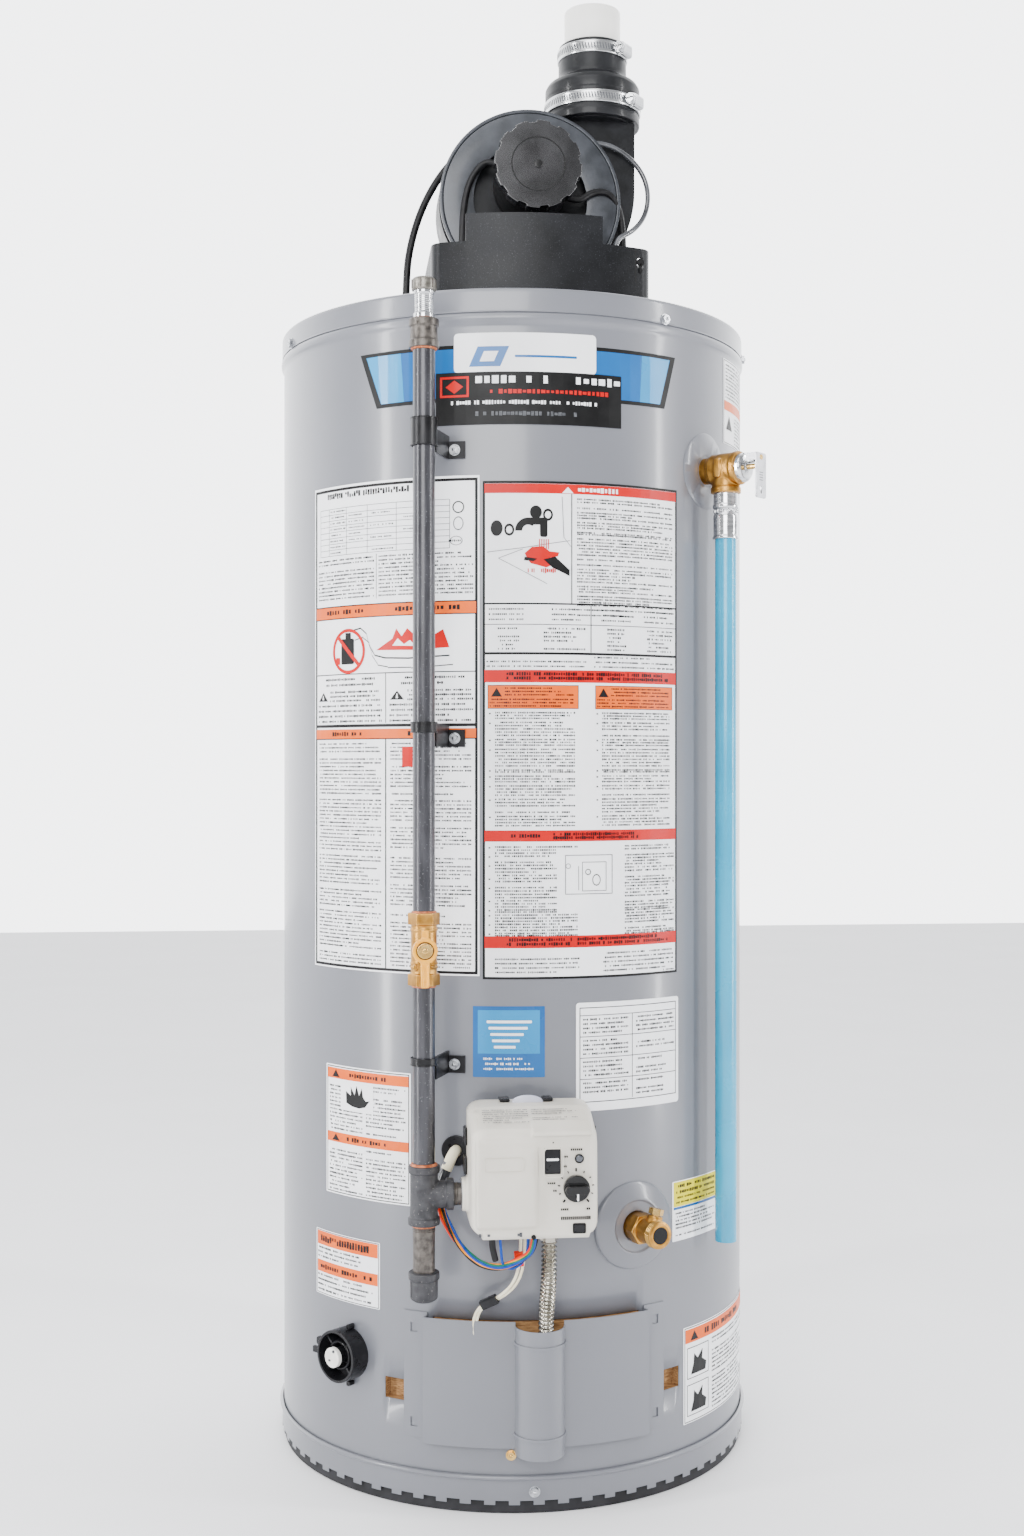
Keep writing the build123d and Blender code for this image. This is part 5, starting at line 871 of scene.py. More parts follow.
class Sheet:
    """A printed sticker drawn flat: X runs round the jacket in degrees, Y is the height in millimetres."""

    def __init__(self, name, finishes):
        self.name, self.finishes = name, finishes
        self.bm, self.blocks = bmesh.new(), []

    def flat(self, degrees):
        """The distance round the jacket for an angle."""
        return math.radians(degrees) * jacket_radius

    def off(self, layer):
        """How far a layer of the sticker stands off the jacket."""
        return FIRST_OFF + LAYER_OFF * layer

    def shape(self, points, index=0, layer=0):
        """A patch of colour; each layer stands a little further off."""
        face = self.bm.faces.new([self.bm.verts.new((self.flat(a), h, self.off(layer))) for a, h in points])
        face.material_index = index
        face.normal_update()
        if face.normal.z < 0:
            face.normal_flip()

    def box(self, left, right, low, high, index=0, layer=0, corner=0.0):
        wide = self.flat(right - left)
        outline = slab(wide, high - low, corner, 0, (low + high) / 2)
        centre = (left + right) / 2
        self.shape([(centre + math.degrees(x / jacket_radius), y) for x, y in outline], index, layer)

    def rule(self, left, right, low, high, thick=0.8, index=1, layer=2):
        """A thin line between two spots, level or upright."""
        if abs(right - left) * 4.4 > abs(high - low):
            self.box(left, right, low - thick / 2, low + thick / 2, index, layer)
        else:
            half = math.degrees(thick / 2 / jacket_radius)
            self.box(left - half, left + half, low, high, index, layer)

    def frame(self, left, right, low, high, thick=1.6, index=1, layer=1):
        step_a = math.degrees(thick / jacket_radius)
        self.box(left, right, high - thick, high, index, layer)
        self.box(left, right, low, low + thick, index, layer)
        self.box(left, left + step_a, low, high, index, layer)
        self.box(right - step_a, right, low, high, index, layer)

    def ring(self, angle, height, outer, inner, index, layer=3, sides=40, tall=1.0):
        for i in range(sides):
            a, b = 2 * math.pi * i / sides, 2 * math.pi * (i + 1) / sides
            corners = [(outer, a), (outer, b), (inner, b), (inner, a)]
            self.shape([(angle + math.degrees(r * math.cos(t) / jacket_radius), height
                + tall * r * math.sin(t)) for r, t in corners], index, layer)

    def spot(self, angle, height, radius, index, layer=3, tall=1.0, sides=20):
        self.shape([(angle + math.degrees(radius * math.cos(2 * math.pi * i / sides) / jacket_radius),
            height + tall * radius * math.sin(2 * math.pi * i / sides)) for i in range(sides)], index, layer)

    def words(self, left, right, low, high, seed, pitch=4.2, tall=1.8, mark=1.75, ragged=0.35, finish=None,
            layer=2):
        """A block of print between two angles and two heights."""
        wide, height = self.flat(right - left), high - low - tall
        lines = max(1, round(height / pitch) + 1)
        self.blocks.append(grown(print_lines, no_mesh(), Width=wide * MM, Height=max(height, 0.01) * MM
            if lines > 1 else 0.0, Marks=max(2, round(wide / mark)), Lines=lines, Tall=tall * MM,
            Ragged=ragged, Centre=(self.flat((left + right) / 2) * MM, (low + high) / 2 * MM,
            self.off(layer) * MM), Seed=seed, Finish=finish or ink_and_shade))

    def stick(self):
        backing = on_drum(self.bm, self.name, *self.finishes)
        marks = [grown(rolled, block, Radius=jacket_radius * MM) for block in self.blocks]
        return joined(self.name, [backing, *marks])


def left_sheet():
    page = Sheet("instruction_sheet_left", (paper, ink_and_shade, ink_orange, ink_red, ink_grey))
    page.box(-59.6, -13.2, 528, 1021)
    page.frame(-59.2, -13.6, 529.6, 1018.6, 2.8)
    page.words(-54, -30, 1008, 1014, 1, tall=3.4, mark=3.0, ragged=0)
    for k in range(9):
        page.rule(-57, -20, 998 - 6 * k, 998 - 6 * k, 0.5, 4)
    for a in (-57, -53.6, -47.5, -41, -33, -26.5, -20):
        page.rule(a, a, 950, 998, 0.5, 4)
    page.words(-53, -48, 952, 996, 2, pitch=6, tall=1.6)
    page.words(-46.6, -42, 964, 990, 3, pitch=6, tall=1.4)
    page.words(-40, -34, 952, 990, 31, pitch=12, tall=1.4)
    page.words(-31, -27.5, 958, 996, 32, pitch=12, tall=1.4)
    page.ring(-18, 990, 6.0, 4.8, 1)
    page.ring(-18, 974, 5.2, 4.4, 4, tall=1.3)
    page.ring(-18.5, 957, 6.5, 5.7, 4, tall=0.7)
    page.words(-20.5, -15.5, 956, 958, 33, tall=2)
    page.words(-57.7, -39.2, 905, 946, 4, pitch=4.0)
    page.words(-37.6, -14.8, 905, 946, 5, pitch=4.0)
    page.rule(-38.4, -38.4, 903, 948, 0.6)
    page.box(-58.8, -14.0, 885.5, 897, 2, 2)
    page.rule(-58.8, -14, 897.6, 897.6, 1.2)
    page.rule(-58.8, -14, 885, 885, 1.0, layer=3)
    page.words(-54, -42.5, 889, 894, 6, tall=4.6, mark=4.0, ragged=0, layer=4)
    page.words(-33, -18, 889, 894, 7, tall=4.6, mark=4.0, ragged=0, layer=4)
    page.ring(-46.9, 851.3, 23.4, 20.0, 3, 4, 56, tall=0.98)
    page.box(-49.2, -45.0, 838, 864, 1, 3, 2)
    page.box(-47.8, -46.0, 864, 870, 1, 3)
    page.shape([(-50.9, 866), (-50.2, 868.6), (-42.8, 836.8), (-43.5, 834.2)], 3, 5)
    page.box(-51, -49.6, 838, 845, 3, 3, 1)
    page.shape([(-38.4, 851), (-34, 862), (-33, 872), (-31.6, 864), (-30.2, 872), (-28.6, 866), (-26, 874),
        (-24, 864), (-21.5, 870), (-20, 852), (-28, 850)], 3, 3)
    page.shape([(-34, 855), (-32.6, 862), (-31, 856), (-29.5, 860), (-28, 854)], 0, 4)
    trail = [(-45.5, 872), (-43, 874), (-41.2, 868), (-40.4, 856), (-38.8, 846), (-36, 843), (-30, 842),
        (-20, 844)]
    for (a, b), (c, d) in zip(trail, trail[1:]):
        page.shape([(a, b - 0.7), (c, d - 0.7), (c, d + 0.7), (a, b + 0.7)], 1, 3)
        page.shape([(a + 0.8, b - 10.4), (c + 0.8, d - 9.6), (c + 0.8, d - 8.6), (a + 0.8, b - 9.4)], 1, 3)
    page.rule(-58.8, -14, 828, 828, 1.0)
    page.rule(-35.8, -35.8, 778, 828, 0.9)
    for k, (a, b) in enumerate(((-57.7, -37), (-34.6, -14.8))):
        page.words(a + 3, b - 2, 816, 824, 8 + k, pitch=5, tall=2.4, mark=2.1)
        page.words(a + 4.6, b, 800, 811, 18 + k, pitch=4.6, tall=2.2, mark=2.0, ragged=0.1)
        page.words(a, b, 779, 797, 20 + k, pitch=4.6, tall=2.2, mark=2.0, ragged=0.3)
        page.shape([(a, 801), (a + 3.6, 801), (a + 1.8, 810)], 1, 3)
        page.shape([(a + 1.5, 802.5), (a + 2.1, 802.5), (a + 1.9, 807), (a + 1.7, 807)], 0, 4)
    page.rule(-58.8, -14, 775.4, 775.4, 3.0)
    page.box(-58.8, -14.0, 762.5, 772, 2, 2)
    page.words(-52, -43, 765, 769.4, 22, tall=4.0, mark=3.4, ragged=0, layer=4)
    page.words(-30.5, -18.5, 765, 769.4, 23, tall=4.0, mark=3.4, ragged=0, layer=4)
    page.rule(-58.8, -14, 762, 762, 1.0, layer=3)
    page.rule(-35.8, -35.8, 532, 762, 1.4)
    page.box(-31.5, -28.8, 734, 754, 3, 3)
    for k in range(4):
        top = 758 - 57 * k
        page.words(-57.4, -37.2, top - 52, top, 40 + k, pitch=3.9, tall=1.7, mark=1.65)
        page.words(-34.4, -15.2, top - 52, top, 50 + k, pitch=3.9, tall=1.7, mark=1.65)
    page.words(-19, -15.5, 535, 537, 60, tall=1.6)
    page.stick()


def right_sheet():
    page = Sheet("instruction_sheet_right", (paper, ink_and_shade, ink_orange, ink_red, ink_grey))
    left, right = -12.1, 34.8
    page.box(-12.5, 35.2, 525, 1015)
    page.frame(-12.5, 35.2, 525.0, 1015.0, 2.4)
    page.box(left, right, 1003, 1012.4, 3, 2)
    page.words(9.2, 18.2, 1005.4, 1009.4, 70, tall=4.4, mark=3.6, ragged=0, finish=paper, layer=4)
    page.shape([(5.2, 1003.6), (7.8, 1003.6), (6.5, 1009.6)], 0, 4)
    page.rule(7.4, 7.4, 895, 1003, 1.0)
    for (a, h, r, t) in ((-9.4, 968.5, 6, 1.3), (-0.7, 984.4, 6, 1.1)):
        page.spot(a, h, r, 1, 3, t)
    page.ring(-6.6, 967, 5, 3, 1, tall=1.2)
    page.ring(2.0, 982, 5, 3, 1, tall=1.2)
    arc = [(math.radians(180 - 12 * k)) for k in range(12)]
    for one, two in zip(arc, arc[1:]):
        page.shape([(-2.4 + math.degrees(r * math.cos(t) / jacket_radius), 966 + r * math.sin(t)) for r,
            t in ((13, one), (13, two), (6, two), (6, one))], 1, 3)
    page.box(-2.6, 0.4, 972, 979, 1, 3)
    page.box(0.2, 1.9, 960, 979, 1, 3, 2)
    for k in range(5):
        page.box(0.0 + 0.5 * k, 0.22 + 0.5 * k, 948, 958, 3, 3)
    page.shape([(-3.2, 944), (-1.6, 950), (0.8, 951), (2.4, 946), (4.6, 945), (4.2, 941), (2.6, 940),
        (3.8, 934), (1.6, 930), (-1.8, 934), (-2.6, 938)], 3, 3)
    page.shape([(1.0, 938), (3.6, 941), (6.9, 928), (6.9, 922), (3.0, 930)], 1, 4)
    page.shape([(-3.4, 937), (-1.2, 936), (-0.4, 938.6), (-3.2, 940.4)], 1, 4)
    page.words(-2.4, 3.6, 925, 929, 71, tall=4.6, mark=1.8, finish=ink_red)
    for (a, b), (c, d) in (((-11.6, 945), (-4, 949)), ((-4, 949), (7, 957)), ((-9, 939), (1.8, 914)),
            ((-9, 939), (-3.6, 948)), ((5.6, 960), (5.2, 1000)), ((5.6, 960), (7.2, 951))):
        tilt = abs(d - b) > abs(c - a) * 4.4
        pad_a, pad_h = (0.07, 0.0) if tilt else (0.0, 0.3)
        page.shape([(a - pad_a, b - pad_h), (c - pad_a, d - pad_h), (c + pad_a, d + pad_h),
            (a + pad_a, b + pad_h)], 4, 3)
    high = 999
    for k, rows in enumerate((3, 2, 2, 1, 5, 2, 4, 2, 3, 2)):
        low = high - 3.5 * rows
        page.words(8.8, 33.6, low, high, 72 + k, pitch=3.5, tall=1.7, mark=1.7, ragged=0.5)
        high = low - 2.8
    page.rule(left, right, 894.4, 894.4, 1.6)
    page.rule(11.9, 11.9, 847, 894, 1.0)
    for k, (a, b) in enumerate(((-11, -3.6), (3.0, 11), (14.5, 22), (25.5, 34))):
        page.words(a, b, 878, 890, 84 + k, pitch=4.6, tall=1.8)
    page.rule(left, right, 874, 874, 0.7)
    for k, (a, b) in enumerate(((-9, -4.6), (1.2, 10.4), (16, 20.4), (26.4, 33.6))):
        page.words(a, b, 849, 871, 88 + k, pitch=4.3, tall=1.9)
    page.rule(left, right, 845.5, 845.5, 2.4)
    page.words(left + 0.6, 10.6, 832, 843, 92, pitch=5.2, tall=1.7)
    page.words(12.8, 34.0, 832, 843, 93, pitch=5.2, tall=1.7)
    page.box(left, right, 817, 829.2, 3, 2)
    page.words(-7, 32.6, 819.6, 827, 94, pitch=4.8, tall=3.2, mark=2.4, ragged=0.1, layer=4)
    for k, (a, b) in enumerate(((-11.4, 9.0), (12.9, 33.7))):
        page.box(a, b, 791, 814.4, 2, 2)
        page.frame(a, b, 791, 814.4, 0.6, 1, 3)
        page.shape([(a + 0.8, 803), (a + 3.2, 803), (a + 2.0, 811.6)], 1, 4)
        page.words(a + 4.0, b - 1.4, 804, 812, 96 + k, pitch=3.8, tall=1.5, layer=4)
        page.words(a + 0.6, b - 1.4, 793, 801, 98 + k, pitch=3.8, tall=1.5, layer=4)
        high = 788
        for j, rows in enumerate((2, 4, 2, 5, 1, 2, 3, 4, 3)):
            low = high - 3.6 * rows
            page.words(a + 1.8, b - 1.0, low, high, 100 + 20 * k + j, pitch=3.6, tall=1.7, mark=1.7)
            page.box(a + 0.3, a + 0.7, high - 2.4, high - 1, 1, 2)
            high = low - 2.4
    page.box(left, right, 660.4, 671.4, 3, 2)
    page.words(-6, 0, 664, 668, 140, tall=3.2, mark=2.4, ragged=0, layer=4)
    page.words(3.4, 24, 662.6, 669, 141, pitch=4.2, tall=2.9, mark=2.2, ragged=0.1, layer=4)
    high = 656
    for j, rows in enumerate((2, 2, 3, 2, 3, 2, 1, 2, 2, 1)):
        low = high - 3.9 * rows
        page.words(-9.6, 8.6 if j in (0, 7, 8, 9) else 3.8, low, high, 150 + j, pitch=3.9, tall=1.8,
            mark=1.8)
        page.box(-11.2, -10.8, high - 2.4, high - 1, 1, 2)
        page.words(20.4, 34.0, low, high, 165 + j, pitch=3.9, tall=1.8, mark=1.8)
        high = low - 1.2
    page.frame(5.9, 17.1, 608, 647, 0.7, 4, 3)
    page.frame(9.8, 15.6, 611, 640, 0.6, 1, 3)
    page.ring(11.2, 630, 3.0, 2.2, 1)
    page.ring(13.2, 622, 4.4, 3.6, 1, tall=1.3)
    page.ring(6.6, 636, 2.6, 2.0, 4)
    page.rule(9.0, 9.0, 612, 636, 0.6)
    page.box(left, right, 555.6, 567.4, 3, 2)
    page.words(-7, 32, 558, 565.4, 180, pitch=4.6, tall=3.1, mark=2.4, ragged=0.2, layer=4)
    page.words(-9.6, 9.0, 531, 550, 181, pitch=4.2, tall=1.8)
    page.words(15.0, 33.8, 531, 550, 182, pitch=4.2, tall=1.8)
    page.words(31, 34, 528, 530, 183, tall=1.6)
    page.stick()


def small_stickers():
    band = Sheet("front_band", (ink_and_shade, ink_blue, ink_sky, paper, ink_red, ink_grey))
    band.shape([(-43.0, 1149.3), (-38.3, 1093.3), (31.3, 1095.9), (34.7, 1149.6)][::-1], 0, 0)
    band.shape([(-41.2, 1145.6), (-37.0, 1097.2), (29.9, 1099.6), (32.9, 1145.8)][::-1], 1, 1)
    band.shape([(-41.2, 1145.6), (-37.0, 1097.2), (-31.0, 1097.4), (-31.8, 1145.6)][::-1], 2, 2)
    band.shape([(24.8, 1145.8), (24.2, 1099.4), (29.9, 1099.6), (32.9, 1145.8)][::-1], 2, 2)
    band.box(-19.0, 13.1, 1122, 1160.8, 3, 3, 4)
    band.shape([(-15.6, 1127.6), (-13.6, 1147.4), (-6.6, 1147.4), (-8.6, 1127.6)], 1, 4)
    band.shape([(-13.2, 1132.6), (-12.2, 1142.6), (-9.0, 1142.6), (-10.0, 1132.6)], 3, 5)
    band.box(-5.4, 8.6, 1136.4, 1138.8, 1, 4, 1)
    band.box(-23.2, 19.3, 1070.5, 1122.4, 0, 4, 0.5)
    band.frame(-22.2, -15.6, 1098, 1118.4, 2.2, 4, 5)
    band.shape([(-18.9, 1101.6), (-16.9, 1108.2), (-18.9, 1114.8), (-20.9, 1108.2)], 4, 5)
    band.words(-13.4, 18.2, 1110.8, 1118.8, 204, tall=7.6, mark=8.0, ragged=0, finish=paper, layer=5)
    band.words(-10.6, 15.6, 1100.6, 1105.4, 201, tall=4.0, mark=4.4, ragged=0, finish=ink_red, layer=5)
    band.words(-19.4, 13.0, 1090.6, 1094.2, 202, tall=3.6, mark=2.8, ragged=0, finish=paper, layer=5)
    band.words(-13.8, 8.2, 1079.0, 1083.6, 203, tall=4.4, mark=3.8, ragged=0, finish=ink_grey, layer=5)
    band.stick()

    plates = Sheet("rating_labels", (paper, ink_and_shade, ink_orange, ink_blue, ink_yellow, ink_grey, ink_sky))
    plates.box(-14.7, 1.3, 428.8, 498.5, 3, 0, 0.8)
    plates.box(-13.6, 0.2, 432.6, 494.7, 6, 1, 0.8)
    plates.box(-13.6, 0.2, 432.6, 452, 3, 2, 0.5)
    for k in range(5):
        plates.box(-11.6 + 0.4 * k, -1.6 - 0.9 * k, 482 - 6.2 * k, 484.6 - 6.2 * k, 0, 3, 0.8)
    plates.words(-12.2, -1.4, 436, 448, 210, pitch=4, tall=2, finish=paper, layer=4)
    plates.box(8.4, 35.7, 393.4, 500.8, 0, 0, 3)
    plates.frame(9.2, 34.9, 402, 496, 0.9, 1, 1)
    for k in range(4):
        plates.rule(9.2, 34.9, 488 - 21 * k, 488 - 21 * k, 0.7)
        plates.words(10.2, 21.0, 470 - 21 * k, 485 - 21 * k, 211 + k, pitch=4.2, tall=2.0)
        plates.words(23.4, 34.0, 470 - 21 * k, 485 - 21 * k, 221 + k, pitch=4.2, tall=2.0)
    plates.rule(22.2, 22.2, 404, 488, 0.7)
    plates.box(-54.7, -29.3, 297, 429, 0, 0, 1)
    plates.frame(-54.3, -29.7, 298.4, 427.6, 1.0, 1, 1)
    for low, high in ((415, 425.6), (350, 360)):
        plates.box(-54.1, -29.9, low, high, 2, 2)
        plates.shape([(-52.4, low + 1.6), (-49.8, low + 1.6), (-51.1, high - 1.6)], 1, 3)
        plates.words(-47, -36, low + 3, high - 3, int(low), tall=4.0, mark=3.2, ragged=0, layer=4)
    hand = [(-47.5, 392), (-45.6, 389), (-43.4, 388), (-41.6, 390), (-40.2, 397), (-41.4, 396), (-42.2, 400),
        (-42.6, 409), (-43.4, 401), (-44.2, 411), (-44.8, 401), (-46, 409), (-46, 400), (-47.6, 404)]
    plates.shape(hand, 1, 4)
    plates.box(-49.4, -39.2, 384, 413, 0, 3)
    plates.words(-53.2, -42.6, 363, 412, 231, pitch=3.9, tall=1.8)
    plates.words(-41.2, -30.8, 363, 412, 232, pitch=3.9, tall=1.8)
    plates.words(-53.2, -42.6, 301, 347, 233, pitch=3.9, tall=1.8)
    plates.words(-41.2, -30.8, 301, 347, 234, pitch=3.9, tall=1.8)
    plates.box(-58.9, -37.4, 189, 256, 0, 0, 1)
    plates.frame(-58.6, -37.7, 189.8, 255.2, 0.8, 1, 1)
    for low, high in ((240, 254), (212, 224)):
        plates.box(-58.3, -38.0, low, high, 2, 2)
        plates.words(-56.6, -40, low + 3.4, high - 3.4, int(low), tall=4.6, mark=3.6, ragged=0, layer=4)
    plates.words(-58.0, -38.4, 227, 238, 241, pitch=4.4, tall=2.0)
    plates.words(-58.0, -38.4, 193, 210, 242, pitch=4.4, tall=2.0)
    plates.box(33.8, 51.3, 251, 312, 0, 0, 1)
    plates.box(34.2, 50.9, 286, 311, 4, 1)
    plates.words(35.2, 49.8, 299, 308, 243, pitch=4.6, tall=3.0, mark=2.6, ragged=0, layer=3)
    plates.words(35.2, 49.8, 289, 296, 246, pitch=4.2, tall=2.0, layer=3)
    plates.box(34.2, 50.9, 283, 285.6, 3, 1)
    plates.words(35.0, 50.0, 256, 280, 244, pitch=4.0, tall=1.8)
    plates.box(37.5, 76.7, 61, 160, 0, 0, 1)
    plates.frame(37.9, 76.3, 62, 159, 0.9, 1, 1)
    plates.box(38.2, 76.0, 143, 157, 2, 2)
    plates.shape([(40, 145), (43, 145), (41.5, 154.6)], 1, 3)
    plates.words(46, 66, 146, 154, 245, tall=6, mark=4.4, ragged=0, layer=4)
    for low in (106, 68):
        plates.frame(38.8, 47.4, low, low + 32, 0.8, 1, 2)
        plates.shape([(40.2, low + 4), (46.0, low + 4), (46.4, low + 12), (44.6, low + 17), (44.8, low + 27),
            (42.8, low + 19), (41.4, low + 25), (41.2, low + 15)], 1, 3)
    plates.words(49.2, 75.0, 103, 139, 251, pitch=4.2, tall=1.9)
    plates.words(49.2, 75.0, 66, 98, 252, pitch=4.2, tall=1.9)
    plates.box(55.4, 80, 1076, 1166, 0, 0, 1)
    plates.frame(55.7, 79.7, 1077, 1165, 0.9, 1, 1)
    plates.box(56.0, 79.4, 1112, 1122, 2, 2)
    plates.words(57, 78, 1125, 1161, 253, pitch=4.0, tall=1.7)
    plates.words(64, 78, 1080, 1108, 254, pitch=4.0, tall=1.7)
    plates.shape([(57.2, 1092), (61.6, 1092), (59.4, 1107)], 1, 3)
    plates.stick()


left_sheet()
right_sheet()
small_stickers()


# ---------------- gas train ----------------
train = middle("riser_pipe")
riser_low, riser_high = span("riser_pipe")
lower_low, lower_high = span("lower_pipe")
pipe_radius = (riser_high.x - riser_low.x) / 2
axis = upright(train.x, train.y)


def pipe_run(name, low, high, finish, node, radius=None):
    bm = bmesh.new()
    radius = radius or pipe_radius
    turned(bm, axis, [(0, low), (radius - 0.6, low), (radius, low + 0.6), (radius, high - 0.6),
        (radius - 0.6, high), (0, high)], 56)
    return keep(as_mesh(bm, name), name, [finish], "root", [node])


pipe_run("riser_pipe_finished", riser_low.z, riser_high.z, pipe_steel, "riser_pipe")
pipe_run("lower_pipe_finished", lower_low.z, lower_high.z, pipe_steel, "lower_pipe")

coupling_low, coupling_high = span("riser_coupling")
coupling_radius = (coupling_high.x - coupling_low.x) / 2
bm = bmesh.new()
bottom, top = coupling_low.z, coupling_high.z
turned(bm, axis, rounded([(pipe_radius - 1, bottom), (coupling_radius, bottom),
    (coupling_radius, bottom + 7), (coupling_radius - 1.1, bottom + 8.2), (coupling_radius - 1.3, top - 8.2),
    (coupling_radius, top - 7), (coupling_radius, top), (pipe_radius - 2, top),
    (pipe_radius - 2, bottom + 2), (pipe_radius - 1, bottom)], 1.0, 3), 72)
turned(bm, axis, rounded([(pipe_radius - 1, bottom - 1.6), (pipe_radius + 1.5, bottom - 1.4),
    (pipe_radius + 2.4, bottom + 0.2), (pipe_radius - 1, bottom + 0.4)], 0.6, 3), 72, 1)
turned(bm, axis, rounded([(pipe_radius - 3, top - 0.4), (pipe_radius + 0.9, top - 0.2),
    (pipe_radius - 0.2, top + 1.3), (pipe_radius - 3, top + 1.4)], 0.5, 3), 72, 1)
keep(as_mesh(bm, "coupling"), "riser_coupling_finished", [iron_worn, dope], "root",
    ["riser_coupling"])

inlet_low, inlet_high = span("gas_inlet_fitting")
inlet_radius = (inlet_high.x - inlet_low.x) / 2
nut_low = inlet_high.z - 13
bm = bmesh.new()
turned(bm, axis, rounded([(0, nut_low), (inlet_radius - 0.8, nut_low), (inlet_radius, nut_low + 1.4),
    (inlet_radius, inlet_high.z - 2.2), (inlet_radius - 2.4, inlet_high.z - 0.1), (7.2, inlet_high.z),
    (7.0, inlet_high.z - 6), (0, inlet_high.z - 6)], 0.9, 3), 72)
turned(bm, axis, rounded([(0, top - 4), (10.3, top - 4), (10.3, top + 5), (8.9, top + 6.2),
    (8.9, nut_low - 4), (10.2, nut_low - 2.4), (10.2, nut_low + 1), (0, nut_low + 1)], 0.7, 3), 72, 1)
threads = tube([(train.x, train.y, top + 6.4), (train.x, train.y, nut_low - 4.6)], 9.1, bright_steel, 56,
    True, 1.9, 0.7)
marks = bmesh.new()
for k in range(6):
    turn = math.radians(60 * k + 12)
    spot = Vector((train.x + inlet_radius * math.cos(turn), train.y + inlet_radius * math.sin(turn), nut_low
        + 6.4))
    prism(marks, aimed(spot, (math.cos(turn), math.sin(turn), 0)), slab(1.4, 8.4, 0.5), -0.5, 0.5)
joined("gas_inlet_finished", [painted(as_mesh(bm, "inlet"), nut_steel, bright_steel), threads,
    painted(as_mesh(marks, "marks"), iron_worn)], ["gas_inlet_fitting"])

valve_low, valve_high = span("gas_valve_body")
valve = (valve_low + valve_high) / 2
bm = bmesh.new()
for low, high in ((valve_low.z, valve_low.z + 11.5), (valve_high.z - 11.5, valve_high.z)):
    prism(bm, axis, hexagon(13.6, 0), low, high)
rod(bm, axis, 12.6, valve_low.z + 3, valve_high.z - 3)
for height in (valve_low.z + 17, valve_low.z + 20.4, valve_high.z - 17):
    rod(bm, axis, 13.5, height, height + 1.6)
front = aimed((train.x, train.y, valve.z), (0, -1, 0))
turned(bm, front, [(0, 0), (10.5, 0), (10.5, 11.5), (8, 12.5), (8, 15.6), (0, 15.6)], 48)
prism(bm, aimed((train.x - 8.5, train.y - 9, valve.z - 17), (-0.3, -1, 0)), slab(4, 6, 1.5), 0, 3.4)
prism(bm, aimed((train.x + 8.2, train.y - 9, valve.z - 16), (0.3, -1, 0)), slab(5, 2.0, 0.8), 0, 3.2)
mesh = painted(cast("gas_valve", bm, 0.6, 5), brass)
rings = bmesh.new()
for height, flip in ((valve_high.z, 1), (valve_low.z, -1)):
    turned(rings, axis, rounded([(pipe_radius - 1, height - flip * 1),
        (pipe_radius + 1.9, height - flip * 0.2), (pipe_radius + 1.0, height + flip * 1.6),
        (pipe_radius - 1, height + flip * 1.9)], 0.5, 3), 64)
joined("gas_valve_finished", [mesh, painted(as_mesh(rings, "dope"), dope)],
    ["gas_valve_body"])


def valve_handle():
    """The dipped lever: a ring round the stem nut, a grooved grip below and a stop tab above."""
    low, high = span("gas_valve_handle")
    face, back = low.y, high.y
    thick = back - face
    place = aimed((train.x, face, valve.z), (0, -1, 0))
    bm = bmesh.new()
    ring = disc(12.2, 56)
    grip = [(-4.4, -8), (4.4, -8), (3.9, -34.6), (3.0, -35.4), (-3.0, -35.4), (-3.9, -34.6)]
    prism(bm, place, ring, -thick + 0.2, 0)
    prism(bm, place, grip, -thick + 0.4, -0.2)
    prism(bm, place, [(-3.6, 9), (3.6, 9), (3.2, 19.4), (-3.2, 19.4)], -thick + 0.4, -0.2)
    for x in (-3.2, 3.2):
        prism(bm, place, slab(1.4, 20, 0.6, x, -24), -0.6, 1.0)
    turned(bm, place, [(8.9, -1), (8.9, 0.9), (11.6, 0.9), (11.6, -1), (8.9, -1)], 56)
    mesh = painted(cast("handle", bm, 0.45, 3), lever_yellow)
    nut = bmesh.new()
    turned(nut, place, rounded([(0, 0.2), (8.7, 0.2), (8.7, -0.6), (8.9, -1.2), (0, -1.2)], 0.3), 48)
    turned(nut, place, rounded([(0, 1.2), (7.2, 1.2), (7.6, 0.6), (7.6, 0), (0, 0)], 0.3), 48, 1)
    prism(nut, place, hexagon(5.4, 8), 0, 3.0, 1)
    turned(nut, place, rounded([(0, 2.2), (2.9, 2.2), (2.9, 4.0), (2.2, 4.6), (0, 4.6)], 0.4), 32, 1)
    inner = eased(as_mesh(nut, "nut"), "nut", 0.3)
    return joined("gas_handle_finished", [mesh, painted(inner, motor_dark, brass_bright)],
        ["gas_valve_handle"], body="gas_handle")


valve_handle()

tee_low, tee_high = span("gas_tee")
tee_mid = (tee_low.z + tee_high.z) / 2
control_side = aimed((train.x, train.y, tee_mid), (1, 0, 0))
bm = bmesh.new()
rod(bm, axis, 13.4, tee_low.z + 1, tee_high.z - 1)
for low, high in ((tee_low.z, tee_low.z + 7), (tee_high.z - 7, tee_high.z)):
    rod(bm, axis, 15.4, low, high)
reach = tee_high.x - train.x
rod(bm, control_side, 13.2, 0, reach - 1)
rod(bm, control_side, 15.4, reach - 7, reach)
mesh = painted(cast("tee", bm, 0.7, 6), iron_fitting)
rings = bmesh.new()
turned(rings, axis, rounded([(pipe_radius - 1, tee_high.z - 1), (pipe_radius + 2.8, tee_high.z - 0.2),
    (pipe_radius + 1.6, tee_high.z + 1.8), (pipe_radius - 1, tee_high.z + 2.2)], 0.5), 64)
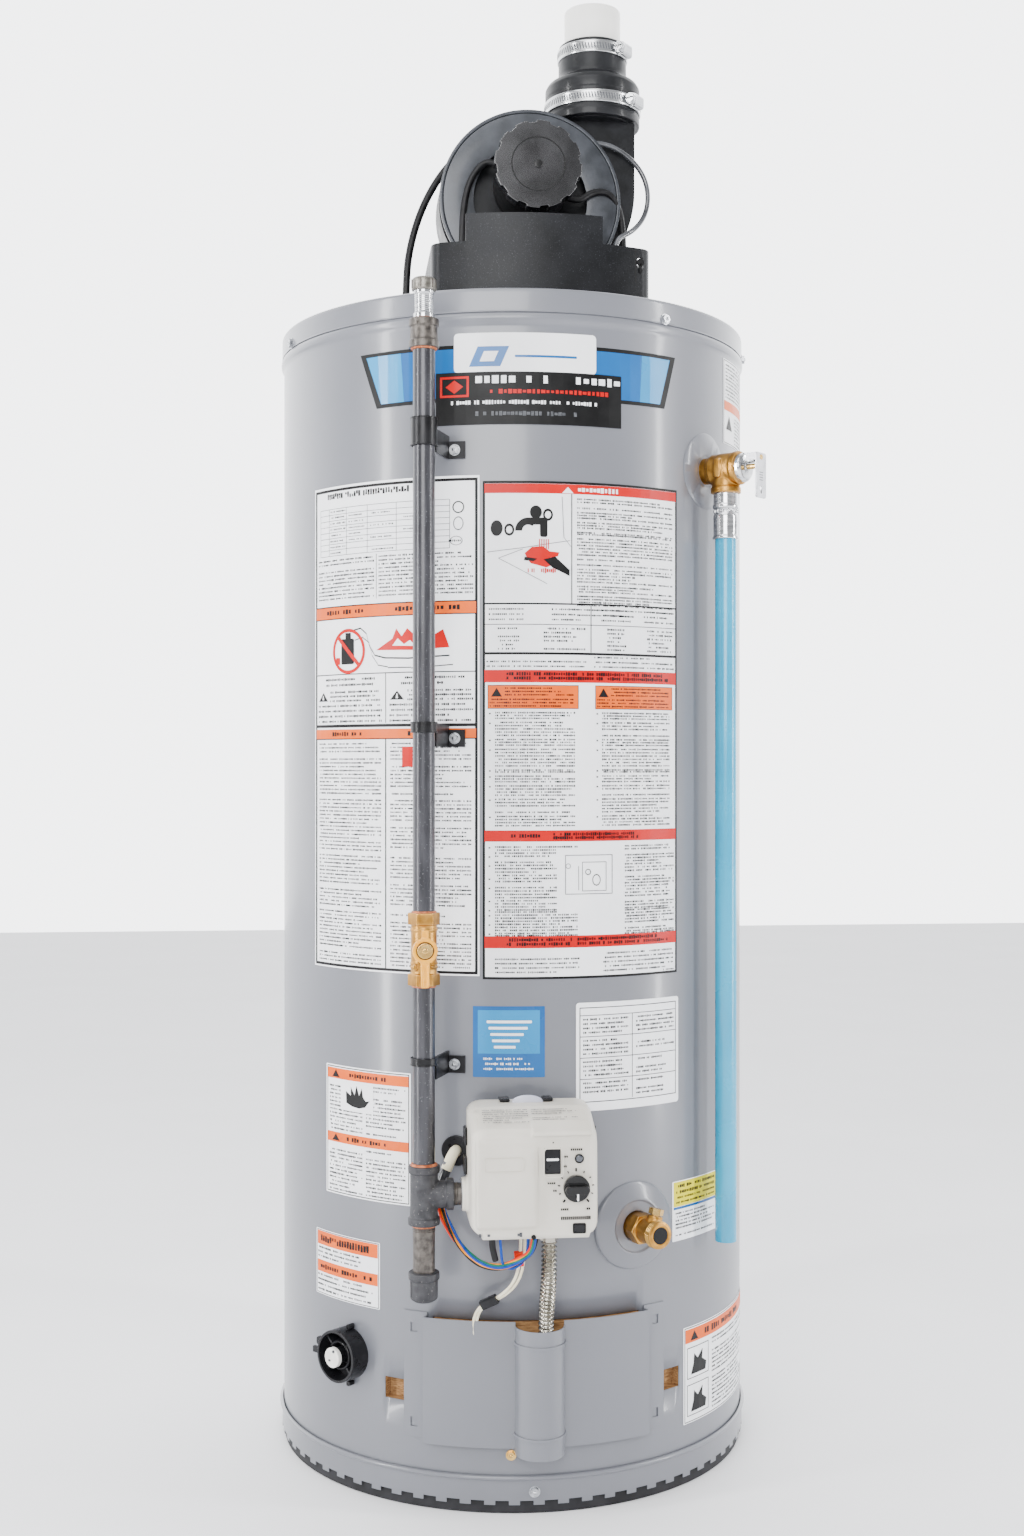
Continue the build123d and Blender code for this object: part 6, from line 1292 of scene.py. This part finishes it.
turned(rings, axis, rounded([(pipe_radius - 1, tee_low.z + 1), (pipe_radius + 2.6, tee_low.z + 0.2),
    (pipe_radius + 1.2, tee_low.z - 1.8), (pipe_radius - 1, tee_low.z - 2.2)], 0.5), 64)
joined("gas_tee_finished", [mesh, painted(as_mesh(rings, "dope"), dope)], ["gas_tee"])

nip_low, nip_high = span("gas_nipples")
bm = bmesh.new()
rod(bm, control_side, pipe_radius, reach - 8, nip_high.x - train.x, 56)
rod(bm, axis, pipe_radius, nip_low.z, tee_low.z + 8, 56)
threads = [tube([(train.x + reach - 1, train.y, tee_mid), (train.x + reach + 3.6, train.y, tee_mid)],
    pipe_radius + 0.1, iron_worn, 56, True, 1.8, 0.6), tube([(train.x, train.y, tee_low.z - 6.5),
    (train.x, train.y, tee_low.z)], pipe_radius + 0.1, iron_worn, 56, True, 1.8, 0.6)]
joined("gas_nipples_finished", [painted(as_mesh(bm, "nipples"), iron_worn), *threads],
    ["gas_nipples"])

cap_low, cap_high = span("drip_cap")
bm = bmesh.new()
turned(bm, axis, rounded([(0, cap_low.z), (9, cap_low.z), (13.4, cap_low.z + 3.2), (13.6, cap_high.z - 8),
    (15, cap_high.z - 7), (15, cap_high.z - 0.4), (pipe_radius - 1, cap_high.z), (0, cap_high.z)], 1.4, 4),
    64)
for k in range(4):
    turn = math.radians(90 * k + 20)
    prism(bm, aimed((train.x + 13.2 * math.cos(turn), train.y + 13.2 * math.sin(turn), cap_low.z + 13),
        (math.cos(turn), math.sin(turn), 0)), slab(2.6, 15, 1.0), -1, 0.7)
keep(eased(as_mesh(bm, "cap"), "cap", 0.3), "drip_cap_finished", [iron_fitting], "root",
    ["drip_cap"])


# ---------------- pipe clamps ----------------
softened("pipe_clamps", 0.35, motor_dark)
bm = bmesh.new()
for height, half in ((1056, 13), (772, 4.5), (451, 3)):
    for edge in (-half, half):
        turned(bm, axis, rounded([(12.0, height + edge - 0.7), (13.2, height + edge - 0.7),
            (13.2, height + edge + 0.7), (12.0, height + edge + 0.7), (12.0, height + edge - 0.7)], 0.4), 56)
keep(as_mesh(bm, "rims"), "clamp_rims", [motor_dark], "root")


# ---------------- gas control ----------------
cover_low, cover_high = span("gas_control_cover")


def control_cover():
    """The moulded cover: a sloping shoulder, a forward bulge at the left and the pocket of the rocker."""
    left, right, base, top = cover_low.x, cover_high.x, cover_low.z, cover_high.z
    face, back = cover_low.y, cover_high.y
    sideways = Matrix(((0, 0, 1, 0), (1, 0, 0, 0), (0, 1, 0, 0), (0, 0, 0, 1)))
    bm = bmesh.new()
    outline = [(back, base + 1), (face + 22, base), (face + 1.6, base + 4), (face, base + 13),
        (face + 2, top - 22), (face + 7, top - 15), (face + 45, top - 1), (back, top)]
    wide = right - left
    for inset, cut in ((0.0, 11.0), (1.2, 7.4), (3.0, 4.4), (5.4, 2.2), (8.6, 0.7), (12.0, 0.0)):
        prism(bm, sideways, [(y + (cut if y < back - 30 else 0), z + (cut if z > top - 30 else -cut) * -0.7)
            for y, z in outline], left + inset, right - inset)
    bulge = [(face + 20, base + 9), (face - 2.6, base + 12.5), (face - 3.4, base + 20),
        (face - 3.0, top - 33), (face + 3, top - 26), (face + 36, top - 5), (face + 44, top - 4),
        (face + 30, base + 12)]
    split = left + 0.475 * wide
    prism(bm, sideways, bulge, left + 5.0, split + 2)
    prism(bm, sideways, [(y + 1.4, z + (0.8 if z > base + 40 else -0.8) * -1) for y, z in bulge], left + 3.4,
        split + 4.4)
    ledge = [(face + 18, base - 0.2), (face + 2.4, base + 0.8), (face - 0.6, base + 4),
        (face - 0.6, base + 9), (face + 10, base + 10)]
    prism(bm, sideways, ledge, left + 9, right - 9)
    shoulder = [(face + 18, top - 9), (face - 1.0, top - 17.2), (face - 1.6, top - 21),
        (face + 12, top - 22)]
    prism(bm, sideways, shoulder, split, right - 6)
    prism(bm, aimed((left - 2.0, middle("gas_valve_body").y, 322.8), (-1, 0, 0)), slab(30, 30, 9), -6, 3.6)
    pocket = bmesh.new()
    switch = middle("rocker_switch")
    prism(pocket, aimed((switch.x, face, switch.z), (0, -1, 0)), slab(15.4, 24.6), -16, 9)
    mesh = painted(cut_from(cast("cover", bm, 1.15, 7), as_mesh(pocket, "pocket")), cover_white)
    extras = bmesh.new()
    seen = aimed((left, face - 3.1, 0), (0, -1, 0))
    x0, x1, z0, z1 = 11.5, 46.5, top - 52.5, top - 40.5

    def loop(outline, high, deep, thick, index=0):
        """A raised line round an outline."""
        count = len(outline)
        centre_x, centre_y = sum(p[0] for p in outline) / count, sum(p[1] for p in outline) / count
        for i in range(count):
            (ax, ay), (bx, by) = outline[i], outline[(i + 1) % count]
            corners = []
            for x, y in ((ax, ay), (bx, by)):
                away = Vector((x - centre_x, y - centre_y)).normalized() * thick
                corners.append(((x, y), (x + away.x, y + away.y)))
            prism(extras, seen, [corners[0][0], corners[1][0], corners[1][1], corners[0][1]], deep, high,
                index)

    loop(slab(x1 - x0, z1 - z0, 2.2, (x0 + x1) / 2, (z0 + z1) / 2), 0.8, -1.0, 1.0)
    prism(extras, seen, slab(x1 - x0 + 0.6, z1 - z0 + 0.6, 2.4, (x0 + x1) / 2, (z0 + z1) / 2), -0.8, 0.25)
    frame_spot = middle("rocker_switch")
    panel = aimed((0, face - 0.2, 0), (0, -1, 0))
    loop(slab(18.8, 27.8, 3.4, frame_spot.x - left, frame_spot.z), 3.4, 1.4, -1.3)
    lens = (27.0, 368.0)
    turned(extras, panel @ upright(lens[0], lens[1]), rounded([(0, 1.1), (2.4, 1.1), (3.2, 0.6), (3.4, -0.6),
        (0, -0.6)], 0.4), 32, 2)
    turned(extras, panel @ upright(lens[0], lens[1]), [(3.4, 0.7), (4.4, 0.4), (4.4, -0.6), (3.4, -0.6),
        (3.4, 0.7)], 32, 1)
    socket = (27.0, 303.0)
    prism(extras, panel, slab(12.4, 9.6, 1.2, *socket), -2, 0.95, 1)
    prism(extras, panel, slab(9.2, 6.4, 0.8, *socket), -2, 1.1, 3)
    knob = middle("temperature_knob")
    for k in range(11):
        turn = math.radians(228 - 27.6 * k)
        thick, reach_in, reach_out = 0.9 if k % 5 else 1.5, 15.2, 17.2 if k % 5 else 18.2
        place = panel @ upright(knob.x, knob.z) @ Matrix.Rotation(turn, 4, "Z")
        prism(extras, place, slab(reach_out - reach_in, thick, 0.2, (reach_in + reach_out) / 2, 0), -1, 0.32,
            1)
    for x, z, wide, tall in ((25, 376.5, 12.6, 1.8), (13.8, 370, 6, 1.6), (14.2, 361, 5, 1.6),
            (1, 345.5, 8, 1.5), (4.4, 338.4, 4.6, 1.6), (13.4, 320.8, 8, 1.8), (36.2, 321, 5, 1.8),
            (24, 312.6, 29, 3.0), (2, 383.4, 1.0, 1.0)):
        for k in range(max(1, int(wide / 1.9))):
            prism(extras, panel, slab(1.25, tall, 0.2, x - wide / 2 + 1.9 * (k + 0.5), z), -1, 0.3, 1)
    for x, tall in ((-66, 3), (-58, 2.2), (-30, 2.4), (-28, 4.0)):
        prism(extras, panel, slab(2.6, tall, 0.4, x, base + 6), -1, 1.0, 4)
    prism(extras, panel, disc(2.3, 20, -16, base + 3.4), -1, 1.6, 1)
    trim = painted(eased(as_mesh(extras, "cover_trim"), "cover_trim", 0.22), cover_white, ink_and_shade, lens_dark,
        plastic_black, ink_grey)
    slope = Matrix.Translation(Vector((0, face + 25.6,
        top - 7.2)) * MM) @ Matrix.Rotation(math.radians(20.0), 4, "X")
    rows = []
    for x0, x1, seed in ((-61, -19, 301), (-14, 28, 302)):
        block = grown(print_lines, no_mesh(), Width=(x1 - x0) * MM, Height=22 * MM, Marks=30, Lines=7,
            Tall=1.3 * MM, Ragged=0.4, Centre=((x0 + x1) / 2 * MM, 0, 0.0006), Seed=seed, Finish=ink_grey)
        block.transform(slope)
        rows.append(block)
    return joined("gas_control_cover_finished", [mesh, trim, *rows],
        ["gas_control_cover"])


control_cover()
softened("gas_control_body", 0.6, cover_back)
softened("control_clips", 1.1, plastic_black)
softened("temperature_knob", 0.9, plastic_gloss, body="knob")
softened("rocker_switch", 0.7, plastic_black, body="rocker")
rock_low, rock_high = span("rocker_switch")
rock = (rock_low + rock_high) / 2
bm = bmesh.new()
prism(bm, aimed((rock.x, rock_low.y, rock.z + 1.6), (0, -1, 0)), slab(11.4, 2.1, 0.6), -1.5, 0.5)
keep(eased(as_mesh(bm, "bar"), "bar", 0.2), "rocker_bar", [paper], "rocker")
knob_low, knob_high = span("temperature_knob")
knob = (knob_low + knob_high) / 2
bm = bmesh.new()
place = aimed((knob.x, knob_low.y, knob.z), (0, -1, 0))
prism(bm, place, slab(1.5, 6.4, 0.5, 0, -6.2), -2.0, 0.25)
keep(eased(as_mesh(bm, "pointer"), "pointer", 0.15), "knob_pointer", [paper], "knob")
bm = bmesh.new()
prism(bm, aimed((-15, -285, cover_high.z), (0, -1, 0)), [(-15, -1)] + [(15 * math.cos(math.pi * k / 16) * -1,
    6.4 * math.sin(math.pi * k / 16)) for k in range(1, 16)] + [(15, -1)], -1.6, 1.6)
keep(eased(as_mesh(bm, "tab"), "tab", 0.9), "lifting_tab", [tab_frost], "root")


# ---------------- leads and tubes at the control ----------------
flex_line = [(5.4, -292, 288.5), (5.4, -292, 264), (5.4, -288, 236), (4.8, -274, 206), (5.1, -269.5, 170),
    (5.4, -269, 134), (5.4, -270.5, 108), (5.4, -252, 107)]
flex = tube([(5.4, -292, 291.5)] + flex_line, 6.4, flex_steel, 40, False, 4.6, 2.8)
nut = bmesh.new()
prism(nut, upright(5.4, -292), hexagon(7.8, 0), 279, 292.4)
turned(nut, upright(5.4, -292), rounded([(0, 276.4), (6.6, 276.4), (7.2, 279), (0, 279)], 0.5), 40)
joined("flex_gas_tube_finished", [flex, painted(eased(as_mesh(nut, "nut"), "nut", 0.5), flex_steel)],
    ["flex_gas_tube"])

loop_line = [(-91.6, -255.3, 342), (-99.5, -257.2, 324), (-96, -262, 300), (-84, -266, 273),
    (-66, -282, 256), (-44, -296, 252), (-23, -302, 262), (-10, -303, 274), (-8, -303, 293)]
leads = []
for k, (finish, away) in enumerate(((wire_red, 3.0), (wire_amber, 2.6), (wire_green, 3.0), (wire_blue, 2.8),
        (wire_amber, 1.0), (cable_black, 1.4))):
    leads.append(smooth_all(grown(wound, line_through(loop_line), Radius=1.35 * MM, Away=away * MM,
        Turn=0.17 + 0.03 * k, Begin=1.05 * k, Wander=3.2 * MM, Seed=k, Finish=finish)))
short = [(-51, -302, 296), (-51, -302, 284), (-50, -300, 272), (-47, -297, 262)]
leads.append(tube(short, 3.1, cable_black, 20))
leads.append(tube([(-44, -303, 296), (-43, -303, 282), (-42, -301, 268), (-40, -298, 256), (-30, -296, 252),
    (-18, -300, 262), (-16, -302, 280), (-16, -302, 294)], 1.3, wire_blue, 12))
for shift, x_end in ((0, 0), (4.0, 3.0)):
    line = [(-22 + shift, -292, 294), (-22 + shift, -292, 264), (-26 + shift, -280, 236),
        (-40 + shift, -268, 218), (-58 + x_end, -258, 208), (-65.4 + x_end, -252.5, 192),
        (-63.6 + x_end, -253.4, 170), (-63.0 + x_end, -250, 160)]
    leads.append(tube(line, 1.5, wire_cream, 12))
joint = bmesh.new()
prism(joint, aimed((-24, -291, 262), (0.1, 0.1, -1), (0, -1, 0)), slab(8.5, 7, 1.5), -6, 8)
prism(joint, aimed((-50, -263.6, 212), (-1, 0.45, -0.55), (0, -1, 0)), slab(9.5, 7.5, 2), -9, 9, 1)
leads.append(painted(eased(as_mesh(joint, "joint"), "joint", 0.8), wire_red, plastic_black))
joined("control_wiring_finished", leads, ["control_wiring"])

softened("harness_plug", 0.8, plug_ivory)
bm = bmesh.new()
sleeve = tube([(-89, -255, 347), (-93, -255.6, 337), (-96.5, -256.4, 327)], 5.2, tube_clear, 24)
keep(sleeve, "plug_sleeve", (), "root")
softened("wiring_grommets", 0.9, plastic_black)


# ---------------- vapour sensor ----------------
softened("vapor_sensor_holder", 0.8, plastic_black)
softened("vapor_sensor", 0.7, sensor_white)
sensor_angle, sensor_height = -46.6, 139
sensor = round_jacket(sensor_angle, sensor_height, jacket_radius)
bm = bmesh.new()
turned(bm, sensor, rounded([(23.5, 20.4), (26.3, 20.4), (26.3, 17.8), (23.5, 17.8), (23.5, 20.4)], 0.8), 72)
turned(bm, sensor, rounded([(12.2, 4), (15, 4), (15, 14), (13.4, 15.4), (12.2, 14), (12.2, 4)], 0.8), 56)
prism(bm, sensor, slab(20, 9, 3.4, -34, 4), 1.2, 4.4)
prism(bm, sensor, slab(5, 5, 2, 6, -29), 1.2, 8)
prism(bm, sensor, slab(5, 5, 2, 6, 28.4), 1.2, 8)
for turn in (45, 135, 225, 315):
    prism(bm, sensor @ Matrix.Rotation(math.radians(turn), 4, "Z"), slab(9, 2, 0.5, 19.5, 0), 1, 15)
turned(bm, sensor @ upright(3, 7), rounded([(0, 26.4), (1.3, 26.4), (1.6, 24), (0, 24)], 0.4), 20, 1)
prism(bm, sensor, slab(3.2, 2.0, 0.6, -3, -3), 24, 25.4, 1)
keep(eased(as_mesh(bm, "sensor_trim"), "sensor_trim", 0.4), "sensor_trim", [plastic_black, ink_grey], "root")


# ---------------- relief valve and its pipe ----------------
relief_angle, relief_height = 46.4, 1040
relief = round_jacket(relief_angle, relief_height, 0)
pipe_mid = middle("discharge_pipe")
pipe_low, pipe_high = span("discharge_pipe")
down = upright(pipe_mid.x, pipe_mid.y)
bm = bmesh.new()
rod(bm, relief, 13.6, 250, 262)
rod(bm, relief, 16.2, 264, 277)
rod(bm, relief, 16.6, 272, 296)
rod(bm, relief, 17.3, 290, 296)
rod(bm, relief, 14.9, 261, 265)
rod(bm, down, 14.2, 1021, 1040)
rod(bm, down, 15.6, 1015, 1021)
prism(bm, aimed(Vector((pipe_mid.x, pipe_mid.y, 1040)), (-0.1, -1, 0)), slab(8, 17, 3), 10, 17.2)
prism(bm, aimed(Vector((pipe_mid.x, pipe_mid.y, 1040)), (-0.72, -0.69, 0)), slab(8, 20, 3), 10, 17.4)
keep(painted(cast("relief", bm, 0.75, 6), brass), "relief_valve_finished", (), "root",
    ["relief_valve_body"])
bm = bmesh.new()
turned(bm, relief, rounded([(0, 295), (15, 295), (15, 300.4), (13, 303), (6, 303.4), (5, 305), (0, 305)],
    1.0, 4), 64)
turned(bm, relief, [(0, 304), (2.8, 304), (2.8, 315.6), (2.2, 316.2), (0, 316.2)], 32, 1)
for side in (-1, 1):
    prism(bm, relief, slab(1.6, 9, 2.4, side * 5.2, 9), 302, 314)
trim = painted(eased(as_mesh(bm, "bonnet"), "bonnet", 0.35), bright_steel, brass_bright)
keep(trim, "relief_bonnet_finished", (), "root", ["relief_bonnet"])
softened("relief_lever", 0.45, lever_tin, body="test_lever")
bm = bmesh.new()
plate = max((nodes["relief_lever"].data.vertices), key=lambda v: (relief.inverted() @ v.co).z)
face_at = (relief.inverted() @ plate.co).z / MM
turned(bm, relief @ upright(0, 8.6, 0), rounded([(0, face_at + 0.9), (2.4, face_at + 0.9),
    (3.0, face_at - 0.2), (0, face_at - 0.2)], 0.4), 24, 0)
prism(bm, relief, slab(2.0, 3.4, 0.9, 0, -27), face_at - 0.2, face_at + 0.15, 1)
for k in range(4):
    prism(bm, relief, slab(7, 0.7, 0.2, 0, -7 - 2.6 * k), face_at - 0.2, face_at + 0.12, 2)
keep(eased(as_mesh(bm, "lever_trim"), "lever_trim", 0.15), "lever_trim", [brass_bright, ink_and_shade, ink_grey],
    "test_lever")

bm = bmesh.new()
turned(bm, down, rounded([(10.6, 1016), (12.6, 1016), (12.8, 1004), (13.6, 1002.6), (13.6, 1000),
    (11.6, 998), (11.0, 995.6), (12.6, 992.6), (13.0, 990), (12.6, 972), (13.7, 970), (13.7, 968),
    (11.2, 967.6), (10.6, 967.6), (10.6, 1016)], 1.1, 4), 72)
for k in range(12):
    turn = math.radians(30 * k)
    spot = (pipe_mid.x + 11.4 * math.cos(turn), pipe_mid.y + 11.4 * math.sin(turn), 996.4)
    bmesh.ops.create_icosphere(bm, subdivisions=2, radius=1.9 * MM,
        matrix=Matrix.Translation(Vector(spot) * MM))
keep(as_mesh(bm, "adapter", 40), "discharge_adapter_finished", [bright_steel], "root",
    ["discharge_adapter"])
bm = bmesh.new()
turned(bm, down, rounded([(9.8, pipe_low.z + 6), (9.8, pipe_low.z), (11.1, pipe_low.z),
    (11.1, pipe_high.z - 4), (9.8, pipe_high.z - 4), (9.8, pipe_low.z + 6)], 0.4, 3), 64)
keep(as_mesh(bm, "pipe"), "discharge_pipe_finished", [plastic_blue], "root", ["discharge_pipe"])


# ---------------- escutcheons and drain valve ----------------
drain_angle, drain_height = 22.6, 276
drain = round_jacket(drain_angle, drain_height, 0)
bm = bmesh.new()
turned(bm, drain, rounded([(14.7, 254.2), (44, 251.0), (44.2, 253.2), (43.4, 255.4), (40, 257.2),
    (28.4, 261.6), (26.6, 262.0), (25.8, 261.2), (24.8, 260.0), (16, 259.6), (14.7, 258.6), (14.7, 254.2)],
    0.8, 4), 96)
relief_plate = Sheet("relief_plate", (jacket_paint,))
steps = 72
for i in range(steps):
    a, b = 2 * math.pi * i / steps, 2 * math.pi * (i + 1) / steps
    for outer, inner, off_o, off_i in ((39.5, 38.2, 0.0, 1.1), (38.2, 18.0, 1.1, 1.2),
            (18.0, 16.2, 1.2, 0.0)):
        face = relief_plate.bm.faces.new([relief_plate.bm.verts.new((relief_plate.flat(relief_angle)
            + r * math.cos(t), relief_height + r * math.sin(t), 0.2 + off)) for r, t,
            off in ((outer, a, off_o), (outer, b, off_o), (inner, b, off_i), (inner, a, off_i))])
bmesh.ops.remove_doubles(relief_plate.bm, verts=relief_plate.bm.verts[:], dist=0.01)
cover_plate = smooth_all(on_drum(relief_plate.bm, "relief_plate", jacket_paint))
joined("valve_escutcheons_finished", [painted(as_mesh(bm, "dish"), jacket_paint), cover_plate],
    ["valve_escutcheons"])

bm = bmesh.new()
rod(bm, drain, 14.2, 254, 266)
prism(bm, drain, hexagon(14.0, 0), 264, 276)
rod(bm, drain, 12.2, 272, 296)
stem_spot = drain @ (Vector((0, 0, 287)) * MM) / MM
turn, stem_lean = math.radians(drain_angle), math.radians(15)
lean = Vector((math.cos(turn), math.sin(turn), 0)) * math.sin(stem_lean) + Vector((0, 0,
    math.cos(stem_lean)))
stem = aimed(stem_spot, lean, -Vector((math.sin(turn), -math.cos(turn), 0)))
rod(bm, stem, 7.8, 0, 16.6, 48)
prism(bm, stem, hexagon(7.6, 12), 9, 13)
body_mesh = painted(cast("drain", bm, 0.7, 5), brass)
lip = bmesh.new()
turned(lip, drain, rounded([(8, 284), (12.4, 294), (13.2, 296), (13.2, 302.4), (11.0, 303), (8.4, 303),
    (8, 302), (8, 284)], 0.5), 64)
# black disc inside the bore: painted shade for the depth of the outlet
rod(lip, drain, 8.1, 286, 286.6, 40, 1)
threads = tube([drain @ (Vector((0, 0, 295.4)) * MM) / MM, drain @ (Vector((0, 0, 302.0)) * MM) / MM], 13.2,
    brass_bright, 64, True, 2.2, 0.9)
# black disc across the mouth of the outlet: painted shade standing in for the dark inside the bore
hole_shade_disc = bmesh.new()
rod(hole_shade_disc, drain, 8.1, 303.1, 302.9, 40)
joined("drain_valve_finished", [body_mesh, painted(as_mesh(lip, "lip"), brass, ink_and_shade), threads,
    painted(as_mesh(hole_shade_disc, "hole_shade_disc"), ink_and_shade)], ["drain_valve_body"])
softened("drain_valve_stem", 0.4, brass_bright, body="drain_stem")


# ---------------- water connections ----------------
node_low, node_high = span("water_nipples")
parts = []
for x in (node_low.x + 13.335, node_high.x - 13.335):
    y, low, high = (node_low.y + node_high.y) / 2, node_low.z, node_high.z
    bm = bmesh.new()
    turned(bm, upright(x, y), rounded([(10.4, low), (13.1, low), (13.3, high - 22), (12.6, high - 20),
        (12.6, high - 0.6), (12.0, high), (10.4, high), (10.4, low)], 0.5), 64)
    parts.append(painted(as_mesh(bm, "nipple"), galvanised))
    parts.append(tube([(x, y, high - 20.5), (x, y, high - 1.0)], 12.7, galvanised, 56, True, 1.9, 0.9))
    ring = bmesh.new()
    turned(ring, upright(x, y), rounded([(13.0, 1204), (21, 1204.4), (20, 1207.2), (14.6, 1208.6),
        (13.2, 1208.4)], 0.8), 56)
    parts.append(painted(as_mesh(ring, "collar"), plastic_blue if x > 0 else wire_red))
joined("water_nipples_finished", parts, ["water_nipples"])


# ---------------- vent hood and blower ----------------
softened("vent_hood", 2.2, hood_charcoal)
# black patches on the hood: painted shade standing in for the dark inside its slot and keyhole
bm = bmesh.new()
prism(bm, aimed((108.5, -182.6, 1249), (0.42, -1, 0)), slab(1.1, 34, 0.4), -1.5, 0.5)
place = aimed((114.2, -181.6, 1253.5), (0.32, -1, 0))
rod(bm, place, 4.0, -1, 0.55, 32)
prism(bm, place, slab(3.0, 10, 1.4, 0, -6), -1, 0.55)
keep(as_mesh(bm, "slots"), "hood_slot_shade", [ink_and_shade], "root")

softened("blower_housing", 1.0, blower_dark)
softened("motor_can", 1.0, motor_dark)
softened("motor_cap", 0.9, motor_gloss)
cap_mid = middle("motor_cap")
cap_face = span("motor_cap")[0].y
fan = aimed((cap_mid.x, cap_face, cap_mid.z), (0, -1, 0))
cap_radius = (span("motor_cap")[1].x - span("motor_cap")[0].x) / 2
bm = bmesh.new()
turned(bm, fan, [(0.60 * cap_radius, -0.4), (0.60 * cap_radius, 0.28), (0.615 * cap_radius, 0.28),
    (0.615 * cap_radius, -0.4), (0.60 * cap_radius, -0.4)], 96)
turned(bm, fan, rounded([(0, 1.1), (3.6, 1.1), (4.4, 0.6), (4.6, -0.4), (0, -0.4)], 0.4), 40, 1)
for k in range(40):
    turn = math.radians(9 * k)
    prism(bm, fan @ Matrix.Rotation(turn, 4, "Z"), slab(1.6, 2.2, 0.4, 0.607 * cap_radius, 0), -0.3, 0.32)
keep(as_mesh(bm, "cap_trim"), "motor_cap_trim", [ink_and_shade, plastic_gloss], "root")

scroll = aimed((6, span("blower_housing")[0].y, 1330), (0, -1, 0))
bm = bmesh.new()
turned(bm, scroll, rounded([(92.2, -3), (95.9, -3), (95.9, 0.9), (92.2, 0.9), (92.2, -3)], 0.8), 128, 0)
turned(bm, scroll, rounded([(60, -0.6), (91.8, -0.6), (91.8, 0.35), (60, 0.5), (60, -0.6)], 0.3), 128, 0)
keep(as_mesh(bm, "face"), "blower_face_plate", [blower_face], "root")

outlet = middle("vent_stub")
vent_axis = upright(outlet.x, outlet.y)
bm = bmesh.new()
turned(bm, vent_axis, rounded([(44.6, 1423), (50.9, 1423), (50.9, 1431), (50.2, 1433), (50.2, 1452),
    (50.9, 1454), (50.9, 1463), (48, 1468), (37.6, 1474), (36.6, 1478), (36.6, 1486), (36.6, 1508),
    (35.8, 1510), (30.0, 1510), (30.0, 1478), (44.6, 1462), (44.6, 1423)], 1.6, 4), 120)
keep(as_mesh(bm, "coupling"), "vent_coupling_finished", [rubber_black], "root",
    ["vent_coupling"])
parts = []
for height, inner in ((1442, 50.95), (1500, 36.65)):
    bm = bmesh.new()
    turned(bm, vent_axis, rounded([(inner - 0.4, height - 6.4), (inner + 0.9, height - 6.4),
        (inner + 1.3, height - 5.2), (inner + 1.1, height), (inner + 1.3, height + 5.2),
        (inner + 0.9, height + 6.4), (inner - 0.4, height + 6.4), (inner - 0.4, height - 6.4)], 0.5, 3), 120)
    turn = math.radians(-40)
    out = Vector((math.cos(turn), math.sin(turn), 0))
    along = Vector((-math.sin(turn), math.cos(turn), 0))
    spot = Vector((outlet.x, outlet.y, height)) + out * (inner + 4.4)
    worm = aimed(spot, -along)
    prism(bm, worm, slab(7.6, 13.6, 3.0), -8.5, 8.5)
    prism(bm, worm, slab(3, 15.2, 1, -3.0, 0), -7.5, 7.5)
    turned(bm, worm, rounded([(0, 8), (5.4, 8), (5.8, 9), (5.8, 13), (0, 13)], 0.4), 32)
    prism(bm, worm, hexagon(4.6), 12.6, 15.6)
    # black bar across the top of the screw head: painted shade for its slot
    prism(bm, worm, slab(8.6, 1.3), 15.4, 15.9, 1)
    parts.append(painted(eased(as_mesh(bm, "clamp"), "clamp", 0.4), stainless, ink_and_shade))
    parts.append(grown(slots, no_mesh(), Radius=(inner + 1.15) * MM, Count=int(inner * 2.1), Long=6.4 * MM,
        Wide=1.3 * MM, Lean=0.22, Centre=(outlet.x * MM, outlet.y * MM, height * MM), Finish=ink_grey))
joined("coupling_clamps_finished", parts, ["coupling_clamps"])
bm = bmesh.new()
turned(bm, vent_axis, rounded([(26.25, 1478), (29.8, 1476), (29.85, 1511), (30.15, 1512), (30.15, 1547.2),
    (29.4, 1548), (26.9, 1548), (26.25, 1547), (26.25, 1478)], 0.5, 3), 96)
keep(as_mesh(bm, "stub"), "vent_stub_finished", [pipe_white], "root", ["vent_stub"])

softened("pressure_switch", 0.9, plastic_black)
tubing = tube([(60, -112.2, 1390), (60, -122, 1390), (76, -122, 1397), (97, -120, 1393), (117, -118, 1380),
    (130, -118, 1362), (134, -120, 1340), (128, -128, 1316), (112, -142, 1296), (92, -150, 1286),
    (92, -150, 1264)], 2.6, tube_clear, 20)
keep(tubing, "sensing_tube_finished", (), "root", ["sensing_tube"])
cables = [tube([(-4, -56.8, 1412), (-4, -39, 1412), (-14, -31, 1427), (-34, -29, 1430), (-58, -27, 1414),
    (-82, -28, 1388), (-102, -30, 1352), (-115, -31, 1312), (-121, -32, 1271), (-121, -32, 1203)], 4.0,
    cable_black, 24), tube([(-28.5, -134, 1364.6), (-41, -134, 1370.4), (-57, -133, 1352), (-64, -132, 1328),
    (-67, -134, 1292), (-67, -134, 1231)], 3.4, cable_black, 20), tube([(43.3, -134, 1333.3),
    (56.1, -134, 1328.1), (70, -133, 1340), (88, -130, 1342), (101, -126, 1328), (106, -121, 1300),
    (107, -118, 1266), (107, -118, 1231)], 3.4, cable_black, 20)]
joined("blower_wiring_finished", cables, ["blower_wiring"])


# ---------------- floor ----------------
bm = bmesh.new()
bmesh.ops.create_grid(bm, x_segments=24, y_segments=24, size=6)
bmesh.ops.translate(bm, verts=bm.verts[:], vec=(0, 0, -0.0006))
ground_mesh = as_mesh(bm, "ground")
ground = bpy.data.objects.new("ground", ground_mesh)
ground_mesh.materials.append(floor_white)
bpy.context.scene.collection.objects.link(ground)
ground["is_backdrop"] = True

low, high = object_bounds()
